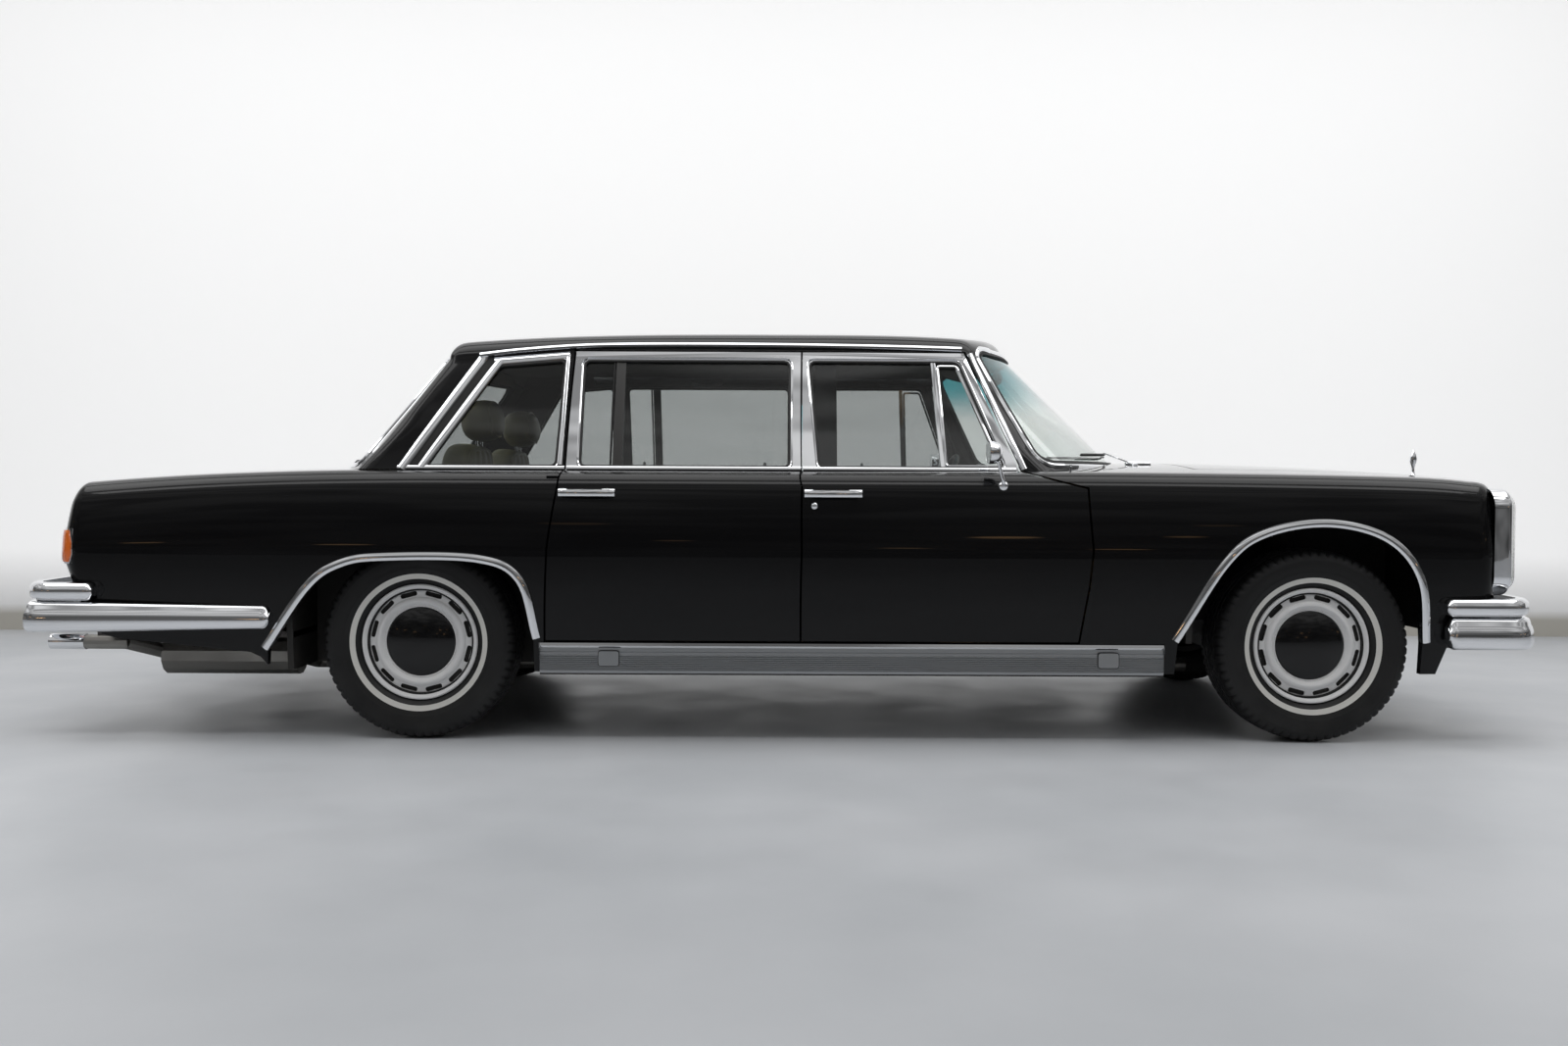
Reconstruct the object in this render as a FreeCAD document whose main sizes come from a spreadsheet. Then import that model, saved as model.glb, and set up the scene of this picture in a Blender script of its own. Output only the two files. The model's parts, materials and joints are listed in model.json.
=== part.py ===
import FreeCAD, Part
import math
import os

# A classic four-door limousine at its real size, in millimetres.
# +X points forward, +Y to the car's left and +Z up. The origin is on the ground, under the middle.

V = FreeCAD.Vector

# Every length that can be set by itself. A comment names each group.
SIZES = {
    # body
    "body_half_width": 975,
    "body_low": 250,
    "crease_height": 688,
    "tuck_in": 38,
    "shoulder_lean": 30,
    "shoulder_height": 58,
    "shoulder_width": 105,
    "crest_height": 967,
    "crest_fall": 18,
    "crest_nose_fall": 33,
    "crest_tail_fall": 60,
    "scuttle_height": 1012,
    "bonnet_fall": 48,
    "boot_height": 978,
    "boot_fall": 55,
    "nose_x": 2600,
    "tail_x": -2600,
    "nose_taper": 58,
    "tail_taper": 62,
    "skin": 40,
    "lid_skin": 24,
    # greenhouse
    "belt_half_width": 865,
    "rail_half_width": 705,
    "front_narrowing": 26,
    "side_bulge": 9,
    "crown_height": 1520,
    "crown_front_fall": 35,
    "crown_rear_fall": 45,
    "rail_below_crown": 107,
    "roof_round": 90,
    "roof_round_rise": 67,
    "frame_skin": 32,
    "post_skin": 30,
    "screen_base_x": 1330,
    "screen_base_z": 1040,
    "screen_top_x": 900,
    "screen_top_z": 1451,
    "screen_corner_base_x": 899,
    "screen_corner_base_y": 840,
    "screen_corner_base_z": 983,
    "screen_corner_top_x": 711,
    "screen_corner_top_y": 660,
    "screen_corner_top_z": 1418,
    "backlight_base_x": -1735,
    "backlight_base_z": 976,
    "backlight_top_x": -1300,
    "backlight_top_z": 1420,
    "backlight_corner_base_x": -1532,
    "backlight_corner_base_y": 800,
    "backlight_corner_base_z": 966,
    "backlight_corner_top_x": -1262,
    "backlight_corner_top_y": 660,
    "backlight_corner_top_z": 1344,
    "glass": 5,
    "glass_set_in": 10,
    "glass_fit": 0.3,
    "window_radius": 22,
    # doors and their gaps
    "gap": 7,
    "door_inner_y": 833,
    "door_bottom": 364,
    "door_top": 1405,
    "middle_gap_x": 78,
    "rear_gap_bottom_x": -827,
    "rear_gap_crease_x": -820,
    "rear_gap_shoulder_x": -787,
    "rear_gap_belt_x": -771,
    "rear_gap_top_x": -756,
    "front_gap_bottom_x": 1063,
    "front_gap_low_x": 1095,
    "front_gap_low_z": 560,
    "front_gap_crease_x": 1105,
    "front_gap_top_x": 1090,
    "front_gap_top_z": 906,
    "pillar_gap_base_x": 857,
    "pillar_gap_top_x": 680,
    "seal_gap": 0.3,
    "window_bottom": 980,
    "window_top": 1371,
    "front_window_rear_base_x": 139,
    "front_window_rear_top_x": 105,
    "front_window_front_base_x": 809,
    "front_window_front_top_x": 655,
    "rear_window_front_x": 35,
    "rear_window_rear_x": -720,
    "quarter_front_base_x": -804,
    "quarter_front_top_x": -789,
    "quarter_rear_base_x": -1271,
    "quarter_rear_top_x": -1035,
    # bonnet, scuttle and boot lid
    "bonnet_rear_x": 1534,
    "bonnet_front_x": 2578,
    "bonnet_rear_half": 700,
    "bonnet_front_half": 610,
    "boot_front_x": -1765,
    "boot_front_half": 690,
    "boot_rear_half": 610,
    "boot_lower_z": 615,
    "boot_floor_z": 385,
    "rod_sides": 12,
    # wheels
    "front_axle_x": 1910,
    "rear_axle_x": -1290,
    "track_half": 790,
    "tyre_radius": 347,
    "tyre_width": 235,
    "rim_radius": 208,
    "rim_well_radius": 176,
    "rim_width": 180,
    "rim_wall": 6,
    "kingpin_y": 700,
    "kingpin_radius": 17,
    "hub_radius": 44,
    "hub_face_y": 790,
    # arches
    "front_arch_reach": 500,
    "front_arch_rise": 430,
    "rear_arch_reach": 520,
    "rear_arch_rise": 298,
    "house_inner_y": 470,
    "rear_house_inner_y": 648,
    "house_front_x": 2345,
    "house_rear_x": 1470,
    "house_top_z": 872,
    "rear_house_front_x": -850,
    "rear_house_rear_x": -1735,
    "rear_house_top_z": 800,
    "panel": 22,
    # floor
    "floor_z": 245,
    "sill_inner_y": 735,
    "sill_outer_y": 928,
    "sill_top_z": 357,
    "tunnel_half": 150,
    "tunnel_height": 190,
    "kick_up_x": -760,
    "axle_floor_z": 470,
    "bulkhead_x": 1395,
    "post_width": 76,
    "post_depth": 55,
    "apron_low_z": 400,
    "front_wall_y": 905,
    "shelf_z": 925,
    "pad_front_x": 2520,
    # grille and lamps
    "grille_half": 262,
    "grille_rim": 22,
    "grille_low": 505,
    "grille_top": 958,
    "grille_front_x": 2690,
    "grille_slat": 7,
    "grille_pitch": 44,
    "finial_height": 122,
    "finial_radius": 17,
    "lamp_inner_y": 690,
    "lamp_outer_y": 905,
    "lamp_low": 529,
    "lamp_high": 915,
    "lamp_depth": 54,
    "lamp_round": 60,
    "tail_lamp_inner_y": 640,
    "tail_lamp_low": 622,
    "tail_lamp_high": 753,
    "tail_lamp_front_x": -2517,
    "tail_lamp_proud": 8,
    # bumpers
    "bumper_front_x": 2770,
    "bumper_rear_x": -2770,
    "bumper_sweep": 80,
    "bumper_half": 982,
    "bumper_thick": 42,
    "bumper_corner": 130,
    "bumper_edge": 18,
    "front_bumper_low": 343,
    "front_bumper_high": 460,
    "front_bumper_end_x": 2357,
    "front_upper_high": 525,
    "rear_bumper_low": 384,
    "rear_bumper_high": 495,
    "rear_bumper_end_x": -1800,
    "rear_upper_high": 561,
    "upper_bar_inner_y": 560,
    "bumper_iron_y": 430,
    "bumper_iron": 60,
    # tyres and wheels
    "tread_half": 92,
    "sidewall_radius": 272,
    "shoulder_radius": 322,
    "bead_radius": 190,
    "rim_lip": 10,
    "well_half": 34,
    "fit": 0.3,
    "disc_y": 50,
    "disc_hub_radius": 62,
    "trim_y": 82,
    "slot_ring_y": 70,
    "slot_ring_outer": 184,
    "cap_ring_radius": 143,
    "cap_ring_y": 66,
    "cap_radius": 124,
    "cap_top_y": 92,
    "slot_radius": 173,
    "slot_length": 58,
    "slot_width": 15,
    "slot_depth": 12,
    "slot_count": 12,
    # under the body
    "kingpin_low": 245,
    "kingpin_high": 452,
    "arm_thick": 26,
    "arm_low_z": 248,
    "arm_high_z": 452,
    "arm_reach": 150,
    "arm_tip": 34,
    "beam_half_length": 95,
    "beam_half_width": 390,
    "beam_low": 232,
    "beam_top": 330,
    "spring_y": 540,
    "spring_radius": 52,
    "disc_brake_radius": 139,
    "axle_tube": 42,
    "diff_radius": 120,
    "rear_spring_y": 500,
    "engine_half": 270,
    "engine_rear_x": 1620,
    "engine_front_x": 2330,
    "engine_top": 850,
    "gearbox_radius": 80,
    "gearbox_rear_x": 820,
    "shaft_z": 300,
    "shaft_radius": 36,
    "tank_front_x": -1845,
    "tank_rear_x": -2330,
    "tank_half": 330,
    "tank_low": 185,
    "tank_round": 55,
    "pipe_y": 300,
    "pipe_z": 205,
    "pipe_radius": 26,
    "silencer_radius": 72,
    "silencer_front_x": -1850,
    "silencer_rear_x": -2330,
    "silencer_y": 560,
    "silencer_z": 262,
    "tail_pipe_y": 720,
    "tail_pipe_z": 325,
    "tail_pipe_end_x": -2690,
    # cabin
    "seat_half": 255,
    "seat_y": 400,
    "seat_front_x": 640,
    "seat_rear_x": 110,
    "seat_low": 290,
    "cushion_top": 560,
    "seat_back_top": 950,
    "seat_back_rear_x": -60,
    "seat_back_thick": 150,
    "rear_seat_front_x": -700,
    "rear_seat_rear_x": -1190,
    "rear_back_rear_x": -1420,
    "rear_cushion_top": 600,
    "rear_back_top": 900,
    "rear_back_thick": 170,
    "headrest_half": 120,
    "headrest_height": 150,
    "headrest_thick": 90,
    "dash_front_x": 1330,
    "dash_rear_x": 1010,
    "dash_low": 640,
    "dash_top": 935,
    "dash_half": 755,
    "wheel_x": 690,
    "wheel_y": 375,
    "wheel_z": 865,
    "wheel_ring": 203,
    "wheel_rim": 13,
    "wheel_tilt": 27,
    "column_radius": 26,
    "wheel_hub": 60,
    # mirrors and sills
    "mirror_x": 755,
    "mirror_low": 952,
    "mirror_high": 1075,
    "mirror_inner_y": 880,
    "mirror_outer_y": 1035,
    "mirror_depth": 52,
    "trim_low": 238,
    "trim_front_x": 1365,
    "trim_rear_x": -850,
    "trim_thick": 10,
    "jack_cover": 72,
    "jack_front_x": 1168,
    "jack_rear_x": -605,
}

document = FreeCAD.newDocument("limousine")
sheet = document.addObject("Spreadsheet::Sheet", "sizes")
for row, (name, value) in enumerate(SIZES.items(), 1):
    sheet.set("A" + str(row), name)
    sheet.set("B" + str(row), str(value))
    sheet.setAlias("B" + str(row), name)
document.recompute()


class Sizes:
    """The named lengths, read back from the sheet."""

    def __getattr__(self, name):
        return float(getattr(sheet, name))


s = Sizes()
kept = []


def bound(kind, name, formulas, turn=None):
    """A primitive whose sizes and place follow formulas over the sheet."""
    item = document.addObject("Part::" + kind, name)
    if turn:
        item.Placement.Rotation = FreeCAD.Rotation(V(0, 0, 1), turn)
    for key, formula in formulas.items():
        item.setExpression(key, formula)
    return item


def round_bar(name, radius, length, start, turn):
    """A many-sided round bar. The radius, length and start (x, y and z) are formulas, and the flats touch the radius."""
    formulas = {"Circumradius": "(" + radius + ") / cos(180 deg / sizes.rod_sides)", "Height": length,
                "Polygon": "sizes.rod_sides"}
    for axis, formula in zip("xyz", start):
        formulas["Placement.Base." + axis] = formula
    return bound("Prism", name, formulas, turn)


def keep_fused(name, items):
    """Join primitives into one named sub-part."""
    whole = document.addObject("Part::MultiFuse", name)
    whole.Shapes = items
    whole.Refine = True
    kept.append(whole)
    return whole


def keep_mirrored(name, item):
    """Keep the same sub-part on the other side of the car."""
    twin = document.addObject("Part::Mirroring", name)
    twin.Source = item
    twin.Normal = V(0, 1, 0)
    kept.append(twin)


def keep(name, shape):
    """Store a finished shape as one named sub-part of the document."""
    piece = document.addObject("Part::Feature", name)
    piece.Label = name
    piece.Shape = shape
    kept.append(piece)
    return piece


def mirrored(shape):
    """The same shape on the other side of the car."""
    return shape.mirror(V(0, 0, 0), V(0, 1, 0))


def both(shape):
    """A shape and its mirror image, as one compound or fused where they meet."""
    return shape.fuse(mirrored(shape))


def box(x0, x1, y0, y1, z0, z1):
    """A block between two corners."""
    low = V(min(x0, x1), min(y0, y1), min(z0, z1))
    return Part.makeBox(abs(x1 - x0), abs(y1 - y0), abs(z1 - z0), low)


def arc_through(a, middle, b, steps):
    """Points along the arc through three points, without the last one."""
    arc = Part.Arc(a, middle, b)
    first, last = arc.FirstParameter, arc.LastParameter
    return [arc.value(first + (last - first) * i / steps) for i in range(steps)]


def bulged(a, b, rise_share, plane_normal, steps):
    """Points along an arc from a towards b, whose middle stands off the chord by a share of its length."""
    out = b.sub(a).cross(plane_normal)
    middle = a.add(b).multiply(0.5).add(out.multiply(rise_share))
    return arc_through(a, middle, b, steps)


def turned_back(points):
    """The same outline on the other side of the car, in the opposite order."""
    return [V(p.x, -p.y, p.z) for p in reversed(points)]


def polygon(points):
    """A closed wire through points."""
    return Part.makePolygon(points + [points[0]])


def along(value, table):
    """Linear reading of a table of (place, value) pairs, held level past its ends."""
    if value <= table[0][0]:
        return table[0][1]
    for (a, va), (b, vb) in zip(table, table[1:]):
        if value <= b:
            return va + (vb - va) * (value - a) / (b - a)
    return table[-1][1]


def line_at(z, low, high):
    """The x (or y) at height z on the line through two (z, x) pairs, carried on past them."""
    return low[1] + (high[1] - low[1]) * (z - low[0]) / (high[0] - low[0])


# The body's sections

STATION_SHARES = (-1.08, -0.98, -0.92, -0.82, -0.66, -0.42, -0.1, 0.25, 0.5, 0.68, 0.83, 0.93, 1.03)
TAPER_POWER = 4
CREST_START_SHARE = 0.4
DECK_START_SHARE = 0.6


def half_width(x):
    """Half the body's width at its crease."""
    if x > 0:
        return s.body_half_width - s.nose_taper * (x / s.nose_x) ** TAPER_POWER
    return s.body_half_width - s.tail_taper * (x / s.tail_x) ** TAPER_POWER


def past(x, end, start_share):
    """How far x lies between the start share of the way to an end and that end, as a share."""
    return max(0, (x / end - start_share) / (1 - start_share))


def crest(x):
    """Height of the wing's upper edge."""
    if x > 0:
        t = past(x, s.nose_x, CREST_START_SHARE)
        return s.crest_height - s.crest_fall * t ** 2 - s.crest_nose_fall * t ** 14
    t = past(x, s.tail_x, CREST_START_SHARE)
    return s.crest_height - s.crest_tail_fall * t ** 2.5


def deck(x):
    """Height of the bonnet and boot on the centre line."""
    if x > 0:
        return s.scuttle_height - s.bonnet_fall * past(x, s.nose_x, DECK_START_SHARE) ** 1.8
    return s.boot_height - s.boot_fall * past(x, s.tail_x, DECK_START_SHARE) ** 2.2


def side_points(x, inset):
    """Corner points of the body side from the sill up to the deck, as (half width, height)."""
    w = half_width(x) - inset
    top = crest(x) - inset
    low = s.body_low - (s.body_low if inset else 0)
    return [(w - s.tuck_in, low), (w, s.crease_height),
            (w - s.shoulder_lean, top - s.shoulder_height), (w - s.shoulder_width + inset, top)]


SIDE_BULGE_SHARES = (0.022, 0.02, 0.13)
SIDE_STEPS = (2, 1, 2)
CROWN_STEPS = 6


def body_section(x, inset):
    """One closed section across the body."""
    corners = [V(x, -y, z) for y, z in side_points(x, inset)]
    right = []
    for a, b, share, steps in zip(corners, corners[1:], SIDE_BULGE_SHARES, SIDE_STEPS):
        right += bulged(a, b, -share, V(1, 0, 0), steps)
    top = corners[-1]
    crown_points = arc_through(top, V(x, 0, deck(x) - inset), V(x, -top.y, top.z), CROWN_STEPS)
    return polygon(right + crown_points + turned_back(right + [top]))


# Side view of the body's ends. Each pair is a share of tail_x or nose_x, and a share of crest_height.
TAIL_ROUND_SHARES = ((0.9546, 0.977), (0.9838, 0.923), (0.992, 0.853))
TAIL_SHARES = ((1.0, 0.66), (0.985, 0.56), (0.95, 0.406))
TAIL_LOW_SHARES = ((0.912, 0.372), (0.715, 0.323), (0.715, 0))
NOSE_LOW_SHARES = ((0.905, 0), (0.905, 0.357), (1.0, 0.357))


def place(pair, end, inset=0, y=0):
    """A point of a side view from a pair of shares."""
    x = pair[0] * end
    return V(x - math.copysign(inset, x), y, pair[1] * s.crest_height)


def side_profile(inset):
    """The body seen from the side, from the tail's round corner to the valance, as a block."""
    top = V(0, 0, s.scuttle_height + s.body_low)
    arc = [place(pair, s.tail_x, inset).sub(V(0, 0, inset)) for pair in TAIL_ROUND_SHARES]
    low = [place(pair, s.tail_x, inset) for pair in TAIL_SHARES]
    if inset:
        low.append(V(low[-1].x, 0, 0))
        low.append(V(s.nose_x - inset, 0, 0))
    else:
        low += [place(pair, s.tail_x) for pair in TAIL_LOW_SHARES]
        low += [place(pair, s.nose_x) for pair in NOSE_LOW_SHARES]
    rest = [arc[2]] + low + [V(s.nose_x - inset, 0, top.z), V(arc[0].x, 0, top.z), arc[0]]
    edges = [Part.Arc(*arc).toShape()] + [Part.LineSegment(a, b).toShape() for a, b in zip(rest, rest[1:])]
    reach = V(0, s.body_half_width * 2, 0)
    return Part.Face(Part.Wire(edges)).extrude(reach).translated(reach * -0.5)


# Plan view of the body's corners: shares of the end's x and of the half width.
CORNER_SHARES = ((0.945, 1.08), (0.982, 0.955), (0.99, 0.86))


def plan_profile(inset):
    """The body seen from above, with its rounded corners, as a block."""
    edges = []
    corners = []
    for end in (s.nose_x, s.tail_x):
        points = [V(a * end - math.copysign(inset, end), b * s.body_half_width - inset, 0) for a, b in CORNER_SHARES]
        other = [V(p.x, -p.y, 0) for p in points]
        edges.append(Part.Arc(*points).toShape())
        edges.append(Part.Arc(points[2], V(end - math.copysign(inset, end), 0, 0), other[2]).toShape())
        edges.append(Part.Arc(*reversed(other)).toShape())
        corners.append((points[0], other[0]))
    (nose, nose_other), (tail, tail_other) = corners
    edges.append(Part.LineSegment(tail, nose).toShape())
    edges.append(Part.LineSegment(tail_other, nose_other).toShape())
    wire = Part.Wire(Part.__sortEdges__(edges))
    return Part.Face(wire).extrude(V(0, 0, s.crown_height))


def body_solid(inset):
    """The whole lower body as one solid, or the space inside its skin."""
    stations = [share * (s.nose_x if share > 0 else -s.tail_x) for share in STATION_SHARES]
    loft = Part.makeLoft([body_section(x, inset) for x in stations], True, True)
    return loft.common(side_profile(inset)).common(plan_profile(inset))


# The greenhouse

CABIN_STATIONS_SHARES = (-1.15, -0.8, -0.55, -0.2, 0.12, 0.34, 0.52, 0.9)


def crown(x):
    """Height of the roof on the centre line."""
    t = (x - s.middle_gap_x) / (s.screen_top_x - s.middle_gap_x)
    if t > 0:
        return s.crown_height - s.crown_front_fall * t ** 3
    t = (x - s.middle_gap_x) / (s.backlight_top_x - s.middle_gap_x)
    return s.crown_height - s.crown_rear_fall * t ** 3


def rail(x):
    """Height of the roof's side edge."""
    return crown(x) - s.rail_below_crown


def glass_lean():
    """How far the side glass leans inwards for each unit of height."""
    return (s.belt_half_width - s.rail_half_width) / (rail(0) - s.crest_height)


def narrowing(x):
    """How much narrower the greenhouse is towards the windscreen."""
    return s.front_narrowing * max(0, x / s.screen_corner_base_x) ** 2


def cabin_section(x, inset):
    """One closed section across the greenhouse. The side glass stays in one plane from section to section."""
    low = s.crest_height - s.shoulder_width
    base = s.belt_half_width - narrowing(x) - inset + glass_lean() * (s.crest_height - low)
    high = rail(x)
    middle = (low + rail(0)) / 2
    top = base - glass_lean() * (high - low)
    edge = s.roof_round - inset
    points = [(base, low), (base - glass_lean() * (middle - low) + s.side_bulge, middle), (top, high),
              (top - edge * ROUND_SHARE, high + (s.roof_round_rise - inset) * ROUND_RISE_SHARE),
              (top - edge, high + s.roof_round_rise - inset)]
    right = [V(x, -y, z) for y, z in points]
    end = right[-1]
    crown_points = arc_through(end, V(x, 0, crown(x) - inset), V(x, -end.y, end.z), CROWN_STEPS)
    return polygon(right[:-1] + crown_points + turned_back(right))


ROUND_SHARE = 0.3
ROUND_RISE_SHARE = 0.68
SCREEN_STEPS = 10
SCREEN_SPAN = 64
BACKLIGHT_STEPS = 8
BACKLIGHT_SPAN = 34


def plan_arc(centre_line, corner_x_line, corner_y_line, z, inset, span, steps):
    """Points of a window's arc seen from above at height z. The same angles at each height keep its facets flat."""
    radii = []
    for level in (corner_x_line[0][0], corner_x_line[1][0]):
        sagitta = abs(line_at(level, *centre_line) - line_at(level, *corner_x_line))
        half = line_at(level, *corner_y_line)
        radii.append((level, (half ** 2 + sagitta ** 2) / (2 * sagitta)))
    radius = line_at(z, *radii) - inset
    nose = line_at(z, *centre_line)
    sign = math.copysign(1, nose)
    middle = nose - sign * (radius + inset)
    angles = [math.radians(span * (2 * i / steps - 1)) for i in range(steps + 1)]
    return [V(middle + sign * radius * math.cos(a), radius * math.sin(a), z) for a in angles]


def cabin_plan(z, inset):
    """The outline of the greenhouse seen from above at one height, made of two window arcs and two sides."""
    front = plan_arc(((s.screen_base_z, s.screen_base_x), (s.screen_top_z, s.screen_top_x)),
                     ((s.screen_corner_base_z, s.screen_corner_base_x), (s.screen_corner_top_z, s.screen_corner_top_x)),
                     ((s.screen_corner_base_z, s.screen_corner_base_y), (s.screen_corner_top_z, s.screen_corner_top_y)),
                     z, inset, SCREEN_SPAN, SCREEN_STEPS)
    rear = plan_arc(((s.backlight_base_z, s.backlight_base_x), (s.backlight_top_z, s.backlight_top_x)),
                    ((s.backlight_corner_base_z, s.backlight_corner_base_x),
                     (s.backlight_corner_top_z, s.backlight_corner_top_x)),
                    ((s.backlight_corner_base_z, s.backlight_corner_base_y),
                     (s.backlight_corner_top_z, s.backlight_corner_top_y)),
                    z, inset, BACKLIGHT_SPAN, BACKLIGHT_STEPS)
    return polygon(front + list(reversed(rear)))


def cabin_solid(inset):
    """The greenhouse as one solid, or the space inside its skin."""
    stations = [share * -s.backlight_base_x for share in CABIN_STATIONS_SHARES]
    loft = Part.makeLoft([cabin_section(x, inset) for x in stations], True, True)
    low = s.crest_height - s.shoulder_width
    high = s.crown_height + s.panel
    block = Part.makeLoft([cabin_plan(low, inset), cabin_plan(high, inset)], True, True)
    return loft.common(block)


# Outlines and the cutters made from them

SLANT = 0.34


def skin_at(x, z):
    """Half width of the outer skin at a place of the side view."""
    points = side_points(x, 0)
    if z <= points[-1][1]:
        return along(z, [(h, w) for w, h in points])
    return s.belt_half_width - narrowing(x) - glass_lean() * (z - s.crest_height)


def slanted_prism(points, grow=0):
    """A cutter on the right side. Its faces slant forward as they go inwards, so that a door swings clear."""
    outline = polygon([V(x + SLANT * skin_at(x, z), 0, z) for x, z in points])
    if grow:
        outline = outline.makeOffset2D(grow, 2)
    reach = s.body_half_width + s.panel
    return Part.Face(outline).extrude(V(-SLANT * reach, -reach, 0))


def eased(points, radius):
    """An outline with each corner cut by one short flat, as long as a round of that radius would take."""
    out = []
    for i, p in enumerate(points):
        for q in (points[i - 1], points[(i + 1) % len(points)]):
            along_edge = q.sub(p).normalize()
            out.append(p.add(along_edge.multiply(radius * CORNER_CUT_SHARE)))
    return out


CORNER_CUT_SHARE = 0.6


def window_prism(points, grow=0):
    """A cutter for a side window, straight across the right side, with eased corners."""
    outline = polygon([V(x, 0, z) for x, z in points])
    if grow:
        outline = outline.makeOffset2D(grow, 2)
    corners = [v.Point for v in outline.OrderedVertexes]
    return Part.Face(polygon(eased(corners, s.window_radius))).extrude(V(0, -s.body_half_width, 0))


crease = s.crease_height
shoulder = s.crest_height - s.shoulder_height
belt = s.crest_height
half_gap = s.gap / 2

REAR_GAP = [(s.rear_gap_bottom_x, s.door_bottom), (s.rear_gap_crease_x, crease),
            (s.rear_gap_shoulder_x, shoulder), (s.rear_gap_belt_x, belt), (s.rear_gap_top_x, s.door_top)]
FRONT_GAP = [(s.front_gap_bottom_x, s.door_bottom), (s.front_gap_low_x, s.front_gap_low_z),
             (s.front_gap_crease_x, crease), (s.front_gap_top_x, s.front_gap_top_z),
             (s.pillar_gap_base_x, belt), (s.pillar_gap_top_x, s.door_top)]


def middle_gap(offset):
    """The gap between the two doors, from the sill up."""
    return [(s.middle_gap_x + offset, z) for z in (s.door_bottom, crease, shoulder, belt, s.door_top)]


def rear_door_outline():
    back = [(x + half_gap, z) for x, z in REAR_GAP]
    return back + list(reversed(middle_gap(-half_gap)))


def front_door_outline():
    front = [(x - half_gap, z) for x, z in FRONT_GAP]
    return middle_gap(half_gap) + list(reversed(front))


REAR_DOOR = slanted_prism(rear_door_outline())
FRONT_DOOR = slanted_prism(front_door_outline())
REAR_HOLE = slanted_prism(rear_door_outline(), s.gap)
FRONT_HOLE = slanted_prism(front_door_outline(), s.gap)
DOORWAY = REAR_HOLE.fuse(FRONT_HOLE)
outside = box(-s.nose_x, s.nose_x, -s.door_inner_y + s.seal_gap, -s.nose_x, 0, s.crown_height)
above_belt = box(-s.nose_x, s.nose_x, 0, -s.nose_x, s.crest_height, s.crown_height)
DOORWAY = DOORWAY.common(outside.fuse(above_belt))

FRONT_WINDOW = [(s.front_window_rear_base_x, s.window_bottom), (s.front_window_rear_top_x, s.window_top),
                (s.front_window_front_top_x, s.window_top), (s.front_window_front_base_x, s.window_bottom)]
REAR_WINDOW = [(s.rear_window_rear_x, s.window_bottom), (s.rear_window_rear_x, s.window_top),
               (s.rear_window_front_x, s.window_top), (s.rear_window_front_x, s.window_bottom)]
QUARTER_WINDOW = [(s.quarter_rear_base_x, s.window_bottom), (s.quarter_rear_top_x, s.window_top - s.panel),
                  (s.quarter_front_top_x, s.window_top), (s.quarter_front_base_x, s.window_bottom)]

BODY = body_solid(0)
INSIDE = body_solid(s.skin)
LID_INSIDE = body_solid(s.lid_skin)
CABIN = cabin_solid(0)
CABIN_INSIDE = cabin_solid(s.frame_skin)
PANES = cabin_solid(s.glass_set_in).cut(cabin_solid(s.glass_set_in + s.glass))
FRAMES = CABIN.cut(CABIN_INSIDE)
SEAL = CABIN_INSIDE.cut(cabin_solid(s.frame_skin + s.seal_gap))
POSTS = CABIN_INSIDE.cut(cabin_solid(s.frame_skin + s.post_skin)).cut(SEAL.common(REAR_HOLE.fuse(FRONT_HOLE)))
LID_UNDER = body_solid(s.lid_skin + s.seal_gap)
CAVITY = body_solid(s.skin + s.fit)
GROWN = body_solid(-s.tail_lamp_proud)


def region(x0, x1, y0, y1, z0, z1):
    """A block on the right side, given by distances out from the centre line."""
    return box(x0, x1, -y0, -y1, z0, z1)


FAR = s.nose_x * 2
ABOVE = s.crown_height * 2


ARCH_STEPS = 14


def arch_prism(axle_x, reach, rise, shares):
    """A cutter for one wheel arch, through the right side of the body."""
    points = [V(axle_x + a * reach, 0, s.tyre_radius + b * rise) for a, b in shares]
    curve = Part.BSplineCurve()
    curve.interpolate(points)
    low_rear = V(points[0].x - s.panel, 0, 0)
    low_front = V(points[-1].x, 0, 0)
    face = Part.Face(polygon(curve.discretize(ARCH_STEPS) + [low_front, low_rear]))
    return face.extrude(V(0, -s.body_half_width * 2, 0)).translated(V(0, -s.house_inner_y, 0))


FRONT_ARCH_SHARES = ((-1, 0.04), (-0.66, 0.68), (-0.38, 0.92), (0.06, 1), (0.466, 0.88), (0.7, 0.56), (0.76, 0.04))
REAR_ARCH_SHARES = ((-1.01, -0.08), (-0.708, 0.658), (-0.49, 0.92), (-0.21, 1), (0.42, 0.987), (0.7, 0.758),
                    (0.81, 0.07))
FRONT_ARCH = arch_prism(s.front_axle_x, s.front_arch_reach, s.front_arch_rise, FRONT_ARCH_SHARES)
REAR_ARCH = arch_prism(s.rear_axle_x, s.rear_arch_reach, s.rear_arch_rise, REAR_ARCH_SHARES)


def bonnet_plan(gap):
    """The bonnet's outline from above, as a block."""
    rear = s.bonnet_rear_x + half_gap - gap
    front = s.bonnet_front_x + gap
    a = s.bonnet_rear_half + gap
    b = s.bonnet_front_half + gap
    points = [V(rear, -a, 0), V(front, -b, 0), V(front, b, 0), V(rear, a, 0)]
    face = Part.Face(polygon([p.add(V(0, 0, s.house_top_z)) for p in points]))
    return face.extrude(V(0, 0, s.crown_height))


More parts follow.
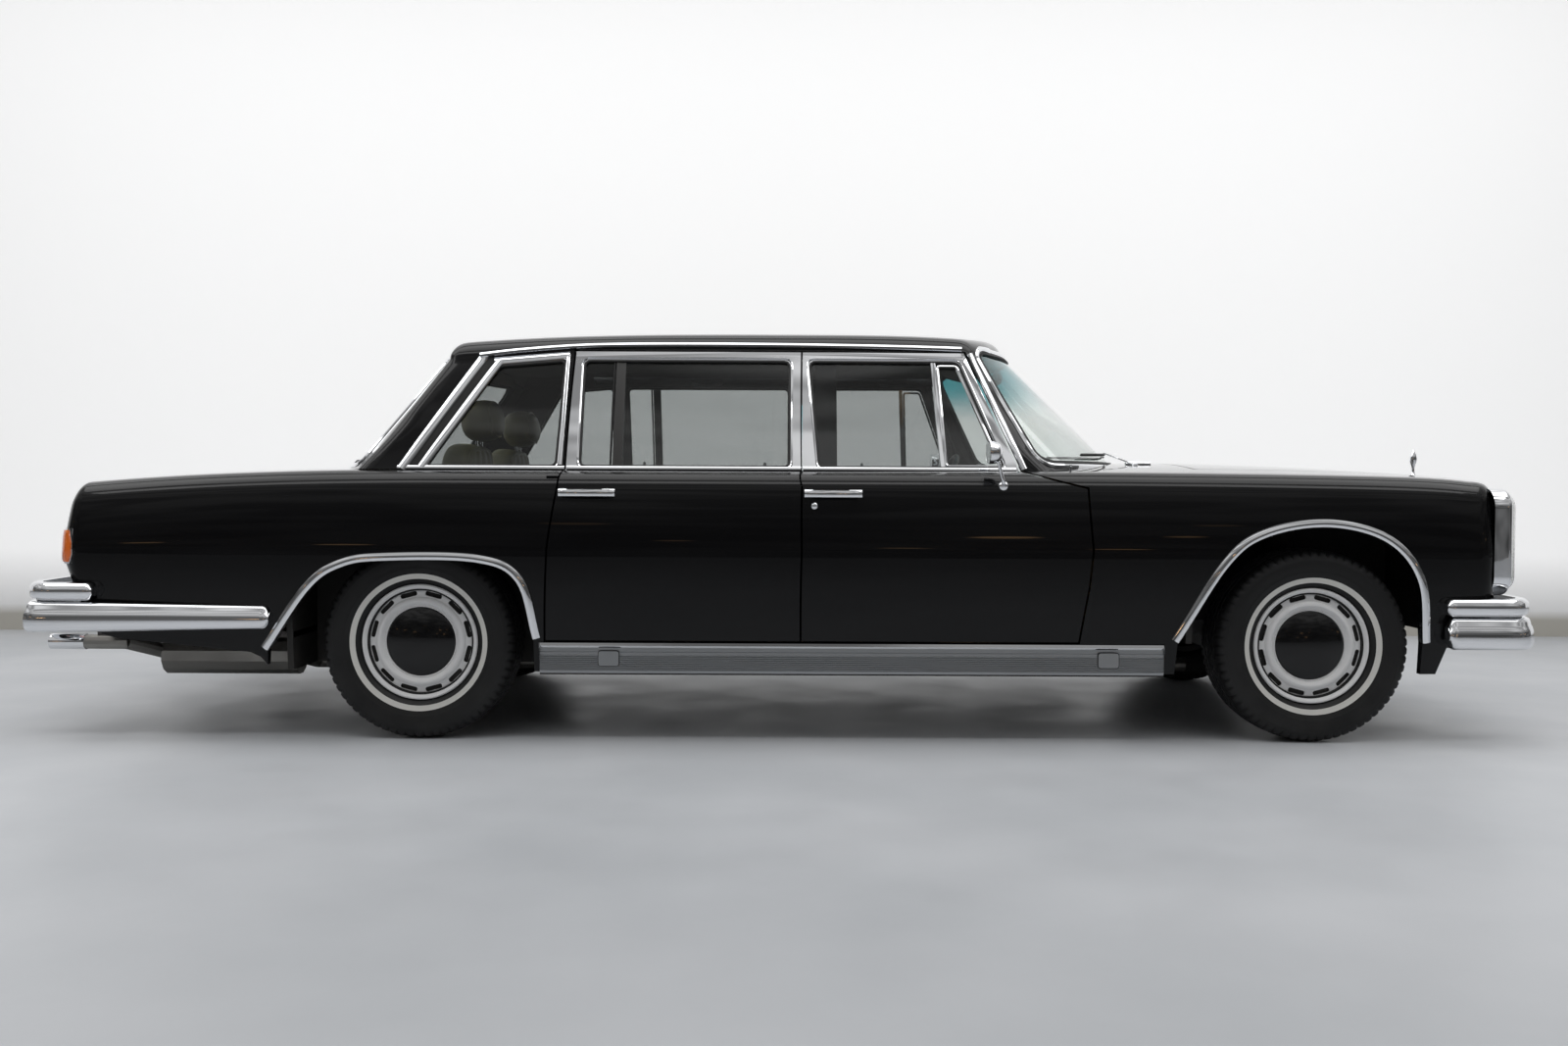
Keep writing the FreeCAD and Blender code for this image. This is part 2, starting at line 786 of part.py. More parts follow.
def lid_plan(gap):
    """The boot lid's outline from above and its rear face, as a block."""
    front = s.boot_front_x + gap
    a = s.boot_front_half + gap
    b = s.boot_rear_half + gap
    low = s.boot_lower_z - gap
    points = [V(front, -a, low), V(front, a, low), V(s.tail_x, b, low), V(-FAR, b, low), V(-FAR, -b, low),
              V(s.tail_x, -b, low)]
    return Part.Face(polygon(points)).extrude(V(0, 0, s.crown_height))


# Doors


def door(name, prism, window, node_glass):
    """The right door with its window frame, and its glass, with their mirror images."""
    lower = BODY.common(prism).common(region(-FAR, FAR, s.door_inner_y, FAR, 0, s.crest_height + s.skin))
    frame = FRAMES.common(prism).common(DOOR_ZONE)
    cut = window_prism(window)
    shape = lower.fuse(frame).cut(cut).removeSplitter()
    pane = PANES.common(window_prism(window, -s.glass_fit)).common(region(-FAR, FAR, 0, FAR, 0, ABOVE))
    for side, make in (("right", Part.Shape.copy), ("left", mirrored)):
        keep(name + "_" + side, make(shape))
        keep(node_glass + "_" + side, make(pane))


DOOR_ZONE = region(-FAR, FAR, s.door_inner_y, FAR, s.crest_height - s.shoulder_width, s.crest_height).fuse(
    region(-FAR, FAR, 0, FAR, s.crest_height, ABOVE))
door("door_front", FRONT_DOOR, FRONT_WINDOW, "door_glass_front")
door("door_rear", REAR_DOOR, REAR_WINDOW, "door_glass_rear")

# Roof, pillars and fixed glass

pane_zone = region(-FAR, FAR, 0, FAR, 0, ABOVE)
quarter = PANES.common(window_prism(QUARTER_WINDOW, -s.glass_fit)).common(pane_zone)
keep("quarter_glass_right", quarter)
keep("quarter_glass_left", mirrored(quarter))

SCREEN_SIDE_SHARE = 0.955
SCREEN_TOP_SHARE = 0.976
BACKLIGHT_SIDE_SHARE = 0.93


def end_window(corner_base, corner_top, side_share, low_z, high_z, grow, end):
    """A cutter through the windscreen or the backlight, straight along the car."""
    low_y = line_at(low_z, corner_base, corner_top) * side_share + grow
    high_y = line_at(high_z, corner_base, corner_top) * side_share + grow
    points = [V(0, -low_y, low_z - grow), V(0, low_y, low_z - grow), V(0, high_y, high_z + grow),
              V(0, -high_y, high_z + grow)]
    return Part.Face(polygon(eased(points, s.window_radius))).extrude(V(end, 0, 0))


def screen_cutter(grow):
    return end_window((s.screen_corner_base_z, s.screen_corner_base_y), (s.screen_corner_top_z, s.screen_corner_top_y),
                      SCREEN_SIDE_SHARE, s.screen_corner_base_z + s.panel, s.screen_corner_top_z - s.panel / 2,
                      grow, s.nose_x)


def backlight_cutter(grow):
    return end_window((s.backlight_corner_base_z, s.backlight_corner_base_y),
                      (s.backlight_corner_top_z, s.backlight_corner_top_y),
                      BACKLIGHT_SIDE_SHARE, s.backlight_base_z + s.panel, s.backlight_corner_top_z + s.panel,
                      grow, s.tail_x)


def front_half(shape, x):
    return shape.common(box(x, FAR, -FAR, FAR, 0, ABOVE))


def rear_half(shape, x):
    return shape.common(box(-FAR, x, -FAR, FAR, 0, ABOVE))


keep("windscreen", front_half(PANES.common(screen_cutter(-s.glass_fit)), 0))
keep("backlight", rear_half(PANES.common(backlight_cutter(-s.glass_fit)), 0))

split_z = s.door_top + half_gap
doorways = both(DOORWAY)
holes = both(window_prism(QUARTER_WINDOW))
upper = FRAMES.cut(doorways).cut(holes)
upper = upper.cut(front_half(screen_cutter(0), s.middle_gap_x)).cut(rear_half(backlight_cutter(0), s.middle_gap_x))
upper = upper.common(box(-FAR, FAR, -FAR, FAR, s.crest_height, ABOVE))
keep("roof", upper.common(box(-FAR, FAR, -FAR, FAR, split_z, ABOVE)))
pillars = upper.common(box(-FAR, FAR, -FAR, FAR, 0, split_z))

# The cabin's posts, sills and rails, under the pillars

inner_y = s.door_inner_y - s.seal_gap
middle_post_x = s.middle_gap_x + SLANT * (s.body_half_width - s.door_inner_y) + half_gap
front_post_x = s.front_gap_crease_x + SLANT * (s.body_half_width - s.door_inner_y) + s.gap
frame_rear_x = s.rear_house_front_x + s.panel + s.fit
low_box_z = s.floor_z + s.panel

sill = region(frame_rear_x, s.trim_front_x, s.sill_inner_y, s.sill_outer_y, s.floor_z,
              s.sill_top_z)
middle_post = region(middle_post_x, middle_post_x + s.post_width, inner_y - s.post_depth, inner_y, s.floor_z,
                     s.crest_height)
middle_upper = POSTS.common(region(middle_post_x, middle_post_x + s.post_width, 0, inner_y,
                                   s.crest_height - s.shoulder_width, split_z))
front_post = region(front_post_x, front_post_x + s.post_width, inner_y - s.post_depth, s.sill_outer_y, s.floor_z,
                    s.front_gap_top_z - s.panel)
rear_post = region(frame_rear_x, s.rear_gap_belt_x + s.post_width, inner_y - s.post_depth,
                   s.sill_outer_y, s.floor_z, s.crest_height - s.panel).cut(DOORWAY)
rail_x = (s.quarter_front_top_x - s.post_width, s.pillar_gap_top_x + s.post_width / 2)
cant_rail = POSTS.common(region(rail_x[0], rail_x[1], 0, FAR, s.window_top + s.panel / 2, split_z))
side_frame = sill.fuse([middle_post, middle_upper, front_post, rear_post, cant_rail])
right_frame = pillars.common(region(-FAR, FAR, 0, FAR, 0, ABOVE)).fuse(side_frame)
keep("cabin_frame_right", right_frame)
keep("cabin_frame_left", mirrored(right_frame))

# Wings, scuttle and nose


CORNER_STEPS = 3


def rounded_box(x0, x1, y0, y1, z0, z1, radius):
    """A block whose four edges along X are rounded in a few flats."""
    outline = []
    for corner_y, corner_z, start in ((y1, z1, 0), (y0, z1, 1), (y0, z0, 2), (y1, z0, 3)):
        middle_y = corner_y - math.copysign(radius, corner_y - (y0 + y1) / 2)
        middle_z = corner_z - math.copysign(radius, corner_z - (z0 + z1) / 2)
        for i in range(CORNER_STEPS + 1):
            angle = math.pi / 2 * (start + i / CORNER_STEPS)
            outline.append(V(x0, middle_y + radius * math.cos(angle), middle_z + radius * math.sin(angle)))
    return Part.Face(polygon(outline)).extrude(V(x1 - x0, 0, 0))


def lamp_block(grow):
    """The right headlamp with its bucket, which sits in the wing's end."""
    return rounded_box(s.nose_x - s.lamp_depth, s.nose_x + s.lamp_depth, -s.lamp_outer_y - grow,
                       -s.lamp_inner_y + grow, s.lamp_low - grow, s.lamp_high + grow, s.lamp_round)


SKIN = BODY.cut(INSIDE)
wing_rear_x = s.pillar_gap_base_x - s.post_width
wing = SKIN.common(region(wing_rear_x, FAR, 0, FAR, 0, ABOVE)).cut(DOORWAY)
wing = wing.cut(CABIN).cut(bonnet_plan(s.gap))
split_line = [V(wing_rear_x, -s.bonnet_rear_half - s.gap, 0), V(s.bonnet_rear_x, -s.bonnet_rear_half - s.gap, 0),
              V(s.bonnet_front_x, -s.bonnet_front_half - s.gap, 0), V(FAR, -s.bonnet_front_half - s.gap, 0),
              V(FAR, -FAR, 0), V(wing_rear_x, -FAR, 0)]
outboard = Part.Face(polygon(split_line)).extrude(V(0, 0, ABOVE))
nose_part = SKIN.common(box(wing_rear_x, FAR, -FAR, FAR, 0, ABOVE)).cut(outboard).cut(mirrored(outboard))
wing = wing.common(outboard)
under_door = region(wing_rear_x, s.front_gap_bottom_x - s.panel, 0, FAR, 0, s.door_bottom + s.panel)
wing = wing.cut(under_door).cut(FRONT_ARCH)
wing = wing.cut(region(wing_rear_x, front_post_x + s.post_width + s.fit, 0, s.sill_outer_y + s.fit, 0,
                       s.front_gap_top_z - s.panel + s.fit))
wing = wing.cut(region(wing_rear_x, s.trim_front_x + s.fit, 0, FAR, 0, s.sill_top_z + s.fit))
shelf = region(s.house_rear_x, s.house_front_x, s.house_inner_y, s.sill_outer_y, s.house_top_z, s.house_top_z + s.panel)
apron = region(s.bulkhead_x, s.bonnet_front_x, s.house_inner_y - s.panel, s.house_inner_y, s.apron_low_z,
               s.house_top_z + s.panel).common(CAVITY)
rear_wall = region(s.house_rear_x - s.panel, s.house_rear_x, s.house_inner_y, s.sill_outer_y, s.sill_top_z,
                   s.house_top_z + s.panel)
front_wall = region(s.house_front_x, s.house_front_x + s.panel, s.house_inner_y, s.front_wall_y, s.apron_low_z,
                    s.house_top_z + s.panel)
gutter = region(s.bonnet_rear_x, s.house_front_x, s.bonnet_rear_half + s.gap, s.bonnet_rear_half + s.gap + s.panel,
                s.house_top_z, s.crest_height - s.skin)
pad = LID_UNDER.cut(INSIDE).common(region(s.pad_front_x - s.post_width, s.pad_front_x, s.bonnet_front_half - s.panel,
                                         s.bonnet_front_half + s.panel * 2, s.house_top_z, ABOVE))
wing = wing.fuse([shelf, apron, rear_wall, front_wall, gutter]).common(BODY.fuse(apron)).fuse(pad)
wing = wing.cut(lamp_block(s.fit)).removeSplitter()
keep("wing_right", wing)
keep("wing_left", mirrored(wing))

scuttle = nose_part.common(box(wing_rear_x, s.bonnet_rear_x - half_gap, -FAR, FAR, s.house_top_z, ABOVE))
scuttle = scuttle.cut(CABIN)
keep("scuttle", scuttle)
bulkhead = box(s.bulkhead_x - s.panel, s.bulkhead_x, -s.sill_inner_y, s.sill_inner_y, low_box_z,
               s.crest_height - s.fit).common(CAVITY)
keep("bulkhead", bulkhead.cut(Part.makeCylinder(s.tunnel_half, FAR, V(0, 0, s.floor_z + s.panel), V(1, 0, 0))))

nose = nose_part.cut(bonnet_plan(s.gap)).common(box(s.nose_x - s.skin * 2, FAR, -FAR, FAR, 0, ABOVE))
grille_hole = box(0, FAR, -s.grille_half + s.grille_rim, s.grille_half - s.grille_rim, s.grille_low + s.grille_rim,
                  s.grille_top - s.grille_rim * 3)
radiator = box(s.nose_x - s.skin - s.panel * 2, s.nose_x - s.skin, -s.grille_half, s.grille_half, s.grille_low,
               s.house_top_z)
keep("front_panel", nose.cut(grille_hole).fuse(radiator))

bonnet = BODY.cut(LID_INSIDE).common(bonnet_plan(0))
keep("bonnet", bonnet)

# Boot lid and rear body

lid = BODY.cut(LID_INSIDE).common(lid_plan(0))
keep("boot_lid", lid)

rear = SKIN.common(box(-FAR, s.rear_gap_top_x + s.post_width, -FAR, FAR, 0, ABOVE)).cut(doorways)
rear = rear.cut(lid_plan(s.gap)).cut(both(REAR_ARCH))
rear = rear.cut(box(-FAR, s.rear_gap_top_x + FAR, -s.sill_outer_y, s.sill_outer_y, s.shelf_z, ABOVE).common(CABIN))
rear = rear.cut(box(s.rear_gap_belt_x - s.post_width, 0, -FAR, FAR, 0, ABOVE).common(
    both(region(-FAR, FAR, 0, s.sill_outer_y, 0, ABOVE))))
house = region(s.rear_house_rear_x - s.panel, s.rear_house_front_x + s.panel, s.rear_house_inner_y - s.panel,
               s.sill_outer_y, s.floor_z, s.rear_house_top_z + s.panel)
house = house.cut(region(s.rear_house_rear_x, s.rear_house_front_x, s.rear_house_inner_y, FAR, 0, s.rear_house_top_z))
half_shaft_slot = region(s.rear_axle_x - s.axle_tube - s.gap, s.rear_axle_x + s.axle_tube + s.gap,
                         s.rear_house_inner_y - s.panel * 2, s.rear_house_inner_y + s.panel, 0,
                         s.tyre_radius + s.axle_tube + s.gap)
house = house.cut(half_shaft_slot)
parcel_shelf = box(s.boot_front_x + s.gap, s.rear_back_rear_x - s.fit, -s.sill_outer_y, s.sill_outer_y,
                   s.shelf_z - s.panel, s.shelf_z)
lid_pad = LID_UNDER.cut(INSIDE).common(region(s.tail_x + s.post_width * 2, s.tail_x + s.post_width * 3,
                                             s.boot_rear_half - s.panel, s.boot_front_half, s.boot_lower_z, ABOVE))
rear = rear.fuse([both(house), both(lid_pad), parcel_shelf])
trim_room = region(s.trim_rear_x - s.fit, 0, s.sill_outer_y, FAR, 0, s.sill_top_z + s.fit)
keep("rear_body", rear.cut(both(trim_room)).removeSplitter())

# Floor


def side_extrusion(points, half, y=0):
    """A side-view outline extruded evenly to both sides of a lengthwise line."""
    return Part.Face(polygon([V(x, y - half, z) for x, z in points])).extrude(V(0, half * 2, 0))


front_floor = [(s.bulkhead_x, s.floor_z), (s.kick_up_x - s.panel, s.floor_z),
               (s.kick_up_x - s.panel, low_box_z), (s.bulkhead_x, low_box_z)]
riser = [(s.kick_up_x - s.panel, s.floor_z), (s.kick_up_x, s.floor_z), (s.kick_up_x, s.axle_floor_z + s.panel),
         (s.kick_up_x - s.panel, s.axle_floor_z + s.panel)]
high_floor = [(s.kick_up_x, s.axle_floor_z), (s.rear_house_rear_x - s.panel, s.axle_floor_z),
              (s.rear_house_rear_x - s.panel, s.axle_floor_z + s.panel), (s.kick_up_x, s.axle_floor_z + s.panel)]
boot_step = [(s.rear_house_rear_x - s.panel, s.boot_floor_z - s.panel),
             (s.rear_house_rear_x, s.boot_floor_z - s.panel), (s.rear_house_rear_x, s.axle_floor_z + s.panel),
             (s.rear_house_rear_x - s.panel, s.axle_floor_z + s.panel)]
boot_end_x = place(TAIL_SHARES[-1], s.tail_x, s.skin).x + s.fit
boot_floor = [(boot_end_x, s.boot_floor_z - s.panel), (s.rear_house_rear_x, s.boot_floor_z - s.panel),
              (s.rear_house_rear_x, s.boot_floor_z), (boot_end_x, s.boot_floor_z)]
narrow = s.rear_house_inner_y - s.panel
tunnel_outer = [(0 - s.tunnel_half, s.floor_z), (-s.tunnel_half * 0.7, s.floor_z + s.tunnel_height),
                (s.tunnel_half * 0.7, s.floor_z + s.tunnel_height), (s.tunnel_half, s.floor_z)]


def cross_extrusion(points, x0, x1):
    """A front-view outline extruded along the car."""
    return Part.Face(polygon([V(x0, y, z) for y, z in points])).extrude(V(x1 - x0, 0, 0))


inner_tunnel = [(y * (1 - s.panel / s.tunnel_half), z - (s.panel if z > s.floor_z else 0)) for y, z in tunnel_outer]
tunnel = cross_extrusion(tunnel_outer, s.kick_up_x, s.bulkhead_x - s.panel)
hollow = cross_extrusion(inner_tunnel, s.kick_up_x - s.panel, s.bulkhead_x)
floor = side_extrusion(front_floor, s.sill_inner_y).fuse([side_extrusion(riser, narrow),
                                                          side_extrusion(high_floor, narrow),
                                                          side_extrusion(boot_step, narrow),
                                                          side_extrusion(boot_floor, narrow), tunnel])
floor = floor.cut(hollow).removeSplitter()
keep("floor_pan", floor)

# Lamps, grille and finial


def faceted(profile, sides, ends=None):
    """A many-sided turning about the Y axis. The profile holds (place along Y, radius to the flat) pairs.

    With no ends the profile closes on itself as a ring. With two ends, places along Y, it closes to points on the axis.
    """
    stretch = 1 / math.cos(math.pi / sides)
    rings = []
    for i in range(sides):
        angle = 2 * math.pi * (i + 0.5) / sides
        rings.append([V(r * stretch * math.cos(angle), y, -r * stretch * math.sin(angle)) for y, r in profile])
    faces = []
    for i in range(sides):
        a, b = rings[i], rings[(i + 1) % sides]
        pairs = range(len(profile)) if ends is None else range(len(profile) - 1)
        for j in pairs:
            k = (j + 1) % len(profile)
            faces.append(Part.Face(polygon([a[j], a[k], b[k], b[j]])))
        if ends is not None:
            for end, j in ((ends[0], 0), (ends[1], -1)):
                faces.append(Part.Face(polygon([V(0, end, 0), a[j], b[j]])))
    solid = Part.Solid(Part.Shell(faces))
    if solid.Volume < 0:
        solid.reverse()
    return solid


keep("headlamps", both(lamp_block(0)))

shell_outer = rounded_box(s.nose_x + s.fit, s.grille_front_x, -s.grille_half, s.grille_half, s.grille_low,
                          s.grille_top, s.grille_rim * 1.5)
shell_inner = rounded_box(s.nose_x, s.grille_front_x + s.panel, -s.grille_half + s.grille_rim,
                          s.grille_half - s.grille_rim, s.grille_low + s.grille_rim,
                          s.grille_top - s.grille_rim * 2, s.grille_rim / 2)
slats = []
slat_front = s.grille_front_x - s.panel
z = s.grille_low + s.grille_pitch
while z < s.grille_top - s.grille_pitch:
    slats.append(box(slat_front - s.panel, slat_front, -s.grille_half + s.grille_rim / 2,
                     s.grille_half - s.grille_rim / 2, z, z + s.grille_slat))
    z += s.grille_pitch
slats.append(box(slat_front - s.panel, slat_front + s.grille_slat, -s.grille_slat, s.grille_slat,
                 s.grille_low + s.grille_rim / 2, s.grille_top - s.grille_rim))
keep("grille", shell_outer.cut(shell_inner).fuse(slats).removeSplitter())

finial_foot = V((s.nose_x + s.grille_front_x) / 2, 0, s.grille_top)
finial_points = [V(0, 0, 0), V(s.finial_radius, 0, 0), V(s.finial_radius, 0, s.finial_radius / 2),
                 V(s.finial_radius / 3, 0, s.finial_radius), V(s.finial_radius / 3, 0, s.finial_height * 0.35),
                 V(s.finial_radius * 0.7, 0, s.finial_height * 0.6), V(0, 0, s.finial_height)]
finial = faceted([(p.z, p.x) for p in finial_points[1:-1]], 8, ends=(0, s.finial_height))
finial.rotate(V(0, 0, 0), V(1, 0, 0), 90)
keep("bonnet_finial", finial.translated(finial_foot))

TAIL_ZONE = region(s.tail_lamp_front_x, -FAR, s.tail_lamp_inner_y, FAR, s.tail_lamp_low, s.tail_lamp_high)
keep("tail_lamps", both(GROWN.cut(BODY).common(TAIL_ZONE)))


# Bumpers


def bumper_face(end_x, front_x, inset):
    """Plan outline of a bumper, grown inwards."""
    sign = math.copysign(1, front_x)
    half = s.bumper_half - inset
    nose = front_x - sign * inset
    corner_x = nose - sign * (s.bumper_sweep + s.bumper_corner * 0.6)
    corner_mid = V(nose - sign * (s.bumper_sweep + s.bumper_corner * 0.12), -half + s.bumper_corner * 0.3, 0)
    corner_in = V(nose - sign * s.bumper_sweep * 0.75, -half + s.bumper_corner, 0)
    a = V(end_x, -half, 0)
    b = V(corner_x, -half, 0)
    middle = V(nose, 0, 0)
    c = V(corner_in.x, -corner_in.y, 0)
    right = [a] + arc_through(b, corner_mid, corner_in, BUMPER_CORNER_STEPS)
    return right + arc_through(corner_in, middle, c, BUMPER_STEPS) + turned_back(right + [corner_in])


BUMPER_CORNER_STEPS = 3
BUMPER_STEPS = 6


def bumper_bar(end_x, front_x, low, high, set_in):
    """A bumper bar that wraps round a corner of the car."""
    outer = bumper_face(end_x, front_x, set_in)
    inner = bumper_face(end_x, front_x, set_in + s.bumper_thick)
    outline = polygon(outer + list(reversed(inner)))
    return Part.Face(outline).extrude(V(0, 0, high - low)).translated(V(0, 0, low))


def rounded_bar(end_x, front_x, low, high, set_in):
    """The bar with its outer edges stepped back above and below, as a rolled section has."""
    step = s.bumper_edge
    core = bumper_bar(end_x, front_x, low, high, set_in + step / 2)
    proud = bumper_bar(end_x, front_x, low + step, high - step, set_in)
    return core.fuse(proud)


def bumper(name, end_x, front_x, low, high, upper_high, iron_root_x):
    bar = rounded_bar(end_x, front_x, low, high, 0)
    upper = rounded_bar(end_x, front_x, high, upper_high, s.bumper_edge)
    upper = upper.cut(box(-FAR, FAR, -s.upper_bar_inner_y, s.upper_bar_inner_y, 0, ABOVE))
    sign = math.copysign(1, front_x)
    iron = region(iron_root_x, front_x - sign * s.bumper_thick * 1.2, s.bumper_iron_y,
                  s.bumper_iron_y + s.bumper_iron, low + s.bumper_edge, low + s.bumper_edge + s.bumper_iron)
    iron = sorted(iron.cut(BODY).Solids, key=lambda x: -abs(x.CenterOfMass.x))[0]
    bars = bar.fuse(upper).cut(GROWN).cut(BODY)
    keep(name, bars.fuse(both(iron)).removeSplitter())


bumper("front_bumper", s.front_bumper_end_x, s.bumper_front_x, s.front_bumper_low, s.front_bumper_high,
       s.front_upper_high, s.nose_x - s.skin)
bumper("rear_bumper", s.rear_bumper_end_x, s.bumper_rear_x, s.rear_bumper_low, s.rear_bumper_high,
       s.rear_upper_high, s.tail_x + s.bumper_corner)

# Front suspension and rear axle


def rod(a, b, radius):
    """A many-sided round bar between two points, whose flats touch the given radius."""
    reach = radius / math.cos(math.pi / s.rod_sides)
    angles = [2 * math.pi * (i + 0.5) / s.rod_sides for i in range(int(s.rod_sides))]
    turn = FreeCAD.Rotation(V(0, 0, 1), b.sub(a))
    ring = [a.add(turn.multVec(V(reach * math.cos(angle), reach * math.sin(angle), 0))) for angle in angles]
    return Part.Face(polygon(ring)).extrude(b.sub(a))


def plan_plate(points, low, thick):
    return Part.Face(polygon([V(x, -y, low) for x, y in points])).extrude(V(0, 0, thick))


axle = s.front_axle_x
beam = box(axle - s.beam_half_length, axle + s.beam_half_length, -s.beam_half_width, s.beam_half_width, s.beam_low,
           s.beam_top)


def arm(z, root_y):
    """One wishbone, seen from above: wide at the beam and narrow at the kingpin."""
    tip = s.kingpin_y - s.kingpin_radius - s.fit
    return plan_plate([(axle - s.arm_reach, root_y), (axle - s.arm_tip, tip),
                       (axle + s.arm_tip, tip), (axle + s.arm_reach, root_y)], z, s.arm_thick)


root = region(axle - s.arm_reach, axle + s.arm_reach, s.beam_half_width - s.panel, s.house_inner_y, s.beam_low,
              s.beam_top)
spring = rod(V(axle, -s.spring_y, s.arm_low_z + s.arm_thick / 2), V(axle, -s.spring_y, s.house_top_z - s.fit),
             s.spring_radius)
upright = region(axle - s.beam_half_length, axle + s.beam_half_length, s.house_inner_y + s.fit,
                 s.house_inner_y + s.panel, s.beam_low, s.arm_high_z + s.arm_thick)
suspension = root.fuse([arm(s.arm_low_z, s.house_inner_y - s.panel), arm(s.arm_high_z, s.house_inner_y + s.fit),
                        spring, upright])
keep("front_suspension", beam.fuse(both(suspension)).removeSplitter())

tube_end = "sizes.rear_house_inner_y - sizes.panel - sizes.fit"
axle_parts = [round_bar("axle_tube", "sizes.axle_tube", "2 * (" + tube_end + ")",
                        ("sizes.rear_axle_x", "0 - (" + tube_end + ")", "sizes.tyre_radius"), V(0, 1, 0)),
              round_bar("differential", "sizes.diff_radius * 0.8", "2 * sizes.diff_radius",
                        ("sizes.rear_axle_x - sizes.diff_radius", "0", "sizes.tyre_radius"), V(1, 0, 0))]
stub_length = "sizes.hub_face_y - sizes.rear_house_inner_y + 2 * sizes.panel"
for side, start in (("right", "0 - sizes.hub_face_y"), ("left", "sizes.rear_house_inner_y - 2 * sizes.panel")):
    axle_parts.append(round_bar("axle_stub_" + side, "sizes.hub_radius * 0.7", stub_length,
                                ("sizes.rear_axle_x", start, "sizes.tyre_radius"), V(0, 1, 0)))
for side, start in (("right", "0 - sizes.rear_spring_y"), ("left", "sizes.rear_spring_y")):
    axle_parts.append(round_bar("axle_spring_" + side, "sizes.spring_radius",
                                "sizes.axle_floor_z - sizes.fit - sizes.tyre_radius",
                                ("sizes.rear_axle_x", start, "sizes.tyre_radius"), None))
keep_fused("rear_axle", axle_parts)

# Engine, gearbox and propeller shaft: plain blocks at their real places

kept.append(bound("Box", "engine", {
    "Length": "sizes.engine_front_x - sizes.engine_rear_x", "Width": "sizes.engine_half * 2",
    "Height": "sizes.engine_top - sizes.beam_top", "Placement.Base.x": "sizes.engine_rear_x",
    "Placement.Base.y": "0 - sizes.engine_half", "Placement.Base.z": "sizes.beam_top"}))

gearbox = round_bar("gearbox", "sizes.gearbox_radius", "sizes.engine_rear_x - sizes.gearbox_rear_x",
                    ("sizes.engine_rear_x", "0", "sizes.shaft_z"), V(-1, 0, 0))
shaft = round_bar("shaft", "sizes.shaft_radius",
                  "sizes.gearbox_rear_x + sizes.panel - sizes.rear_axle_x - sizes.diff_radius",
                  ("sizes.gearbox_rear_x + sizes.panel", "0", "sizes.shaft_z"), V(-1, 0, 0))
keep_fused("gearbox_and_shaft", [gearbox, shaft])

# Fuel tank and exhaust

tank = box(s.tank_front_x, s.tank_rear_x, -s.tank_half, s.tank_half, s.tank_low, s.boot_floor_z - s.panel)
low_edges = [e for e in tank.Edges if e.CenterOfMass.z < s.boot_floor_z - s.panel * 2]
keep("fuel_tank", tank.makeChamfer(s.tank_round, low_edges))

pipe = rod(V(s.engine_rear_x, -s.pipe_y, s.pipe_z), V(s.silencer_front_x, -s.pipe_y, s.pipe_z), s.pipe_radius)
elbow = rod(V(s.engine_rear_x - s.pipe_radius, -s.pipe_y, s.pipe_z),
            V(s.engine_rear_x - s.pipe_radius, -s.pipe_y, s.beam_top + s.panel), s.pipe_radius)
cross = rod(V(s.silencer_front_x, -s.pipe_y, s.pipe_z), V(s.silencer_front_x, -s.silencer_y, s.silencer_z),
            s.pipe_radius)
silencer = rod(V(s.silencer_front_x + s.pipe_radius, -s.silencer_y, s.silencer_z),
               V(s.silencer_rear_x, -s.silencer_y, s.silencer_z), s.silencer_radius)
tail = rod(V(s.silencer_rear_x + s.panel, -s.silencer_y, s.silencer_z),
           V(s.silencer_rear_x - s.panel * 4, -s.tail_pipe_y, s.tail_pipe_z), s.pipe_radius)
tip = rod(V(s.silencer_rear_x - s.panel * 4 + s.pipe_radius / 2, -s.tail_pipe_y, s.tail_pipe_z),
          V(s.tail_pipe_end_x, -s.tail_pipe_y, s.tail_pipe_z), s.pipe_radius)
hanger = region(s.silencer_front_x - s.panel * 4, s.silencer_front_x - s.panel * 6, s.silencer_y - s.panel,
                s.silencer_y + s.panel, s.silencer_z, s.boot_floor_z - s.panel)
keep("exhaust_right", pipe.fuse([cross, silencer, tail, tip, hanger]))
keep("exhaust_left", mirrored(kept[-1].Shape))

# Seats


def seat_pair(y, half, front_x, rear_x, low, cushion_top, back_rear_x, back_top, back_thick):
    """A cushion and a leaning back rest."""
    cushion = side_extrusion([(rear_x, low), (front_x, low), (front_x, cushion_top), (rear_x, cushion_top - s.panel)],
                             half, y)
    back = side_extrusion([(rear_x - s.fit, low), (rear_x - s.fit, cushion_top),
                           (back_rear_x + back_thick, back_top), (back_rear_x, back_top),
                           (back_rear_x, cushion_top), (rear_x - back_thick, low)], half, y)
    return cushion, back


floor_top = low_box_z
for name, y in (("right", -s.seat_y), ("left", s.seat_y)):
    cushion, back = seat_pair(y, s.seat_half, s.seat_front_x, s.seat_rear_x, s.seat_low, s.cushion_top,
                              s.seat_back_rear_x, s.seat_back_top, s.seat_back_thick)
    runners = box(s.seat_rear_x - s.seat_back_thick, s.seat_front_x - s.panel * 2, y - s.seat_half + s.panel,
                  y + s.seat_half - s.panel, floor_top, s.seat_low)
    keep("seat_front_" + name, cushion.fuse([back, runners]).removeSplitter())

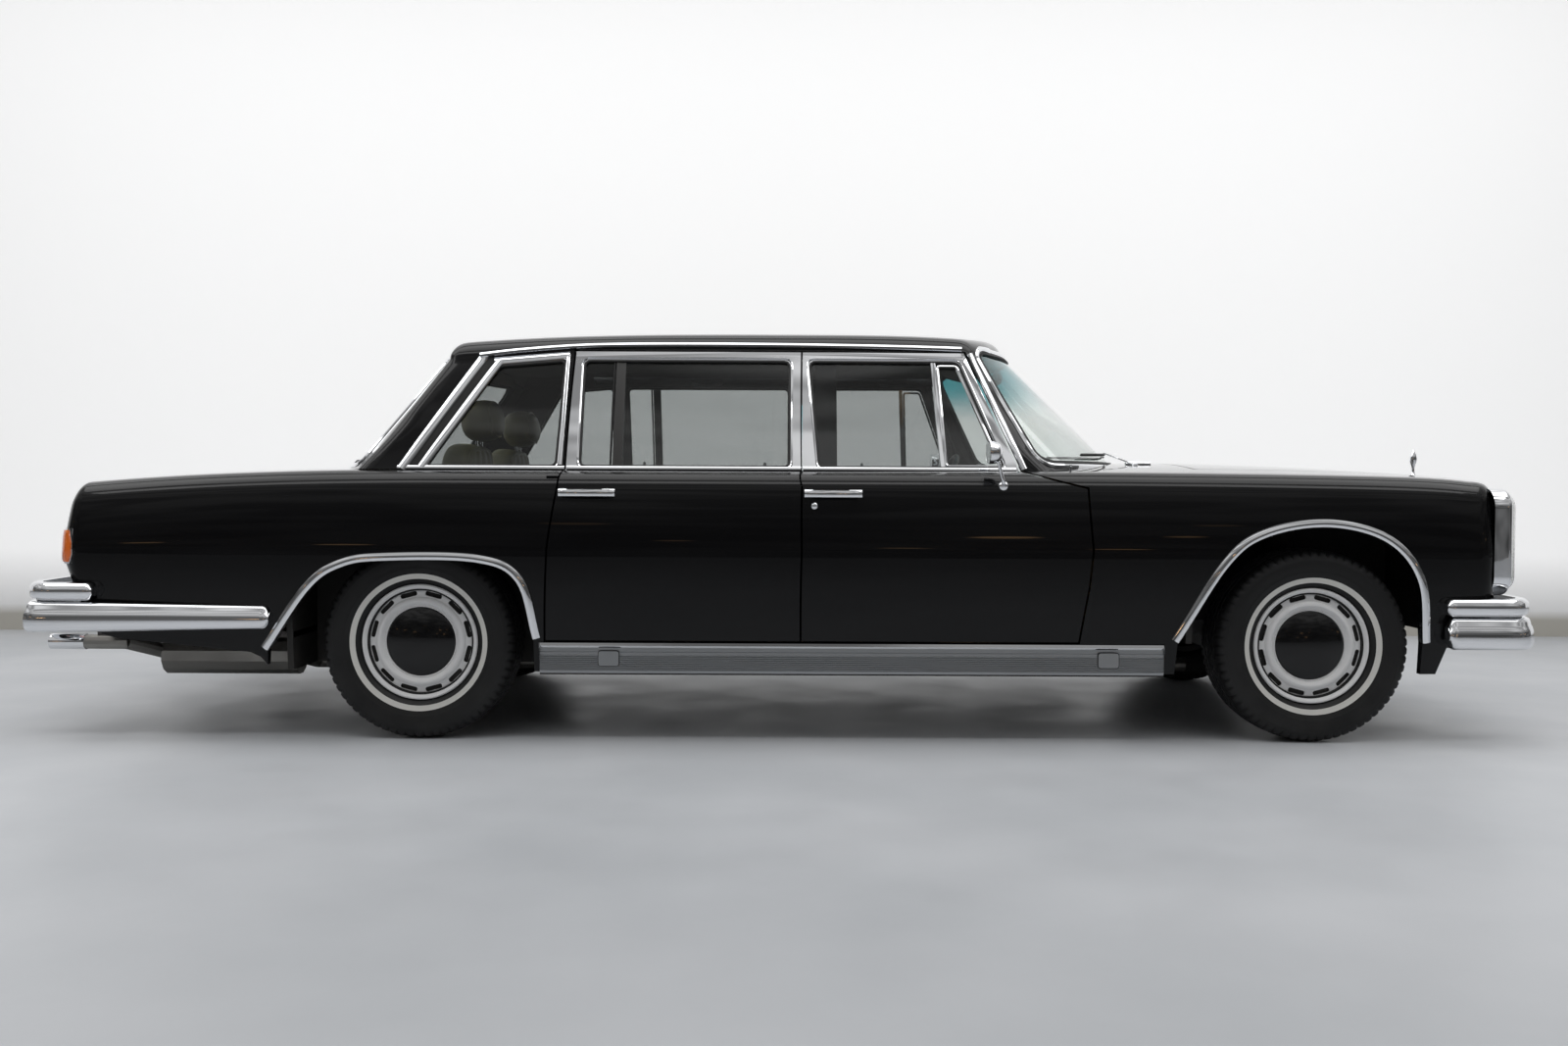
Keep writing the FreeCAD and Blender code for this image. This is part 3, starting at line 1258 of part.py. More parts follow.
rear_seat_half = s.rear_house_inner_y - s.panel - s.fit
cushion, back = seat_pair(0, rear_seat_half, s.rear_seat_front_x, s.rear_seat_rear_x, s.axle_floor_z + s.panel,
                          s.rear_cushion_top, s.rear_back_rear_x, s.rear_back_top, s.rear_back_thick)
bench = cushion.fuse(back)
rests = []
for y in (-s.seat_y, s.seat_y):
    rests.append(box(s.rear_back_rear_x + s.panel / 2, s.rear_back_rear_x + s.panel / 2 + s.headrest_thick,
                     y - s.headrest_half, y + s.headrest_half, s.rear_back_top,
                     s.rear_back_top + s.headrest_height))
keep("seat_rear", bench.fuse(rests).removeSplitter())

# Dashboard and steering

dash = side_extrusion([(s.dash_front_x, s.dash_low), (s.dash_rear_x + s.panel * 3, s.dash_low),
                       (s.dash_rear_x, s.dash_low + s.panel * 4), (s.dash_rear_x + s.panel, s.dash_top),
                       (s.dash_front_x, s.dash_top)], s.dash_half)
firewall_reach = box(s.dash_front_x, s.bulkhead_x - s.panel - s.fit, -s.dash_half * 0.6, s.dash_half * 0.6,
                     s.dash_low + s.panel, s.dash_low + s.panel * 4)
keep("dashboard", dash.fuse(firewall_reach).removeSplitter())

tilt = math.radians(s.wheel_tilt)
column_axis = V(math.cos(tilt), 0, -math.sin(tilt))
hub = V(s.wheel_x, s.wheel_y, s.wheel_z)
column_start = hub.add(V(column_axis).multiply(s.wheel_hub + s.fit))
column_end = hub.add(V(column_axis).multiply((s.dash_rear_x - s.wheel_x) / column_axis.x + s.panel * 2))
keep("steering_column", rod(column_start, column_end, s.column_radius).cut(kept[-1].Shape))
ring = faceted([(s.wheel_rim * math.cos(math.radians(60 * i + 30)),
                 s.wheel_ring + s.wheel_rim * math.sin(math.radians(60 * i + 30))) for i in range(6)], 20)
ring.rotate(V(0, 0, 0), V(0, 0, 1), -90)
ring.rotate(V(0, 0, 0), V(0, 1, 0), s.wheel_tilt)
ring.translate(hub)
boss = rod(hub, hub.add(V(column_axis).multiply(s.wheel_hub)), s.column_radius * 1.3)
spoke_half = s.wheel_rim * 1.6
spokes = Part.makeBox(spoke_half, s.wheel_ring * 2, s.wheel_rim, V(-spoke_half / 2, -s.wheel_ring, 0))
spokes.rotate(V(0, 0, 0), V(0, 1, 0), 90 + s.wheel_tilt)
spokes.translate(hub)
keep("steering_wheel", ring.fuse([boss, spokes]).removeSplitter())

# Mirrors and sill trims

mirror = rounded_box(s.mirror_x - s.mirror_depth / 2, s.mirror_x + s.mirror_depth / 2, -s.mirror_outer_y,
                     -s.mirror_inner_y, s.mirror_low + s.panel, s.mirror_high, s.panel)
base_x = s.mirror_x
pedestal = region(base_x - s.panel, base_x + s.panel, s.mirror_inner_y, s.mirror_inner_y + s.panel * 2,
                  s.crest_height - s.shoulder_height - s.panel, s.mirror_low + s.panel * 2)
arm_and_head = mirror.fuse(pedestal).cut(kept[0].Shape).Solids
arm_and_head = sorted(arm_and_head, key=lambda x: -x.Volume)[0]
keep("door_mirror_right", arm_and_head)
keep("door_mirror_left", mirrored(arm_and_head))

trim = region(s.trim_rear_x, s.trim_front_x, s.sill_outer_y, s.sill_outer_y + s.trim_thick, s.trim_low,
              s.sill_top_z - s.fit)
ribs = []
rib_pitch = s.trim_thick * 1.2
z = s.trim_low + s.panel
while z < s.sill_top_z - s.panel * 1.5:
    ribs.append(region(s.trim_rear_x, s.trim_front_x, s.sill_outer_y + s.trim_thick * 0.9,
                       s.sill_outer_y + s.trim_thick * 1.3, z, z + rib_pitch / 2))
    z += rib_pitch
for x in (s.jack_front_x, s.jack_rear_x):
    ribs.append(region(x - s.jack_cover / 2, x + s.jack_cover / 2, s.sill_outer_y + s.trim_thick * 0.9,
                       s.sill_outer_y + s.trim_thick * 1.5, s.trim_low + s.panel, s.sill_top_z - s.panel * 1.5))
trim = trim.fuse(ribs).removeSplitter()
keep("sill_trim_right", trim)
keep("sill_trim_left", mirrored(trim))

# Wheels: profiles turned about the axle in flats. Each point is read from the sheet


RIM = [("sizes.fit", "sizes.disc_hub_radius"),
       ("sizes.disc_y", "sizes.cap_ring_radius"),
       ("sizes.well_half - sizes.rim_lip", "sizes.rim_well_radius - sizes.rim_wall"),
       ("-sizes.well_half", "sizes.rim_well_radius - sizes.rim_wall"),
       ("-sizes.rim_width / 2", "sizes.bead_radius - sizes.rim_wall"),
       ("-sizes.rim_width / 2", "sizes.rim_radius"),
       ("-sizes.rim_width / 2 + sizes.rim_lip", "sizes.rim_radius"),
       ("-sizes.rim_width / 2 + sizes.rim_lip", "sizes.bead_radius - sizes.fit"),
       ("-sizes.well_half", "sizes.rim_well_radius"),
       ("sizes.well_half - sizes.rim_lip", "sizes.rim_well_radius"),
       ("sizes.rim_width / 2 - sizes.rim_lip", "sizes.bead_radius - sizes.fit"),
       ("sizes.rim_width / 2 - sizes.rim_lip", "sizes.rim_radius"),
       ("sizes.rim_width / 2", "sizes.rim_radius"),
       ("sizes.trim_y", "sizes.slot_ring_outer + sizes.rim_wall"),
       ("sizes.slot_ring_y", "sizes.slot_ring_outer"),
       ("sizes.cap_ring_y", "sizes.cap_ring_radius"),
       ("sizes.cap_ring_y", "sizes.cap_radius"),
       ("sizes.cap_top_y - sizes.rim_lip / 3", "sizes.cap_radius / 2")]
TYRE = [("-sizes.rim_width / 2 + sizes.rim_lip + sizes.fit", "sizes.bead_radius"),
        ("-sizes.rim_width / 2 + sizes.rim_lip + sizes.fit", "sizes.rim_radius + sizes.rim_lip / 2"),
        ("-sizes.tyre_width / 2", "sizes.sidewall_radius"),
        ("-sizes.tyre_width / 2 + sizes.rim_lip", "sizes.shoulder_radius"),
        ("-sizes.tread_half", "sizes.tyre_radius - sizes.rim_lip / 3"),
        ("-sizes.tread_half / 2", "sizes.tyre_radius"),
        ("sizes.tread_half / 2", "sizes.tyre_radius"),
        ("sizes.tread_half", "sizes.tyre_radius - sizes.rim_lip / 3"),
        ("sizes.tyre_width / 2 - sizes.rim_lip", "sizes.shoulder_radius"),
        ("sizes.tyre_width / 2", "sizes.sidewall_radius"),
        ("sizes.rim_width / 2 - sizes.rim_lip - sizes.fit", "sizes.rim_radius + sizes.rim_lip / 2"),
        ("sizes.rim_width / 2 - sizes.rim_lip - sizes.fit", "sizes.bead_radius")]


def read(points):
    """The values of a profile's expressions."""
    return [tuple(float(sheet.evalExpression(e.replace("sizes.", ""))) for e in pair) for pair in points]


WHEEL_SIDES = 24
slot_block = box(-s.slot_length / 2, s.slot_length / 2, s.slot_ring_y - s.slot_depth, s.trim_y + s.slot_depth,
                 s.slot_radius - s.slot_width / 2, s.slot_radius + s.slot_width / 2)
slot_count = int(s.slot_count)
slots = []
for i in range(slot_count):
    slot = slot_block.copy()
    slot.rotate(V(0, 0, 0), V(0, 1, 0), 360 * i / slot_count + 180 / WHEEL_SIDES)
    slots.append(slot)
rim_shape = faceted(read(RIM), WHEEL_SIDES, ends=(s.fit, s.cap_top_y)).cut(slots)
tyre_shape = faceted(read(TYRE), WHEEL_SIDES)
for end, x in (("front", s.front_axle_x), ("rear", s.rear_axle_x)):
    for side, sign, turn in (("right", -1, 180), ("left", 1, 0)):
        where = FreeCAD.Placement(V(x, sign * s.track_half, s.tyre_radius), FreeCAD.Rotation(V(0, 0, 1), turn))
        for name, shape in (("rim", rim_shape), ("tyre", tyre_shape)):
            piece = keep(name + "_" + end + "_" + side, shape)
            piece.Placement = where

# Knuckles

pin = bound("Cylinder", "kingpin", {
    "Radius": "sizes.kingpin_radius", "Height": "sizes.kingpin_high + sizes.arm_thick - sizes.kingpin_low",
    "Placement.Base.x": "sizes.front_axle_x", "Placement.Base.y": "0 - sizes.kingpin_y",
    "Placement.Base.z": "sizes.kingpin_low"})
stub = round_bar("hub_stub", "sizes.hub_radius", "sizes.hub_face_y - sizes.kingpin_y",
                 ("sizes.front_axle_x", "0 - sizes.hub_face_y", "sizes.tyre_radius"), V(0, 1, 0))
brake = round_bar("brake_disc", "sizes.disc_brake_radius", "sizes.panel",
                  ("sizes.front_axle_x", "0 - sizes.kingpin_y - 2 * sizes.panel", "sizes.tyre_radius"), V(0, 1, 0))
keep_mirrored("knuckle_left", keep_fused("knuckle_right", [pin, stub, brake]))

# Checks, then one file for each sub-part

document.recompute()
for item in document.Objects:
    if "Invalid" in item.State or "Error" in item.State:
        raise SystemExit("failed: " + item.Label)
os.makedirs("parts", exist_ok=True)
for piece in kept:
    shape = piece.Shape
    if shape.isNull() or not shape.isValid() or not shape.Solids:
        raise SystemExit("bad shape: " + piece.Label)
    if shape.ShapeType == "Compound" and len(shape.Solids) == 1:
        shape = shape.Solids[0]
    shape.exportStep("parts/" + piece.Label + ".step")
print(len(kept), "sub-parts")
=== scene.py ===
# %% [markdown]
# A classic four-door limousine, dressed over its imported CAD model. The CAD model holds the joints, the
# sizes and the hidden machinery. This script adds what the eye wants: smooth black panels, chrome, glass,
# leather and wood, each riding on the CAD body that carries it.

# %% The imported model
import json
import math
import bpy
import bmesh
import numpy as np
from mathutils import Matrix, Vector
from mathutils.bvhtree import BVHTree

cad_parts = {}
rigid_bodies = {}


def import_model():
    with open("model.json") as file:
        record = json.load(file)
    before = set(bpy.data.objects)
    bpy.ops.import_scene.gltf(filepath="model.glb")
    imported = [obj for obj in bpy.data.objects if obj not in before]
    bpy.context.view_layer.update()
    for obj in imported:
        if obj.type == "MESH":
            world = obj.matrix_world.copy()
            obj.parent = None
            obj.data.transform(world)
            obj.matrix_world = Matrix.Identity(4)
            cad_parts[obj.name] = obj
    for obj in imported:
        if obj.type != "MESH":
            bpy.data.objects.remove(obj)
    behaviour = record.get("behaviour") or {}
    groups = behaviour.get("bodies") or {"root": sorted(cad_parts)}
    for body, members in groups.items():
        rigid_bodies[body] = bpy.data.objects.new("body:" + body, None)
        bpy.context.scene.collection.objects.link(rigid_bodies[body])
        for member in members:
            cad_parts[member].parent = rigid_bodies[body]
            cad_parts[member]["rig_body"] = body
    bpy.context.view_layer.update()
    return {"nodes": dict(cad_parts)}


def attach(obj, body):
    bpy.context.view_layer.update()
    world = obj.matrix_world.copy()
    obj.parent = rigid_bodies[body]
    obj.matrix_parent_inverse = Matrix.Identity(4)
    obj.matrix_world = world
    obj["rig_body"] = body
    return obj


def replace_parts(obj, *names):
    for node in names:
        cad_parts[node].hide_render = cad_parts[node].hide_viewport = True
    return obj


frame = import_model()

# %% [markdown]
# The photograph is a side view from standing chest height, about five metres off, with a slight downward
# tilt. Pixel measurements of the wheels and the sill gave the place of the camera, and a small roll.

# %% Camera
TILT, ROLL = 1.53, 0.26
camera = bpy.data.objects.new("camera", bpy.data.cameras.new("camera"))
bpy.context.scene.collection.objects.link(camera)
bpy.context.scene.camera = camera
camera.data.lens = 32
camera.data.sensor_width = 36
camera.location = (0.015, -5.868, 0.913)
camera.rotation_euler = (Matrix.Rotation(math.radians(90 - TILT), 3, "X")
                         @ Matrix.Rotation(math.radians(ROLL), 3, "Z")).to_euler()
bpy.context.scene.view_settings.view_transform = "Standard"

# %% [markdown]
# Nearly every shape here starts as a line of points. These helpers read a line at chosen distances, ease its
# corners, draw a smooth curve through a few points, and round or grow a flat outline.

# %% Lines and outlines
def unit(vectors):
    return vectors / np.linalg.norm(vectors, axis=-1, keepdims=True)


def lengths(line):
    """The distance run along a line at each of its points."""
    return np.concatenate([[0], np.cumsum(np.linalg.norm(np.diff(line, axis=0), axis=1))])


def read_at(line, marks):
    """The points of a line at given distances along it."""
    length = lengths(line)
    return np.stack([np.interp(marks, length, line[:, i]) for i in range(line.shape[1])], 1)


def even(line, count):
    return read_at(line, np.linspace(0, lengths(line)[-1], count))


def softened(line, taps):
    """The line with its corners eased by a short running average. Its ends stay as they are."""
    kernel = np.exp(-np.linspace(-2, 2, taps) ** 2)
    out, edge = line.copy(), taps // 2
    for i in (0, 1):
        out[edge:-edge, i] = np.convolve(line[:, i], kernel / kernel.sum(), "valid")
    return out


def smooth_line(points, count):
    """A curve through points, read at even steps of its length."""
    points = np.array(points, float)
    padded = np.vstack([2 * points[0] - points[1], points, 2 * points[-1] - points[-2]])
    out = []
    for i in range(1, len(padded) - 2):
        a, b, c, d = padded[i - 1:i + 3]
        for t in np.linspace(0, 1, 40, endpoint=False):
            out.append(0.5 * (2 * b + (c - a) * t + (2 * a - 5 * b + 4 * c - d) * t ** 2
                              + (3 * b - a - 3 * c + d) * t ** 3))
    return even(np.array(out + [points[-1]]), count)


def corner(points, i):
    """A corner of a closed outline with its two neighbours."""
    return [np.array(p, float) for p in (points[i - 1], points[i], points[(i + 1) % len(points)])]


def grown(points, by):
    """A flat outline moved outwards by an even distance."""
    if not by:
        return points
    area = sum(a[0] * b[1] - b[0] * a[1] for a, b in zip(points, points[1:] + points[:1]))
    out = []
    for i in range(len(points)):
        a, p, b = corner(points, i)
        u, v = unit(p - a), unit(b - p)
        first = np.array([u[1], -u[0]])
        normal = unit(first + np.array([v[1], -v[0]]))
        out.append(tuple(p + normal * by / max(0.35, normal @ first) * (1 if area > 0 else -1)))
    return out


def rounded(points, radius, steps=6):
    """A flat outline with round corners."""
    out = []
    for i in range(len(points)):
        a, p, b = corner(points, i)
        for t in np.linspace(0, 1, steps + 1):
            out.append(tuple(p + unit(a - p) * radius * (1 - t) ** 2 + unit(b - p) * radius * t ** 2))
    return out


def box_outline(x0, x1, y0, y1):
    return [(x0, y0), (x1, y0), (x1, y1), (x0, y1)]


def circle(radius, count):
    return [(radius * math.cos(a), radius * math.sin(a)) for a in np.linspace(0, 2 * math.pi, count, endpoint=False)]


# %% [markdown]
# The body is one smooth skin before it is cut into panels. Its shape comes from a few curves that run along
# the car: how wide it is, how high the wing's edge runs, and how the deck falls. At each place along the car
# they give the corner points of a section, and gentle arcs join those.

# %% Curves along the body
HALF_WIDTH, CREASE, BELT, FOOT = 0.975, 0.688, 0.967, 0.25
NOSE, TAIL = 2.6, -2.6
SHOULDER_IN, SHOULDER_DOWN, SHOULDER_TOP_IN = 0.030, 0.058, 0.105
FOOT_IN = 0.038
EDGE_X = [-2.6, -2.47, -2.371, -1.859, -1.80, 2.352, 2.354]
EDGE_Z = [0.41, 0.392, 0.360, 0.312, 0.25, 0.25, 0.345]


def past(x, end, start):
    """How far x lies between a share of the way to an end and that end."""
    return np.maximum(0, (x / end - start) / (1 - start))


def half_width(x):
    return HALF_WIDTH - np.where(x > 0, 0.058, 0.062) * (np.abs(x) / NOSE) ** 4


def crest(x):
    front = 0.018 * past(x, NOSE, 0.4) ** 2 + 0.033 * past(x, NOSE, 0.4) ** 14
    return BELT - np.where(x > 0, front, 0.060 * past(x, TAIL, 0.4) ** 2.5)


def deck(x):
    return np.where(x > 0, 1.012 - 0.048 * past(x, NOSE, 0.6) ** 1.8, 0.978 - 0.055 * past(x, TAIL, 0.6) ** 2.2)


# %% [markdown]
# One section is sampled finely along its arcs and then softened a little, so the crease and the shoulder
# have the small radius that pressed steel has. The samples are closest where the section bends most.

# %% A body section
LOW_POINTS, HIGH_POINTS = 130, 370
ARC_POINTS = (90, 50, 50)
PICKS = np.unique(np.concatenate([np.arange(0, 130, 8), np.arange(126, 150, 3), np.arange(150, 245, 4),
                                  np.arange(245, 500, 10), [499]]))


def arc(a, b, rise, count):
    """Points from a towards b on a shallow arc whose middle stands off by a share of the chord."""
    t = np.linspace(0, 1, count, endpoint=False)[:, None]
    chord = b - a
    middle = (a + b) / 2 + np.array([chord[1], -chord[0]]) * rise * 2
    return a * (1 - t) ** 2 + middle * 2 * t * (1 - t) + b * t ** 2


def body_half(x, inset=0.0):
    """The right half of a section, from the lower edge to the middle of the deck, as (half width, height)."""
    w, top = float(half_width(x)) - inset, float(crest(x)) - inset
    low = -0.1 if inset else float(np.interp(x, EDGE_X, EDGE_Z))
    foot = w - FOOT_IN * max(0, (CREASE - low) / (CREASE - FOOT)) ** 1.2
    corners = [np.array(p) for p in ((foot, low), (w, CREASE), (w - SHOULDER_IN, top - SHOULDER_DOWN),
                                     (w - SHOULDER_TOP_IN + inset, top))]
    points = [arc(*ends, rise, n) for *ends, rise, n in zip(corners, corners[1:], (0.022, 0.02, 0.13), ARC_POINTS)]
    y = np.linspace(corners[3][0], 0, 120)
    d = float(deck(x)) - inset
    points.append(np.stack([y, d - (d - top) * (y / corners[3][0]) ** 2], 1))
    line = np.concatenate(points)
    length = lengths(line)
    crease_mark = length[ARC_POINTS[0]]
    marks = np.concatenate([np.linspace(0, crease_mark, LOW_POINTS, endpoint=False),
                            np.linspace(crease_mark, length[-1], HIGH_POINTS)])
    soft = softened(read_at(line, marks), 9)
    soft[-4:, 1] = soft[-5, 1]
    return soft[PICKS]


# %% [markdown]
# Most pieces are made from rings of points joined by four-sided faces. These helpers make a mesh, put its
# faces the right way round, shade it, join rings, and push a flat outline into a block.

# %% Mesh helpers
def linked(name, data):
    piece = bpy.data.objects.new(name, data)
    bpy.context.scene.collection.objects.link(piece)
    return piece


def new_object(name, points, faces):
    mesh = bpy.data.meshes.new(name)
    mesh.from_pydata([tuple(map(float, p)) for p in points], [], faces)
    mesh.validate()
    return linked(name, mesh)


def outwards(piece, weld=False):
    """Turns all faces outwards. Points that meet are joined first, if that is asked for."""
    mesh = bmesh.new()
    mesh.from_mesh(piece.data)
    if weld:
        bmesh.ops.remove_doubles(mesh, verts=mesh.verts, dist=1e-6)
    bmesh.ops.recalc_face_normals(mesh, faces=mesh.faces)
    mesh.to_mesh(piece.data)
    mesh.free()
    return piece


def shade(piece, angle=40):
    """Smooth shading with sharp edges kept where faces meet at more than the angle."""
    for polygon in piece.data.polygons:
        polygon.use_smooth = True
    piece.data.set_sharp_from_angle(angle=math.radians(angle))
    return piece


def rings_object(name, rings, closed_ends=True):
    """Joins rings of equally many points. Closed ends are filled by a fan to the ring's middle."""
    n, last = len(rings[0]), len(rings) - 1
    points = [p for ring in rings for p in ring]
    faces = [(r * n + i, r * n + (i + 1) % n, (r + 1) * n + (i + 1) % n, (r + 1) * n + i)
             for r in range(last) for i in range(n)]
    if closed_ends:
        for r, order in ((0, -1), (last, 1)):
            faces += [(r * n + i, r * n + (i + 1) % n, len(points))[::order] for i in range(n)]
            points.append(np.mean([np.array(p, float) for p in rings[r]], axis=0))
    return outwards(new_object(name, points, faces))


def prism(points, along, name="cutter"):
    """A closed block: a flat outline pushed along a vector."""
    points, along, n = [np.array(p, float) for p in points], np.array(along, float), len(points)
    faces = [tuple(range(n)), tuple(range(2 * n - 1, n - 1, -1))]
    faces += [(i, (i + 1) % n, n + (i + 1) % n, n + i) for i in range(n)]
    return outwards(new_object(name, points + [p + along for p in points], faces))


def block(x0, x1, y0, y1, z0, z1, name="cutter"):
    return prism([(x, y, z0) for x, y in box_outline(x0, x1, y0, y1)], (0, 0, z1 - z0), name)


# %% [markdown]
# The ends of the body are closed by rounding the last section over, ring by ring, until it lies on the
# curved face of the nose or tail.

# %% The whole skin
SECTION_END = 2.49
TAIL_FACE = ([0.30, 0.392, 0.541, 0.638, 0.72, 0.825, 0.90, 0.96],
             [-2.42, -2.470, -2.561, -2.597, -2.596, -2.583, -2.57, -2.555])


def tail_face(y, z):
    return np.interp(z, *TAIL_FACE) + 0.022 * (y / 0.838) ** 2


def nose_face(y, z):
    return NOSE - 0.024 * (y / 0.838) ** 2


def whole_ring(x, inset):
    half = body_half(x, inset)
    right = np.stack([np.full(len(half), x), -half[:, 0], half[:, 1]], 1)
    return np.concatenate([right, right[::-1][1:] * (1, -1, 1)])


def end_rings(ring, face, run_y, run_z, inset):
    """Rings that round a section over onto an end face."""
    x0 = ring[0][0]
    centre = np.array([0, (ring[:, 2].min() + ring[:, 2].max()) / 2])
    half = np.array([np.abs(ring[:, 1]).max(), np.ptp(ring[:, 2]) / 2])
    out = []
    for turn, inner in [(k / 8, 1) for k in range(1, 9)] + [(1, 0.9), (1, 0.7), (1, 0.45), (1, 0.2)]:
        angle = turn * math.pi / 2
        shrink = (1 - np.array([run_y, run_z]) * (1 - math.cos(angle)) / half) * inner
        yz = centre + (ring[:, 1:] - centre) * shrink
        end = face(yz[:, 0], yz[:, 1]) - np.sign(x0) * inset
        out.append(np.column_stack([x0 + (end - x0) * math.sin(angle), yz]))
    return out


def body_skin(name, inset=0.0):
    stations = [whole_ring(x, inset) for x in np.linspace(-SECTION_END + inset, SECTION_END - inset, 140)]
    tail = end_rings(stations[0], tail_face, 0.085, 0.075, inset)
    nose = end_rings(stations[-1], nose_face, 0.090, 0.022, inset)
    return rings_object(name, tail[::-1] + stations + nose)


BODY = body_skin("body_skin")
BODY_24 = body_skin("body_inside_lids", 0.024)
BODY_40 = body_skin("body_inside", 0.040)
print("body skin points:", len(BODY.data.vertices))

# %% [markdown]
# The greenhouse is built the other way, level by level from the belt up: two curved windows, two leaning
# sides and rounded corners between them. The roof then closes over it in rings.

# %% The greenhouse
LEAN = (0.865 - 0.705) / (1.413 - BELT)
ROOF_FALL, ROOF_HALF, PEAK_X = 0.040, 0.62, 0.078
LEVEL_STEP, FINE = 0.02, 700
# For the windscreen (1) and the backlight (-1): heights, then the middle, the corner and the half width.
WINDOW_LINES = {
    1: (([0.8, 1.040, 1.451, 1.55], [1.5811, 1.330, 0.900, 0.7964]),
        ([0.8, 0.983, 1.418, 1.55], [0.9781, 0.899, 0.711, 0.654]),
        ([0.8, 0.983, 1.418, 1.55], [0.9157, 0.840, 0.660, 0.6054])),
    -1: (([0.8, 0.976, 1.420, 1.55], [-1.9074, -1.735, -1.300, -1.1726]),
         ([0.8, 0.966, 1.344, 1.55], [-1.6506, -1.532, -1.262, -1.1149]),
         ([0.8, 0.966, 1.344, 1.55], [0.8615, 0.800, 0.660, 0.5837]))}


def crown(x):
    ahead = x > PEAK_X
    return 1.520 - np.where(ahead, 0.035, 0.045) * (np.abs(x - PEAK_X) / np.where(ahead, 0.822, 1.378)) ** 3


def window_arc(z, sign, inset):
    """Middle point and radius of the windscreen (sign 1) or backlight (sign -1) at a height."""
    middle, side, half = (np.interp(z, *line) for line in WINDOW_LINES[sign])
    depth = abs(middle - side)
    return middle - sign * inset, (half ** 2 + depth ** 2) / (2 * depth) - inset


def side_at(x, z, inset):
    """Half width of the greenhouse's side."""
    narrow = 0.026 * max(0, x / 0.899) ** 2
    bulge = 0.009 * (1 - ((z - 1.14) / 0.28) ** 2)
    return 0.865 - narrow - LEAN * (z - BELT) + max(-0.02, bulge) - inset


def level(z, inset, count=150):
    """The outline of the greenhouse at one height, starting at the front and going round by the right."""
    corners, half = [], []
    for sign in (1, -1):
        middle, radius = window_arc(z, sign, inset)
        y = np.linspace(0, 0.8, 300)
        x = middle - sign * (radius - np.sqrt(np.maximum(radius ** 2 - y ** 2, 0)))
        meet = int(np.argmax(y > np.array([side_at(v, z, inset) for v in x]))) or 299
        half.append(np.stack([x, -y], 1)[:meet][::sign])
        corners.append(x[meet - 1])
    xs = np.linspace(*corners, 120)[1:-1]
    side = np.stack([xs, [-side_at(v, z, inset) for v in xs]], 1)
    soft = softened(even(np.concatenate([half[0], side, half[1]]), FINE), 11)
    soft = soft[np.linspace(0, FINE - 1, count).round().astype(int)]
    soft[0, 1] = soft[-1, 1] = 0
    return np.concatenate([soft, soft[::-1][1:-1] * (1, -1)])


LEVELS = {}


def level_point(i, z, inset):
    """One point of the outline at any height, read between stored levels."""
    k = math.floor(z / LEVEL_STEP)
    for n in (k, k + 1):
        if (n, inset) not in LEVELS:
            LEVELS[(n, inset)] = level(n * LEVEL_STEP, inset)
    t = z / LEVEL_STEP - k
    return LEVELS[(k, inset)][i] * (1 - t) + LEVELS[(k + 1, inset)][i] * t


def cabin_skin(name, inset=0.0):
    low = 0.862
    nominal = level(1.38, inset)
    sideness = np.clip((np.abs(nominal[:, 1]) - 0.45) / 0.2, 0, 1)
    sideness = sideness * sideness * (3 - 2 * sideness)
    drop = 0.035 + 0.032 * sideness - inset * 0.3
    run = 0.050 + 0.040 * sideness
    inner = nominal * (1 - run / np.maximum(np.abs(nominal[:, 0]) + np.abs(nominal[:, 1]), 0.5))[:, None]
    rise = ROOF_FALL * (1 - (inner[:, 1] / ROOF_HALF) ** 2)
    rail = crown(inner[:, 0]) - ROOF_FALL + rise - inset - drop

    def roof_height(xy):
        return crown(xy[:, 0]) - ROOF_FALL * (np.abs(xy[:, 1]) / ROOF_HALF) ** 2 - inset

    rings = []
    for v in np.linspace(0, 1, 26):
        z = low + v * (rail - low)
        rings.append(np.column_stack([np.array([level_point(i, zi, inset) for i, zi in enumerate(z)]), z]))
    top, top_z = rings[-1][:, :2], rings[-1][:, 2]
    inwards = top * (-1 / np.maximum(np.hypot(top[:, 0] * 0.35, top[:, 1]), 0.3))[:, None] * np.array([0.35, 1])
    for k in range(1, 8):
        a = k / 7 * math.pi / 2
        xy = top + inwards * (run * (1 - math.cos(a)))[:, None]
        rings.append(np.column_stack([xy, top_z + (roof_height(xy) - top_z) * math.sin(a)]))
    edge, centre = rings[-1][:, :2], np.array([-0.15, 0])
    for k in (0.94, 0.86, 0.76, 0.64, 0.5, 0.36, 0.22, 0.1):
        xy = centre + (edge - centre) * k
        rings.append(np.column_stack([xy, roof_height(xy)]))
    return rings_object(name, rings)


CABIN = cabin_skin("cabin_skin")
CABIN_IN = cabin_skin("cabin_inside", 0.032)
PANE_OUT = cabin_skin("pane_outside", 0.010)
PANE_IN = cabin_skin("pane_inside", 0.015)
print("greenhouse points:", len(CABIN.data.vertices))

# %% [markdown]
# Panels are cut from the skins, as a body shop would cut them from one stamping. Blender's Manifold solver
# does this fast and cleanly on closed meshes. Afterwards each corner of a panel takes its shading direction
# from the uncut skin, so reflections run from panel to panel without a break.

# %% Cutting helpers
ON_SKIN, LIKE_SKIN = 0.0008, 0.8
SIDES = (("right", -1), ("left", 1))


def combined(name, first, operation, *others):
    """A new object: the first one, with the others joined to it, cut from it or kept in common with it."""
    piece = linked(name, first.data.copy())
    for other in others:
        step = piece.modifiers.new("cut", "BOOLEAN")
        step.operation = operation
        step.solver = "MANIFOLD"
        step.object = other
    return applied(piece, name)


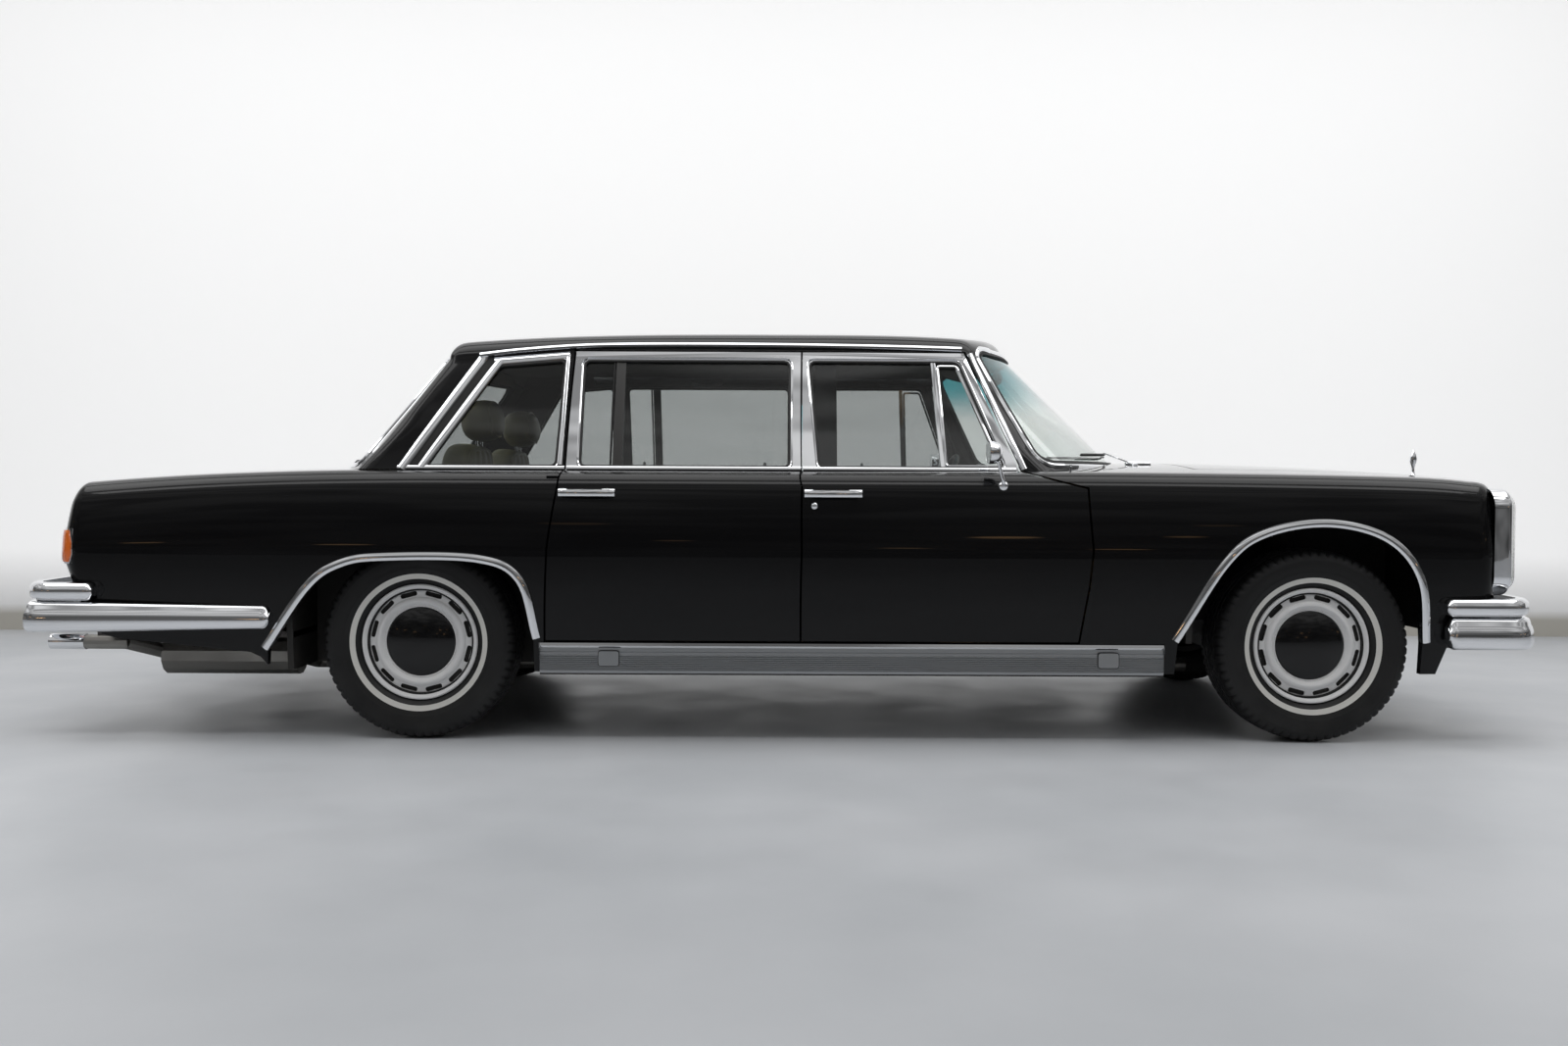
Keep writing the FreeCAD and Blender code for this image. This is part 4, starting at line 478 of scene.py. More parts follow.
def applied(piece, name):
    """The piece with its modifiers made real."""
    bpy.context.view_layer.update()
    result = bpy.data.meshes.new_from_object(piece.evaluated_get(bpy.context.evaluated_depsgraph_get()))
    piece.modifiers.clear()
    piece.data = result
    result.name = name
    return piece


def cut(name, first, *others):
    return combined(name, first, "DIFFERENCE", *others)


def common(name, first, *others):
    return combined(name, first, "INTERSECT", *others)


def joined(name, first, *others):
    return combined(name, first, "UNION", *others)


def other_side(piece, name="mirrored"):
    """The same piece on the left of the car."""
    mesh = piece.data.copy()
    flat = np.empty(len(mesh.vertices) * 3)
    mesh.vertices.foreach_get("co", flat)
    flat[1::3] *= -1
    mesh.vertices.foreach_set("co", flat)
    mesh.flip_normals()
    return linked(name, mesh)


def on_side(piece, side, name):
    """A copy of a right-hand piece for one side."""
    return joined(name, piece) if side == "right" else other_side(piece, name)


class Source:
    """A skin that panels take their shading from."""

    def __init__(self, piece):
        mesh = piece.data
        mesh.calc_loop_triangles()
        self.points = [v.co.copy() for v in mesh.vertices]
        self.normals = [v.normal.copy() for v in mesh.vertices]
        self.triangles = [tuple(t.vertices) for t in mesh.loop_triangles]
        self.tree = BVHTree.FromPolygons(self.points, self.triangles)

    def at(self, point):
        where, flat, index, gap = self.tree.find_nearest(point)
        a, b, c = self.triangles[index]
        pa = self.points[a]
        v0, v1, v2 = self.points[b] - pa, self.points[c] - pa, where - pa
        d00, d01, d11, d20, d21 = v0.dot(v0), v0.dot(v1), v1.dot(v1), v2.dot(v0), v2.dot(v1)
        whole = d00 * d11 - d01 * d01
        if whole < 1e-18:
            return flat, gap
        v, w = (d11 * d20 - d01 * d21) / whole, (d00 * d21 - d01 * d20) / whole
        return (self.normals[a] * (1 - v - w) + self.normals[b] * v + self.normals[c] * w).normalized(), gap

    def hit(self, start, way, fallback):
        """Where a ray meets the skin, or its point nearest to the fallback, and the outward direction there."""
        found = self.tree.ray_cast(Vector(start), Vector(way))[0]
        if found is None:
            found = self.tree.find_nearest(Vector(fallback))[0]
        return np.array(found), np.array(self.at(found)[0])


def shaded_like(piece, *sources):
    """Corner normals from the skins where a face lies on one, and flat shading elsewhere."""
    mesh = piece.data
    near = [[n for n, gap in (source.at(vertex.co) for source in sources) if gap < ON_SKIN]
            for vertex in mesh.vertices]
    normals = []
    for polygon in mesh.polygons:
        polygon.use_smooth = True
        flat = polygon.normal
        for v in polygon.vertices:
            like = next((n for n in near[v] if abs(n.dot(flat)) > LIKE_SKIN), flat)
            normals.append(like if like.dot(flat) > 0 else -like)
    mesh.normals_split_custom_set(normals)
    return piece


SKIN_SOURCE, CABIN_SOURCE = Source(BODY), Source(CABIN)
PANE_SOURCES = (Source(PANE_OUT), Source(PANE_IN))

# %% [markdown]
# The door gaps lean forward as they go inwards, because the doors turn about hinges at their front edges.
# These outlines are the CAD model's, in metres.

# %% Door and window outlines
SLANT, GAP, FAR = 0.34, 0.007, 6.0
WINDOW_FOOT, WINDOW_TOP, RAIL_Z, MIDDLE_X = 0.980, 1.371, 1.405, 0.078


def skin_half(x, z):
    """Half width of the outer surface, body or glass, in the side view."""
    w, top = float(half_width(x)), float(crest(x))
    if z > top:
        return side_at(x, z, 0)
    return float(np.interp(z, [FOOT, CREASE, top - SHOULDER_DOWN, top],
                           [w - FOOT_IN, w, w - SHOULDER_IN, w - SHOULDER_TOP_IN]))


def slanted(points, grow=0.0):
    points = grown([(x + SLANT * skin_half(x, z), z) for x, z in points], grow)
    return prism([(x, 0, z) for x, z in points], (-SLANT * 1.02, -1.02, 0))


def across(points, grow=0.0):
    """A window cutter on the right side."""
    return prism([(x, 0, z) for x, z in rounded(grown(points, grow), 0.022)], (0, -1.0, 0))


REAR_GAP = [(-0.827, 0.364), (-0.820, CREASE), (-0.787, 0.909), (-0.771, BELT), (-0.756, RAIL_Z)]
FRONT_GAP = [(1.063, 0.364), (1.095, 0.560), (1.105, CREASE), (1.090, 0.906), (0.857, BELT), (0.680, RAIL_Z)]
MIDDLE = [0.364, CREASE, 0.909, BELT, RAIL_Z]
REAR_DOOR = [(x + GAP / 2, z) for x, z in REAR_GAP] + [(MIDDLE_X - GAP / 2, z) for z in reversed(MIDDLE)]
FRONT_DOOR = [(MIDDLE_X + GAP / 2, z) for z in MIDDLE] + [(x - GAP / 2, z) for x, z in reversed(FRONT_GAP)]
FRONT_WINDOW = [(0.139, WINDOW_FOOT), (0.105, WINDOW_TOP), (0.655, WINDOW_TOP), (0.809, WINDOW_FOOT)]
REAR_WINDOW = [(-0.720, WINDOW_FOOT), (-0.720, WINDOW_TOP), (0.035, WINDOW_TOP), (0.035, WINDOW_FOOT)]
QUARTER_WINDOW = [(-1.271, WINDOW_FOOT), (-1.035, 1.349), (-0.789, WINDOW_TOP), (-0.804, WINDOW_FOOT)]

RIGHT = block(-FAR, FAR, -FAR, 0, -1, 3)
DOORS = joined("doors", slanted(REAR_DOOR, GAP), slanted(FRONT_DOOR, GAP))
DOOR_OUT = joined("zone", block(-FAR, FAR, -FAR, -0.8327, -1, BELT), block(-FAR, FAR, -FAR, 0.001, BELT - 0.0001, 3))
DOORWAY = common("doorway", DOORS, DOOR_OUT)
DOORWAY_LEFT = other_side(DOORWAY)

# %% [markdown]
# A door is three pieces here: the painted panel, the bright frame round its window, and the pane itself.
# They all ride on the door's body, so they swing together.

# %% Doors and side glass
FRAME_SHELL = cut("frame_shell", CABIN, CABIN_IN)
PANE_SHELL = cut("pane_shell", PANE_OUT, PANE_IN)
PANE_GAP = -0.0003
pieces = {}

for end, outline, window in (("rear", REAR_DOOR, REAR_WINDOW), ("front", FRONT_DOOR, FRONT_WINDOW)):
    wedge = slanted(outline)
    panel = common("door_panel", BODY, wedge, block(-FAR, FAR, -FAR, -0.833, 0, BELT - 0.0002))
    bright = common("door_bright", FRAME_SHELL, wedge, block(-FAR, FAR, -FAR, 0, BELT + 0.0002, 3))
    bright = cut("door_bright", bright, across(window))
    pane = common("door_pane", PANE_SHELL, across(window, PANE_GAP), RIGHT)
    for side, sign in SIDES:
        body = "door_%s_%s" % (end, side)
        for item, kind, sources in ((panel, "panel", (SKIN_SOURCE,)), (bright, "window_frame", (CABIN_SOURCE,)),
                                    (pane, "pane", PANE_SOURCES)):
            name = "%s_%s" % (body, kind)
            pieces[name] = shaded_like(on_side(item, side, name), *sources)
            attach(pieces[name], body)
        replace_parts(pieces[body + "_panel"], body)
        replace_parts(pieces[body + "_pane"], "door_glass_%s_%s" % (end, side))
print("doors:", [len(p.data.polygons) for p in pieces.values()])

# %% [markdown]
# The fixed glass and the roof come from the same shells. The windscreen and the backlight are cut by one
# outline each, pushed along the car.

# %% Roof, pillars and fixed glass
ROOF_SPLIT = 1.4085
# Low and high edge, share of the half width, and the heights and half widths that it is read from.
SCREENS = {1: (1.005, 1.418, 0.955, (0.983, 1.418), (0.840, 0.660)),
           -1: (0.998, 1.366, 0.93, (0.966, 1.344), (0.800, 0.660))}


def screen_outline(sign, grow, steps=6):
    low, high, share, heights, halves = SCREENS[sign]
    foot, head = (np.interp(z, heights, halves) * share for z in (low, high))
    return rounded([(-foot - grow, low - grow), (foot + grow, low - grow), (head + grow, high + grow),
                    (-head - grow, high + grow)], 0.05, steps)


def end_outline(sign, grow):
    return prism([(0, y, z) for y, z in screen_outline(sign, grow)], (sign * 3, 0, 0))


quarter = common("quarter", PANE_SHELL, across(QUARTER_WINDOW, PANE_GAP), RIGHT)
for side, sign in SIDES:
    name = "quarter_pane_" + side
    pieces[name] = shaded_like(on_side(quarter, side, name), *PANE_SOURCES)
    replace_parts(pieces[name], "quarter_glass_" + side)
for name, sign in (("windscreen", 1), ("backlight", -1)):
    pane = common(name + "_pane", PANE_SHELL, end_outline(sign, PANE_GAP))
    pieces[name + "_pane"] = shaded_like(pane, *PANE_SOURCES)
    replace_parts(pane, name)
upper = cut("upper", FRAME_SHELL, DOORWAY, DOORWAY_LEFT, across(QUARTER_WINDOW), other_side(across(QUARTER_WINDOW)),
            end_outline(1, 0), end_outline(-1, 0), block(-FAR, FAR, -FAR, FAR, -1, BELT))
for name, low, high in (("roof_panel", ROOF_SPLIT, 3), ("pillars", 0, ROOF_SPLIT)):
    pieces[name] = shaded_like(common(name, upper, block(-FAR, FAR, -FAR, FAR, low, high)), CABIN_SOURCE)
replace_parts(pieces["roof_panel"], "roof")
print("roof:", len(pieces["roof_panel"].data.polygons), "pillars:", len(pieces["pillars"].data.polygons))

# %% [markdown]
# Below the belt the skin is only as thick as a double panel. The wheel arches, the lids' shut lines and the
# doorways are cut out of it, and the inner walls that hold the wheels and the engine are added behind.

# %% Wings, lids and rear body
HUB_X = {"front": 1.910, "rear": -1.290}
HUB_Y, HUB_Z = 0.790, 0.347
# Reach along the car, rise over the hub, and the curve in shares of both.
ARCHES = {"front": (0.500, 0.430, ((-1, 0.04), (-0.66, 0.68), (-0.38, 0.92), (0.06, 1), (0.466, 0.88), (0.7, 0.56),
                                   (0.76, 0.04))),
          "rear": (0.520, 0.298, ((-1.01, -0.08), (-0.708, 0.658), (-0.49, 0.92), (-0.21, 1), (0.42, 0.987),
                                  (0.7, 0.758), (0.81, 0.07)))}
WING_REAR, BONNET_REAR, BONNET_FRONT = 0.781, 1.534, 2.578
WING_LINE = [(WING_REAR, 0.707), (BONNET_REAR, 0.707), (BONNET_FRONT, 0.617), (FAR, 0.617)]


def arch_line(end, count=60):
    reach, rise, shares = ARCHES[end]
    return smooth_line([(HUB_X[end] + a * reach, HUB_Z + b * rise) for a, b in shares], count)


def arch_cutter(end):
    line = [tuple(p) for p in arch_line(end)]
    line += [(line[-1][0], 0), (line[0][0] - 0.022, 0)]
    return prism([(x, -0.47, z) for x, z in line], (0, -1.0, 0))


def plan(points, low, high=2.0):
    return prism([(x, y, low) for x, y in points], (0, 0, high - low))


def bonnet_outline(grow):
    rear, front, a, b = BONNET_REAR + GAP / 2 - grow, BONNET_FRONT + grow, 0.700 + grow, 0.610 + grow
    return plan(rounded([(rear, -a), (front, -b), (front, b), (rear, a)], 0.02), 0.872)


def lid_outline(grow):
    front, a, b = -1.765 + grow, 0.690 + grow, 0.610 + grow
    return plan([(front, -a), (front, a), (TAIL, b), (-4, b), (-4, -b), (TAIL, -b)], 0.615 - grow)


LID_SHELL = cut("lid_shell", BODY, BODY_24)
BODY_SHELL = cut("body_shell", BODY, BODY_40)
REAR_ARCH = arch_cutter("rear")
near_line = [(x, -y) for x, y in WING_LINE]
lamp_hole = prism([(2.54, y, z) for y, z in rounded(box_outline(-0.9053, -0.6897, 0.5287, 0.9153), 0.06)], (0.2, 0, 0))
wing = cut("wing", common("wing", BODY_SHELL, plan(near_line + [(FAR, -FAR), (WING_REAR, -FAR)], -1)), DOORWAY, CABIN,
           bonnet_outline(GAP), arch_cutter("front"), block(0.7, 1.041, -FAR, 0, -1, 0.386),
           block(0.7, 1.2363, -0.9283, 0, -1, 0.8843), block(0.7, 1.3653, -FAR, 0, -1, 0.3573), lamp_hole)
middle_front = common("middle", BODY_SHELL, plan(near_line + WING_LINE[::-1], -1))
behind_door = block(-0.847, 0, -0.928, 0.928, -1, 0.925)
trim_room = block(-0.8503, 0, -FAR, -0.928, -1, 0.3573)
for name, node, made in (
        ("bonnet_panel", "bonnet", common("bonnet_panel", LID_SHELL, bonnet_outline(0))),
        ("boot_lid_panel", "boot_lid", common("boot_lid_panel", LID_SHELL, lid_outline(0))),
        ("scuttle_panel", "scuttle", cut("scuttle_panel", common("t", middle_front, block(
            WING_REAR, 1.5305, -FAR, FAR, 0.872, 3)), CABIN)),
        ("nose_panel", "front_panel", cut("nose_panel", common("t", middle_front, block(2.52, FAR, -FAR, FAR, -1, 3)),
                                          bonnet_outline(GAP), block(0, FAR, -0.240, 0.240, 0.527, 0.892))),
        ("rear_panel", "rear_body", cut(
            "rear_panel", common("t", BODY_SHELL, block(-FAR, -0.68, -FAR, FAR, -1, 3)), DOORWAY, DOORWAY_LEFT,
            lid_outline(GAP), REAR_ARCH, other_side(REAR_ARCH), common("t", CABIN, block(
                -FAR, FAR, -0.928, 0.928, 0.925, 3)), behind_door, trim_room, other_side(trim_room)))):
    pieces[name] = shaded_like(made, SKIN_SOURCE)
    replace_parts(made, node)
for side, sign in SIDES:
    name = "wing_panel_" + side
    pieces[name] = shaded_like(on_side(wing, side, name), SKIN_SOURCE)
    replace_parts(pieces[name], "wing_" + side)
print({name: len(p.data.polygons) for name, p in pieces.items()})

# %% [markdown]
# Each material starts from the Principled shader with its steady numbers typed on its own sockets. What
# varies over the surface, such as dust, smears, grain and fine ripple, comes from a few shared groups
# that hand back plain values and normals. A group keeps one look in one place for many materials.

# %% Shared surface effects
def new_group(name, inputs, outputs):
    tree = bpy.data.node_groups.new(name, "ShaderNodeTree")
    for label, value in inputs:
        tree.interface.new_socket(label, in_out="INPUT", socket_type="NodeSocketFloat").default_value = value
    for label, kind in outputs:
        tree.interface.new_socket(label, in_out="OUTPUT", socket_type="NodeSocket" + kind)
    return tree, tree.nodes.new("NodeGroupInput").outputs, tree.nodes.new("NodeGroupOutput").inputs


def add(tree, kind, values=(), **settings):
    """A node with its settings, and with a number or another node's socket on each named input."""
    node = tree.nodes.new("ShaderNode" + kind)
    for key, value in settings.items():
        setattr(node, key, value)
    for key, value in dict(values).items():
        if isinstance(value, bpy.types.NodeSocket):
            tree.links.new(value, node.inputs[key])
        else:
            node.inputs[key].default_value = value
    return node


def noise(tree, scale, detail=3.0, where=None, **values):
    where = where or add(tree, "TexCoord").outputs["Object"]
    return add(tree, "TexNoise", {"Vector": where, "Scale": scale, "Detail": detail, **values}).outputs["Fac"]


def span(tree, value, low=0.0, high=1.0, to_low=0.0, to_high=1.0, **settings):
    """A value carried from one range to another and held at its ends."""
    return add(tree, "MapRange", {"Value": value, "From Min": low, "From Max": high, "To Min": to_low,
                                  "To Max": to_high}, **settings).outputs["Result"]


def math_node(tree, operation, a, b):
    return add(tree, "Math", {0: a, 1: b}, operation=operation).outputs["Value"]


def heights(tree, where):
    return add(tree, "SeparateXYZ", {"Vector": where}).outputs["Z"]


def bumped(tree, source, height):
    return add(tree, "Bump", {"Strength": source["Strength"], "Distance": source["Distance"],
                              "Height": height}).outputs["Normal"]


def ripple_group():
    """Fine unevenness: a small normal change and a smear mask."""
    tree, source, sink = new_group("fine_ripple", [("Scale", 60), ("Strength", 0.1), ("Distance", 0.001)],
                                   [("Normal", "Vector"), ("Smear", "Float")])
    tree.links.new(bumped(tree, source, noise(tree, source["Scale"])), sink["Normal"])
    tree.links.new(span(tree, noise(tree, 5.0, 6.0), 0.42, 0.7), sink["Smear"])
    return tree


def dust_group():
    """Road dust: strongest near the ground and broken up by noise."""
    tree, source, sink = new_group("road_dust", [("Height", 0.5), ("Amount", 0.3)], [("Mask", "Float")])
    low = span(tree, heights(tree, add(tree, "NewGeometry").outputs["Position"]), source["Height"], 0.0)
    both = math_node(tree, "MULTIPLY", low, span(tree, noise(tree, 9.0, 8.0), 0.3, 0.75))
    tree.links.new(math_node(tree, "MULTIPLY", both, source["Amount"]), sink["Mask"])
    return tree


def grain_group():
    """Leather and moulded grain: cells with creases between them, and patches of a deeper tone."""
    tree, source, sink = new_group("grain", [("Scale", 260), ("Strength", 0.35), ("Distance", 0.0006)],
                                   [("Normal", "Vector"), ("Tone", "Float")])
    where = add(tree, "TexCoord").outputs["Object"]
    cells = add(tree, "TexVoronoi", {"Vector": where, "Scale": source["Scale"]}, feature="DISTANCE_TO_EDGE")
    tree.links.new(bumped(tree, source, span(tree, cells.outputs["Distance"], 0.0, 0.25)), sink["Normal"])
    tree.links.new(noise(tree, 6.0, 6.0, where), sink["Tone"])
    return tree


RIPPLE, DUST, GRAIN = ripple_group(), dust_group(), grain_group()

# %% [markdown]
# The black paint is a dark base under a clear coat. The coat gives the sharp reflections, and a very fine
# ripple in its normal keeps the long highlights from looking computed. Chrome is metal with almost no
# roughness, apart from faint smears.

# %% Paint, chrome and other hard materials
DUST_COLOR = (0.30, 0.29, 0.27)


def surface(name, color, **values):
    """A Principled material with steady values on its sockets."""
    made = bpy.data.materials.new(name)
    made.use_nodes = True
    shader = made.node_tree.nodes["Principled BSDF"]
    shader.inputs["Base Color"].default_value = (*color, 1)
    for key, value in values.items():
        shader.inputs[key.replace("_", " ")].default_value = value
    return made, made.node_tree, shader


def use_group(tree, group, **values):
    return add(tree, "Group", values.items(), node_tree=group).outputs


def mixed(tree, factor, a, b):
    """A blend of two colours. Each is three numbers or another node's socket."""
    a, b = (value if isinstance(value, bpy.types.NodeSocket) else (*value, 1) for value in (a, b))
    return add(tree, "Mix", {"Factor": factor, "A": a, "B": b}, data_type="RGBA").outputs["Result"]


def hard(name, color, roughness, metallic=0.0, dust=0.0, smear=0.05, ripple=60.0, strength=0.05, **values):
    made, tree, shader = surface(name, color, Roughness=roughness, Metallic=metallic, **values)
    fine = use_group(tree, RIPPLE, Scale=ripple, Strength=strength)
    tree.links.new(fine["Normal"], shader.inputs["Normal"])
    tree.links.new(span(tree, fine["Smear"], 0.0, 1.0, roughness, roughness + smear), shader.inputs["Roughness"])
    if dust:
        mask = use_group(tree, DUST, Height=0.5, Amount=dust)["Mask"]
        tree.links.new(mixed(tree, mask, color, DUST_COLOR), shader.inputs["Base Color"])
    return made


paint = hard("black_paint", (0.0030, 0.0030, 0.0035), 0.22, dust=0.012, ripple=90, strength=0.012,
             Coat_Weight=1.0, Coat_Roughness=0.015, Coat_IOR=1.27, Specular_IOR_Level=0.1)
chrome = hard("bright_chrome", (0.88, 0.89, 0.91), 0.03, 1.0, smear=0.04, ripple=30, strength=0.015, dust=0.04)
satin = hard("satin_chrome", (0.66, 0.67, 0.69), 0.22, 1.0, smear=0.08, dust=0.1)
ribbed = hard("ribbed_aluminium", (0.36, 0.37, 0.38), 0.30, 1.0, smear=0.12, ripple=200, strength=0.08, dust=0.18)
rubber = hard("black_rubber", (0.012, 0.012, 0.012), 0.55, smear=0.15, ripple=300, strength=0.2)
plastic = hard("dark_plastic", (0.020, 0.019, 0.018), 0.45, smear=0.12, ripple=500, strength=0.25)
under_black = hard("underbody_black", (0.012, 0.011, 0.010), 0.65, smear=0.2, ripple=120, strength=0.3, dust=0.12)
cast = hard("cast_metal", (0.20, 0.20, 0.20), 0.45, 0.8, smear=0.2, ripple=160, strength=0.4, dust=0.1)
steel = hard("exhaust_steel", (0.34, 0.33, 0.31), 0.38, 1.0, smear=0.25, ripple=90, strength=0.12, dust=0.35)
white_ring = hard("white_ring", (0.74, 0.73, 0.69), 0.5, smear=0.15, ripple=200, strength=0.08, dust=0.35)
cap_black = hard("cap_enamel", (0.004, 0.004, 0.0045), 0.12, smear=0.08, Specular_IOR_Level=0.2, Coat_Weight=1.0,
                 Coat_Roughness=0.03, Coat_IOR=1.3)
tyre_rubber = hard("tyre_rubber", (0.0075, 0.0075, 0.008), 0.46, smear=0.18, ripple=240, strength=0.16, dust=0.05,
                   Specular_IOR_Level=0.35)


def textile(name, color, deep, scale, strength, roughness, distance=0.0006, **values):
    """Leather, grained plastic and cloth: grain in the normal and two tones of the same colour."""
    made, tree, shader = surface(name, color, Roughness=roughness, **values)
    grain = use_group(tree, GRAIN, Scale=scale, Strength=strength, Distance=distance)
    tree.links.new(grain["Normal"], shader.inputs["Normal"])
    tree.links.new(mixed(tree, span(tree, grain["Tone"], 0.35, 0.7), color, deep), shader.inputs["Base Color"])
    return made


tan_leather = textile("tan_leather", (0.42, 0.25, 0.12), (0.30, 0.165, 0.075), 300, 0.4, 0.42)
olive_leather = textile("olive_leather", (0.27, 0.25, 0.12), (0.19, 0.175, 0.085), 300, 0.4, 0.45)
headliner = textile("dark_headliner", (0.042, 0.033, 0.031), (0.030, 0.024, 0.022), 900, 0.6, 0.9, 0.0004,
                    Sheen_Weight=0.3)
carpet = textile("brown_carpet", (0.070, 0.050, 0.036), (0.045, 0.032, 0.024), 700, 1.0, 0.95, 0.002, Sheen_Weight=0.5)
dash_grain = textile("dash_grain", (0.022, 0.020, 0.019), (0.016, 0.015, 0.014), 600, 0.5, 0.5)

# %% [markdown]
# Burr walnut is noise pulled along the board and read through three browns, under a thick lacquer. Glass lets
# shadow rays through, because light that has to bend through a pane would leave the cabin black.

# %% Wood, glass and lenses
WALNUT_TONES = ((0.32, (0.045, 0.014, 0.005, 1)), (0.62, (0.36, 0.155, 0.055, 1)), (0.47, (0.17, 0.062, 0.022, 1)))


def walnut_material():
    made, tree, shader = surface("walnut", (0.18, 0.07, 0.025), Roughness=0.3, Coat_Weight=1.0, Coat_Roughness=0.05)
    stretch = add(tree, "Mapping", {"Vector": add(tree, "TexCoord").outputs["Object"], "Scale": (9, 2.2, 14)})
    ramp = add(tree, "ValToRGB", {"Fac": noise(tree, 2.5, 8.0, stretch.outputs["Vector"], Distortion=2.2)})
    stops = ramp.color_ramp.elements
    stops.new(WALNUT_TONES[2][0])
    for stop, (position, color) in zip((stops[0], stops[2], stops[1]), WALNUT_TONES):
        stop.position, stop.color = position, color
    tree.links.new(ramp.outputs["Color"], shader.inputs["Base Color"])
    return made


def let_through(tree, shader, share, tint=(1, 1, 1)):
    """Blends the shader with a clear one by a share."""
    blend = add(tree, "MixShader", {"Fac": share})
    tree.links.new(shader.outputs["BSDF"], blend.inputs[1])
    tree.links.new(add(tree, "BsdfTransparent", {"Color": (*tint, 1)}).outputs["BSDF"], blend.inputs[2])
    tree.links.new(blend.outputs["Shader"], tree.nodes["Material Output"].inputs["Surface"])


def see_through(name, tint, shadow_tint, band=None):
    """Glass whose shadow rays pass straight through with a tint."""
    made, tree, shader = surface(name, tint, Roughness=0.0, IOR=1.5, Transmission_Weight=1.0)
    let_through(tree, shader, add(tree, "LightPath").outputs["Is Shadow Ray"], shadow_tint)
    if band:
        low, high, other = band
        mask = span(tree, heights(tree, add(tree, "TexCoord").outputs["Object"]), low, high,
                    interpolation_type="SMOOTHSTEP")
    else:
        mask = use_group(tree, RIPPLE, Scale=4.0, Strength=0.0)["Smear"]
        other = tuple(0.985 * c for c in tint)
    tree.links.new(mixed(tree, mask, tint, other), shader.inputs["Base Color"])
    return made


def lens_look(name, color):
    return hard(name, color, 0.14, smear=0.04, ripple=160, strength=0.10, Coat_Weight=1.0, Coat_Roughness=0.02)


walnut = walnut_material()
# The side glass is tinted much darker than the windscreen. That tint is partly the glass's own colour and partly
# painted shade on the cabin and the wall seen through both panes.
side_glass = see_through("side_glass", (0.56, 0.58, 0.575), (0.66, 0.69, 0.68))
screen_glass = see_through("screen_glass", (0.92, 0.96, 0.94), (0.9, 0.94, 0.92), (1.20, 1.37, (0.10, 0.42, 0.46)))
lamp_glass = see_through("lamp_glass", (0.95, 0.96, 0.95), (0.95, 0.95, 0.95))
amber = lens_look("amber_lens", (0.90, 0.17, 0.006))
red_lens = lens_look("red_lens", (0.34, 0.006, 0.005))
mirror_face = hard("mirror_silver", (0.86, 0.87, 0.88), 0.01, 1.0, smear=0.01)
print("materials:", len(bpy.data.materials))

# %% [markdown]
# The car stands in a white hall: a pale, slightly glossy floor and a white wall close behind, which is clear
# when it is seen from its back. Black paint shows mostly what it reflects. So the side towards the viewer
# faces a dim room with a few warm lamps, and only what points upwards sees the bright ceiling.

# %% Hall, sky and lights
HALL_X, WALL_Y, WALL_TOP = 16, 2.75, 7


def floor_material():
    made, tree, shader = surface("hall_floor", (0.55, 0.57, 0.60), Roughness=0.35, Specular_IOR_Level=0.35)
    where = add(tree, "NewGeometry").outputs["Position"]
    cloud = span(tree, noise(tree, 0.9, 10.0, where), 0.3, 0.72)
    tree.links.new(mixed(tree, cloud, (0.50, 0.52, 0.545), (0.60, 0.615, 0.64)), shader.inputs["Base Color"])
    tree.links.new(span(tree, noise(tree, 3.0, 8.0, where), 0.0, 1.0, 0.22, 0.55), shader.inputs["Roughness"])
    return made


def wall_material():
    """White above a low base, and glowing a little for the rays that show it, so that it stays even."""
    made, tree, shader = surface("hall_wall", (0.80, 0.80, 0.80), Roughness=0.9, Emission_Color=(1, 1, 1, 1))
    z = heights(tree, add(tree, "NewGeometry").outputs["Position"])
    base = span(tree, z, 0.10, 0.16)
    tree.links.new(mixed(tree, base, (0.52, 0.50, 0.45), (0.86, 0.86, 0.86)), shader.inputs["Base Color"])
    rays = add(tree, "LightPath").outputs
    shown = math_node(tree, "MAXIMUM", rays["Is Camera Ray"], rays["Is Glossy Ray"])
    shown = math_node(tree, "MAXIMUM", shown, rays["Is Transmission Ray"])
    glow = math_node(tree, "MULTIPLY", span(tree, z, 0.1, 0.5, 0.0, 0.40), shown)
    tree.links.new(glow, shader.inputs["Emission Strength"])
    let_through(tree, shader, add(tree, "NewGeometry").outputs["Backfacing"])
    return made


floor = new_object("hall_floor", [(x, y, 0) for x, y in box_outline(-HALL_X, HALL_X, -10, 13)], [(0, 1, 2, 3)])
floor.data.materials.append(floor_material())
wall = new_object("hall_wall", [(x, WALL_Y, z) for x, z in box_outline(-HALL_X, HALL_X, 0, WALL_TOP)], [(0, 1, 2, 3)])
wall.data.materials.append(wall_material())

world = bpy.data.worlds.new("hall_light")
bpy.context.scene.world = world
world.use_nodes = True
tree = world.node_tree
direction = add(tree, "TexCoord").outputs["Generated"]
up = heights(tree, direction)


def stretched(scale):
    return add(tree, "Mapping", {"Vector": direction, "Scale": scale}).outputs["Vector"]


rise = span(tree, up, 0.16, 0.50, 0.11, 0.60, interpolation_type="SMOOTHSTEP")
beams = span(tree, noise(tree, 1.6, 1.0, stretched((3, 3, 14))), 0.40, 0.62, 0.40, 1.10)
room = math_node(tree, "MULTIPLY", rise, beams)
spots = add(tree, "TexVoronoi", {"Vector": stretched((5, 5, 22)), "Scale": 1.0}).outputs["Distance"]
lamps = math_node(tree, "MULTIPLY", span(tree, spots, 0.16, 0.10), span(tree, up, 0.22, 0.14))
lamps = math_node(tree, "MULTIPLY", lamps, span(tree, up, 0.03, 0.05))
room_color = mixed(tree, lamps, room, (3.2, 1.9, 0.9))
seen_color = mixed(tree, add(tree, "LightPath").outputs["Is Camera Ray"], room_color, (1, 1, 1))
tree.links.new(seen_color, tree.nodes["Background"].inputs["Color"])


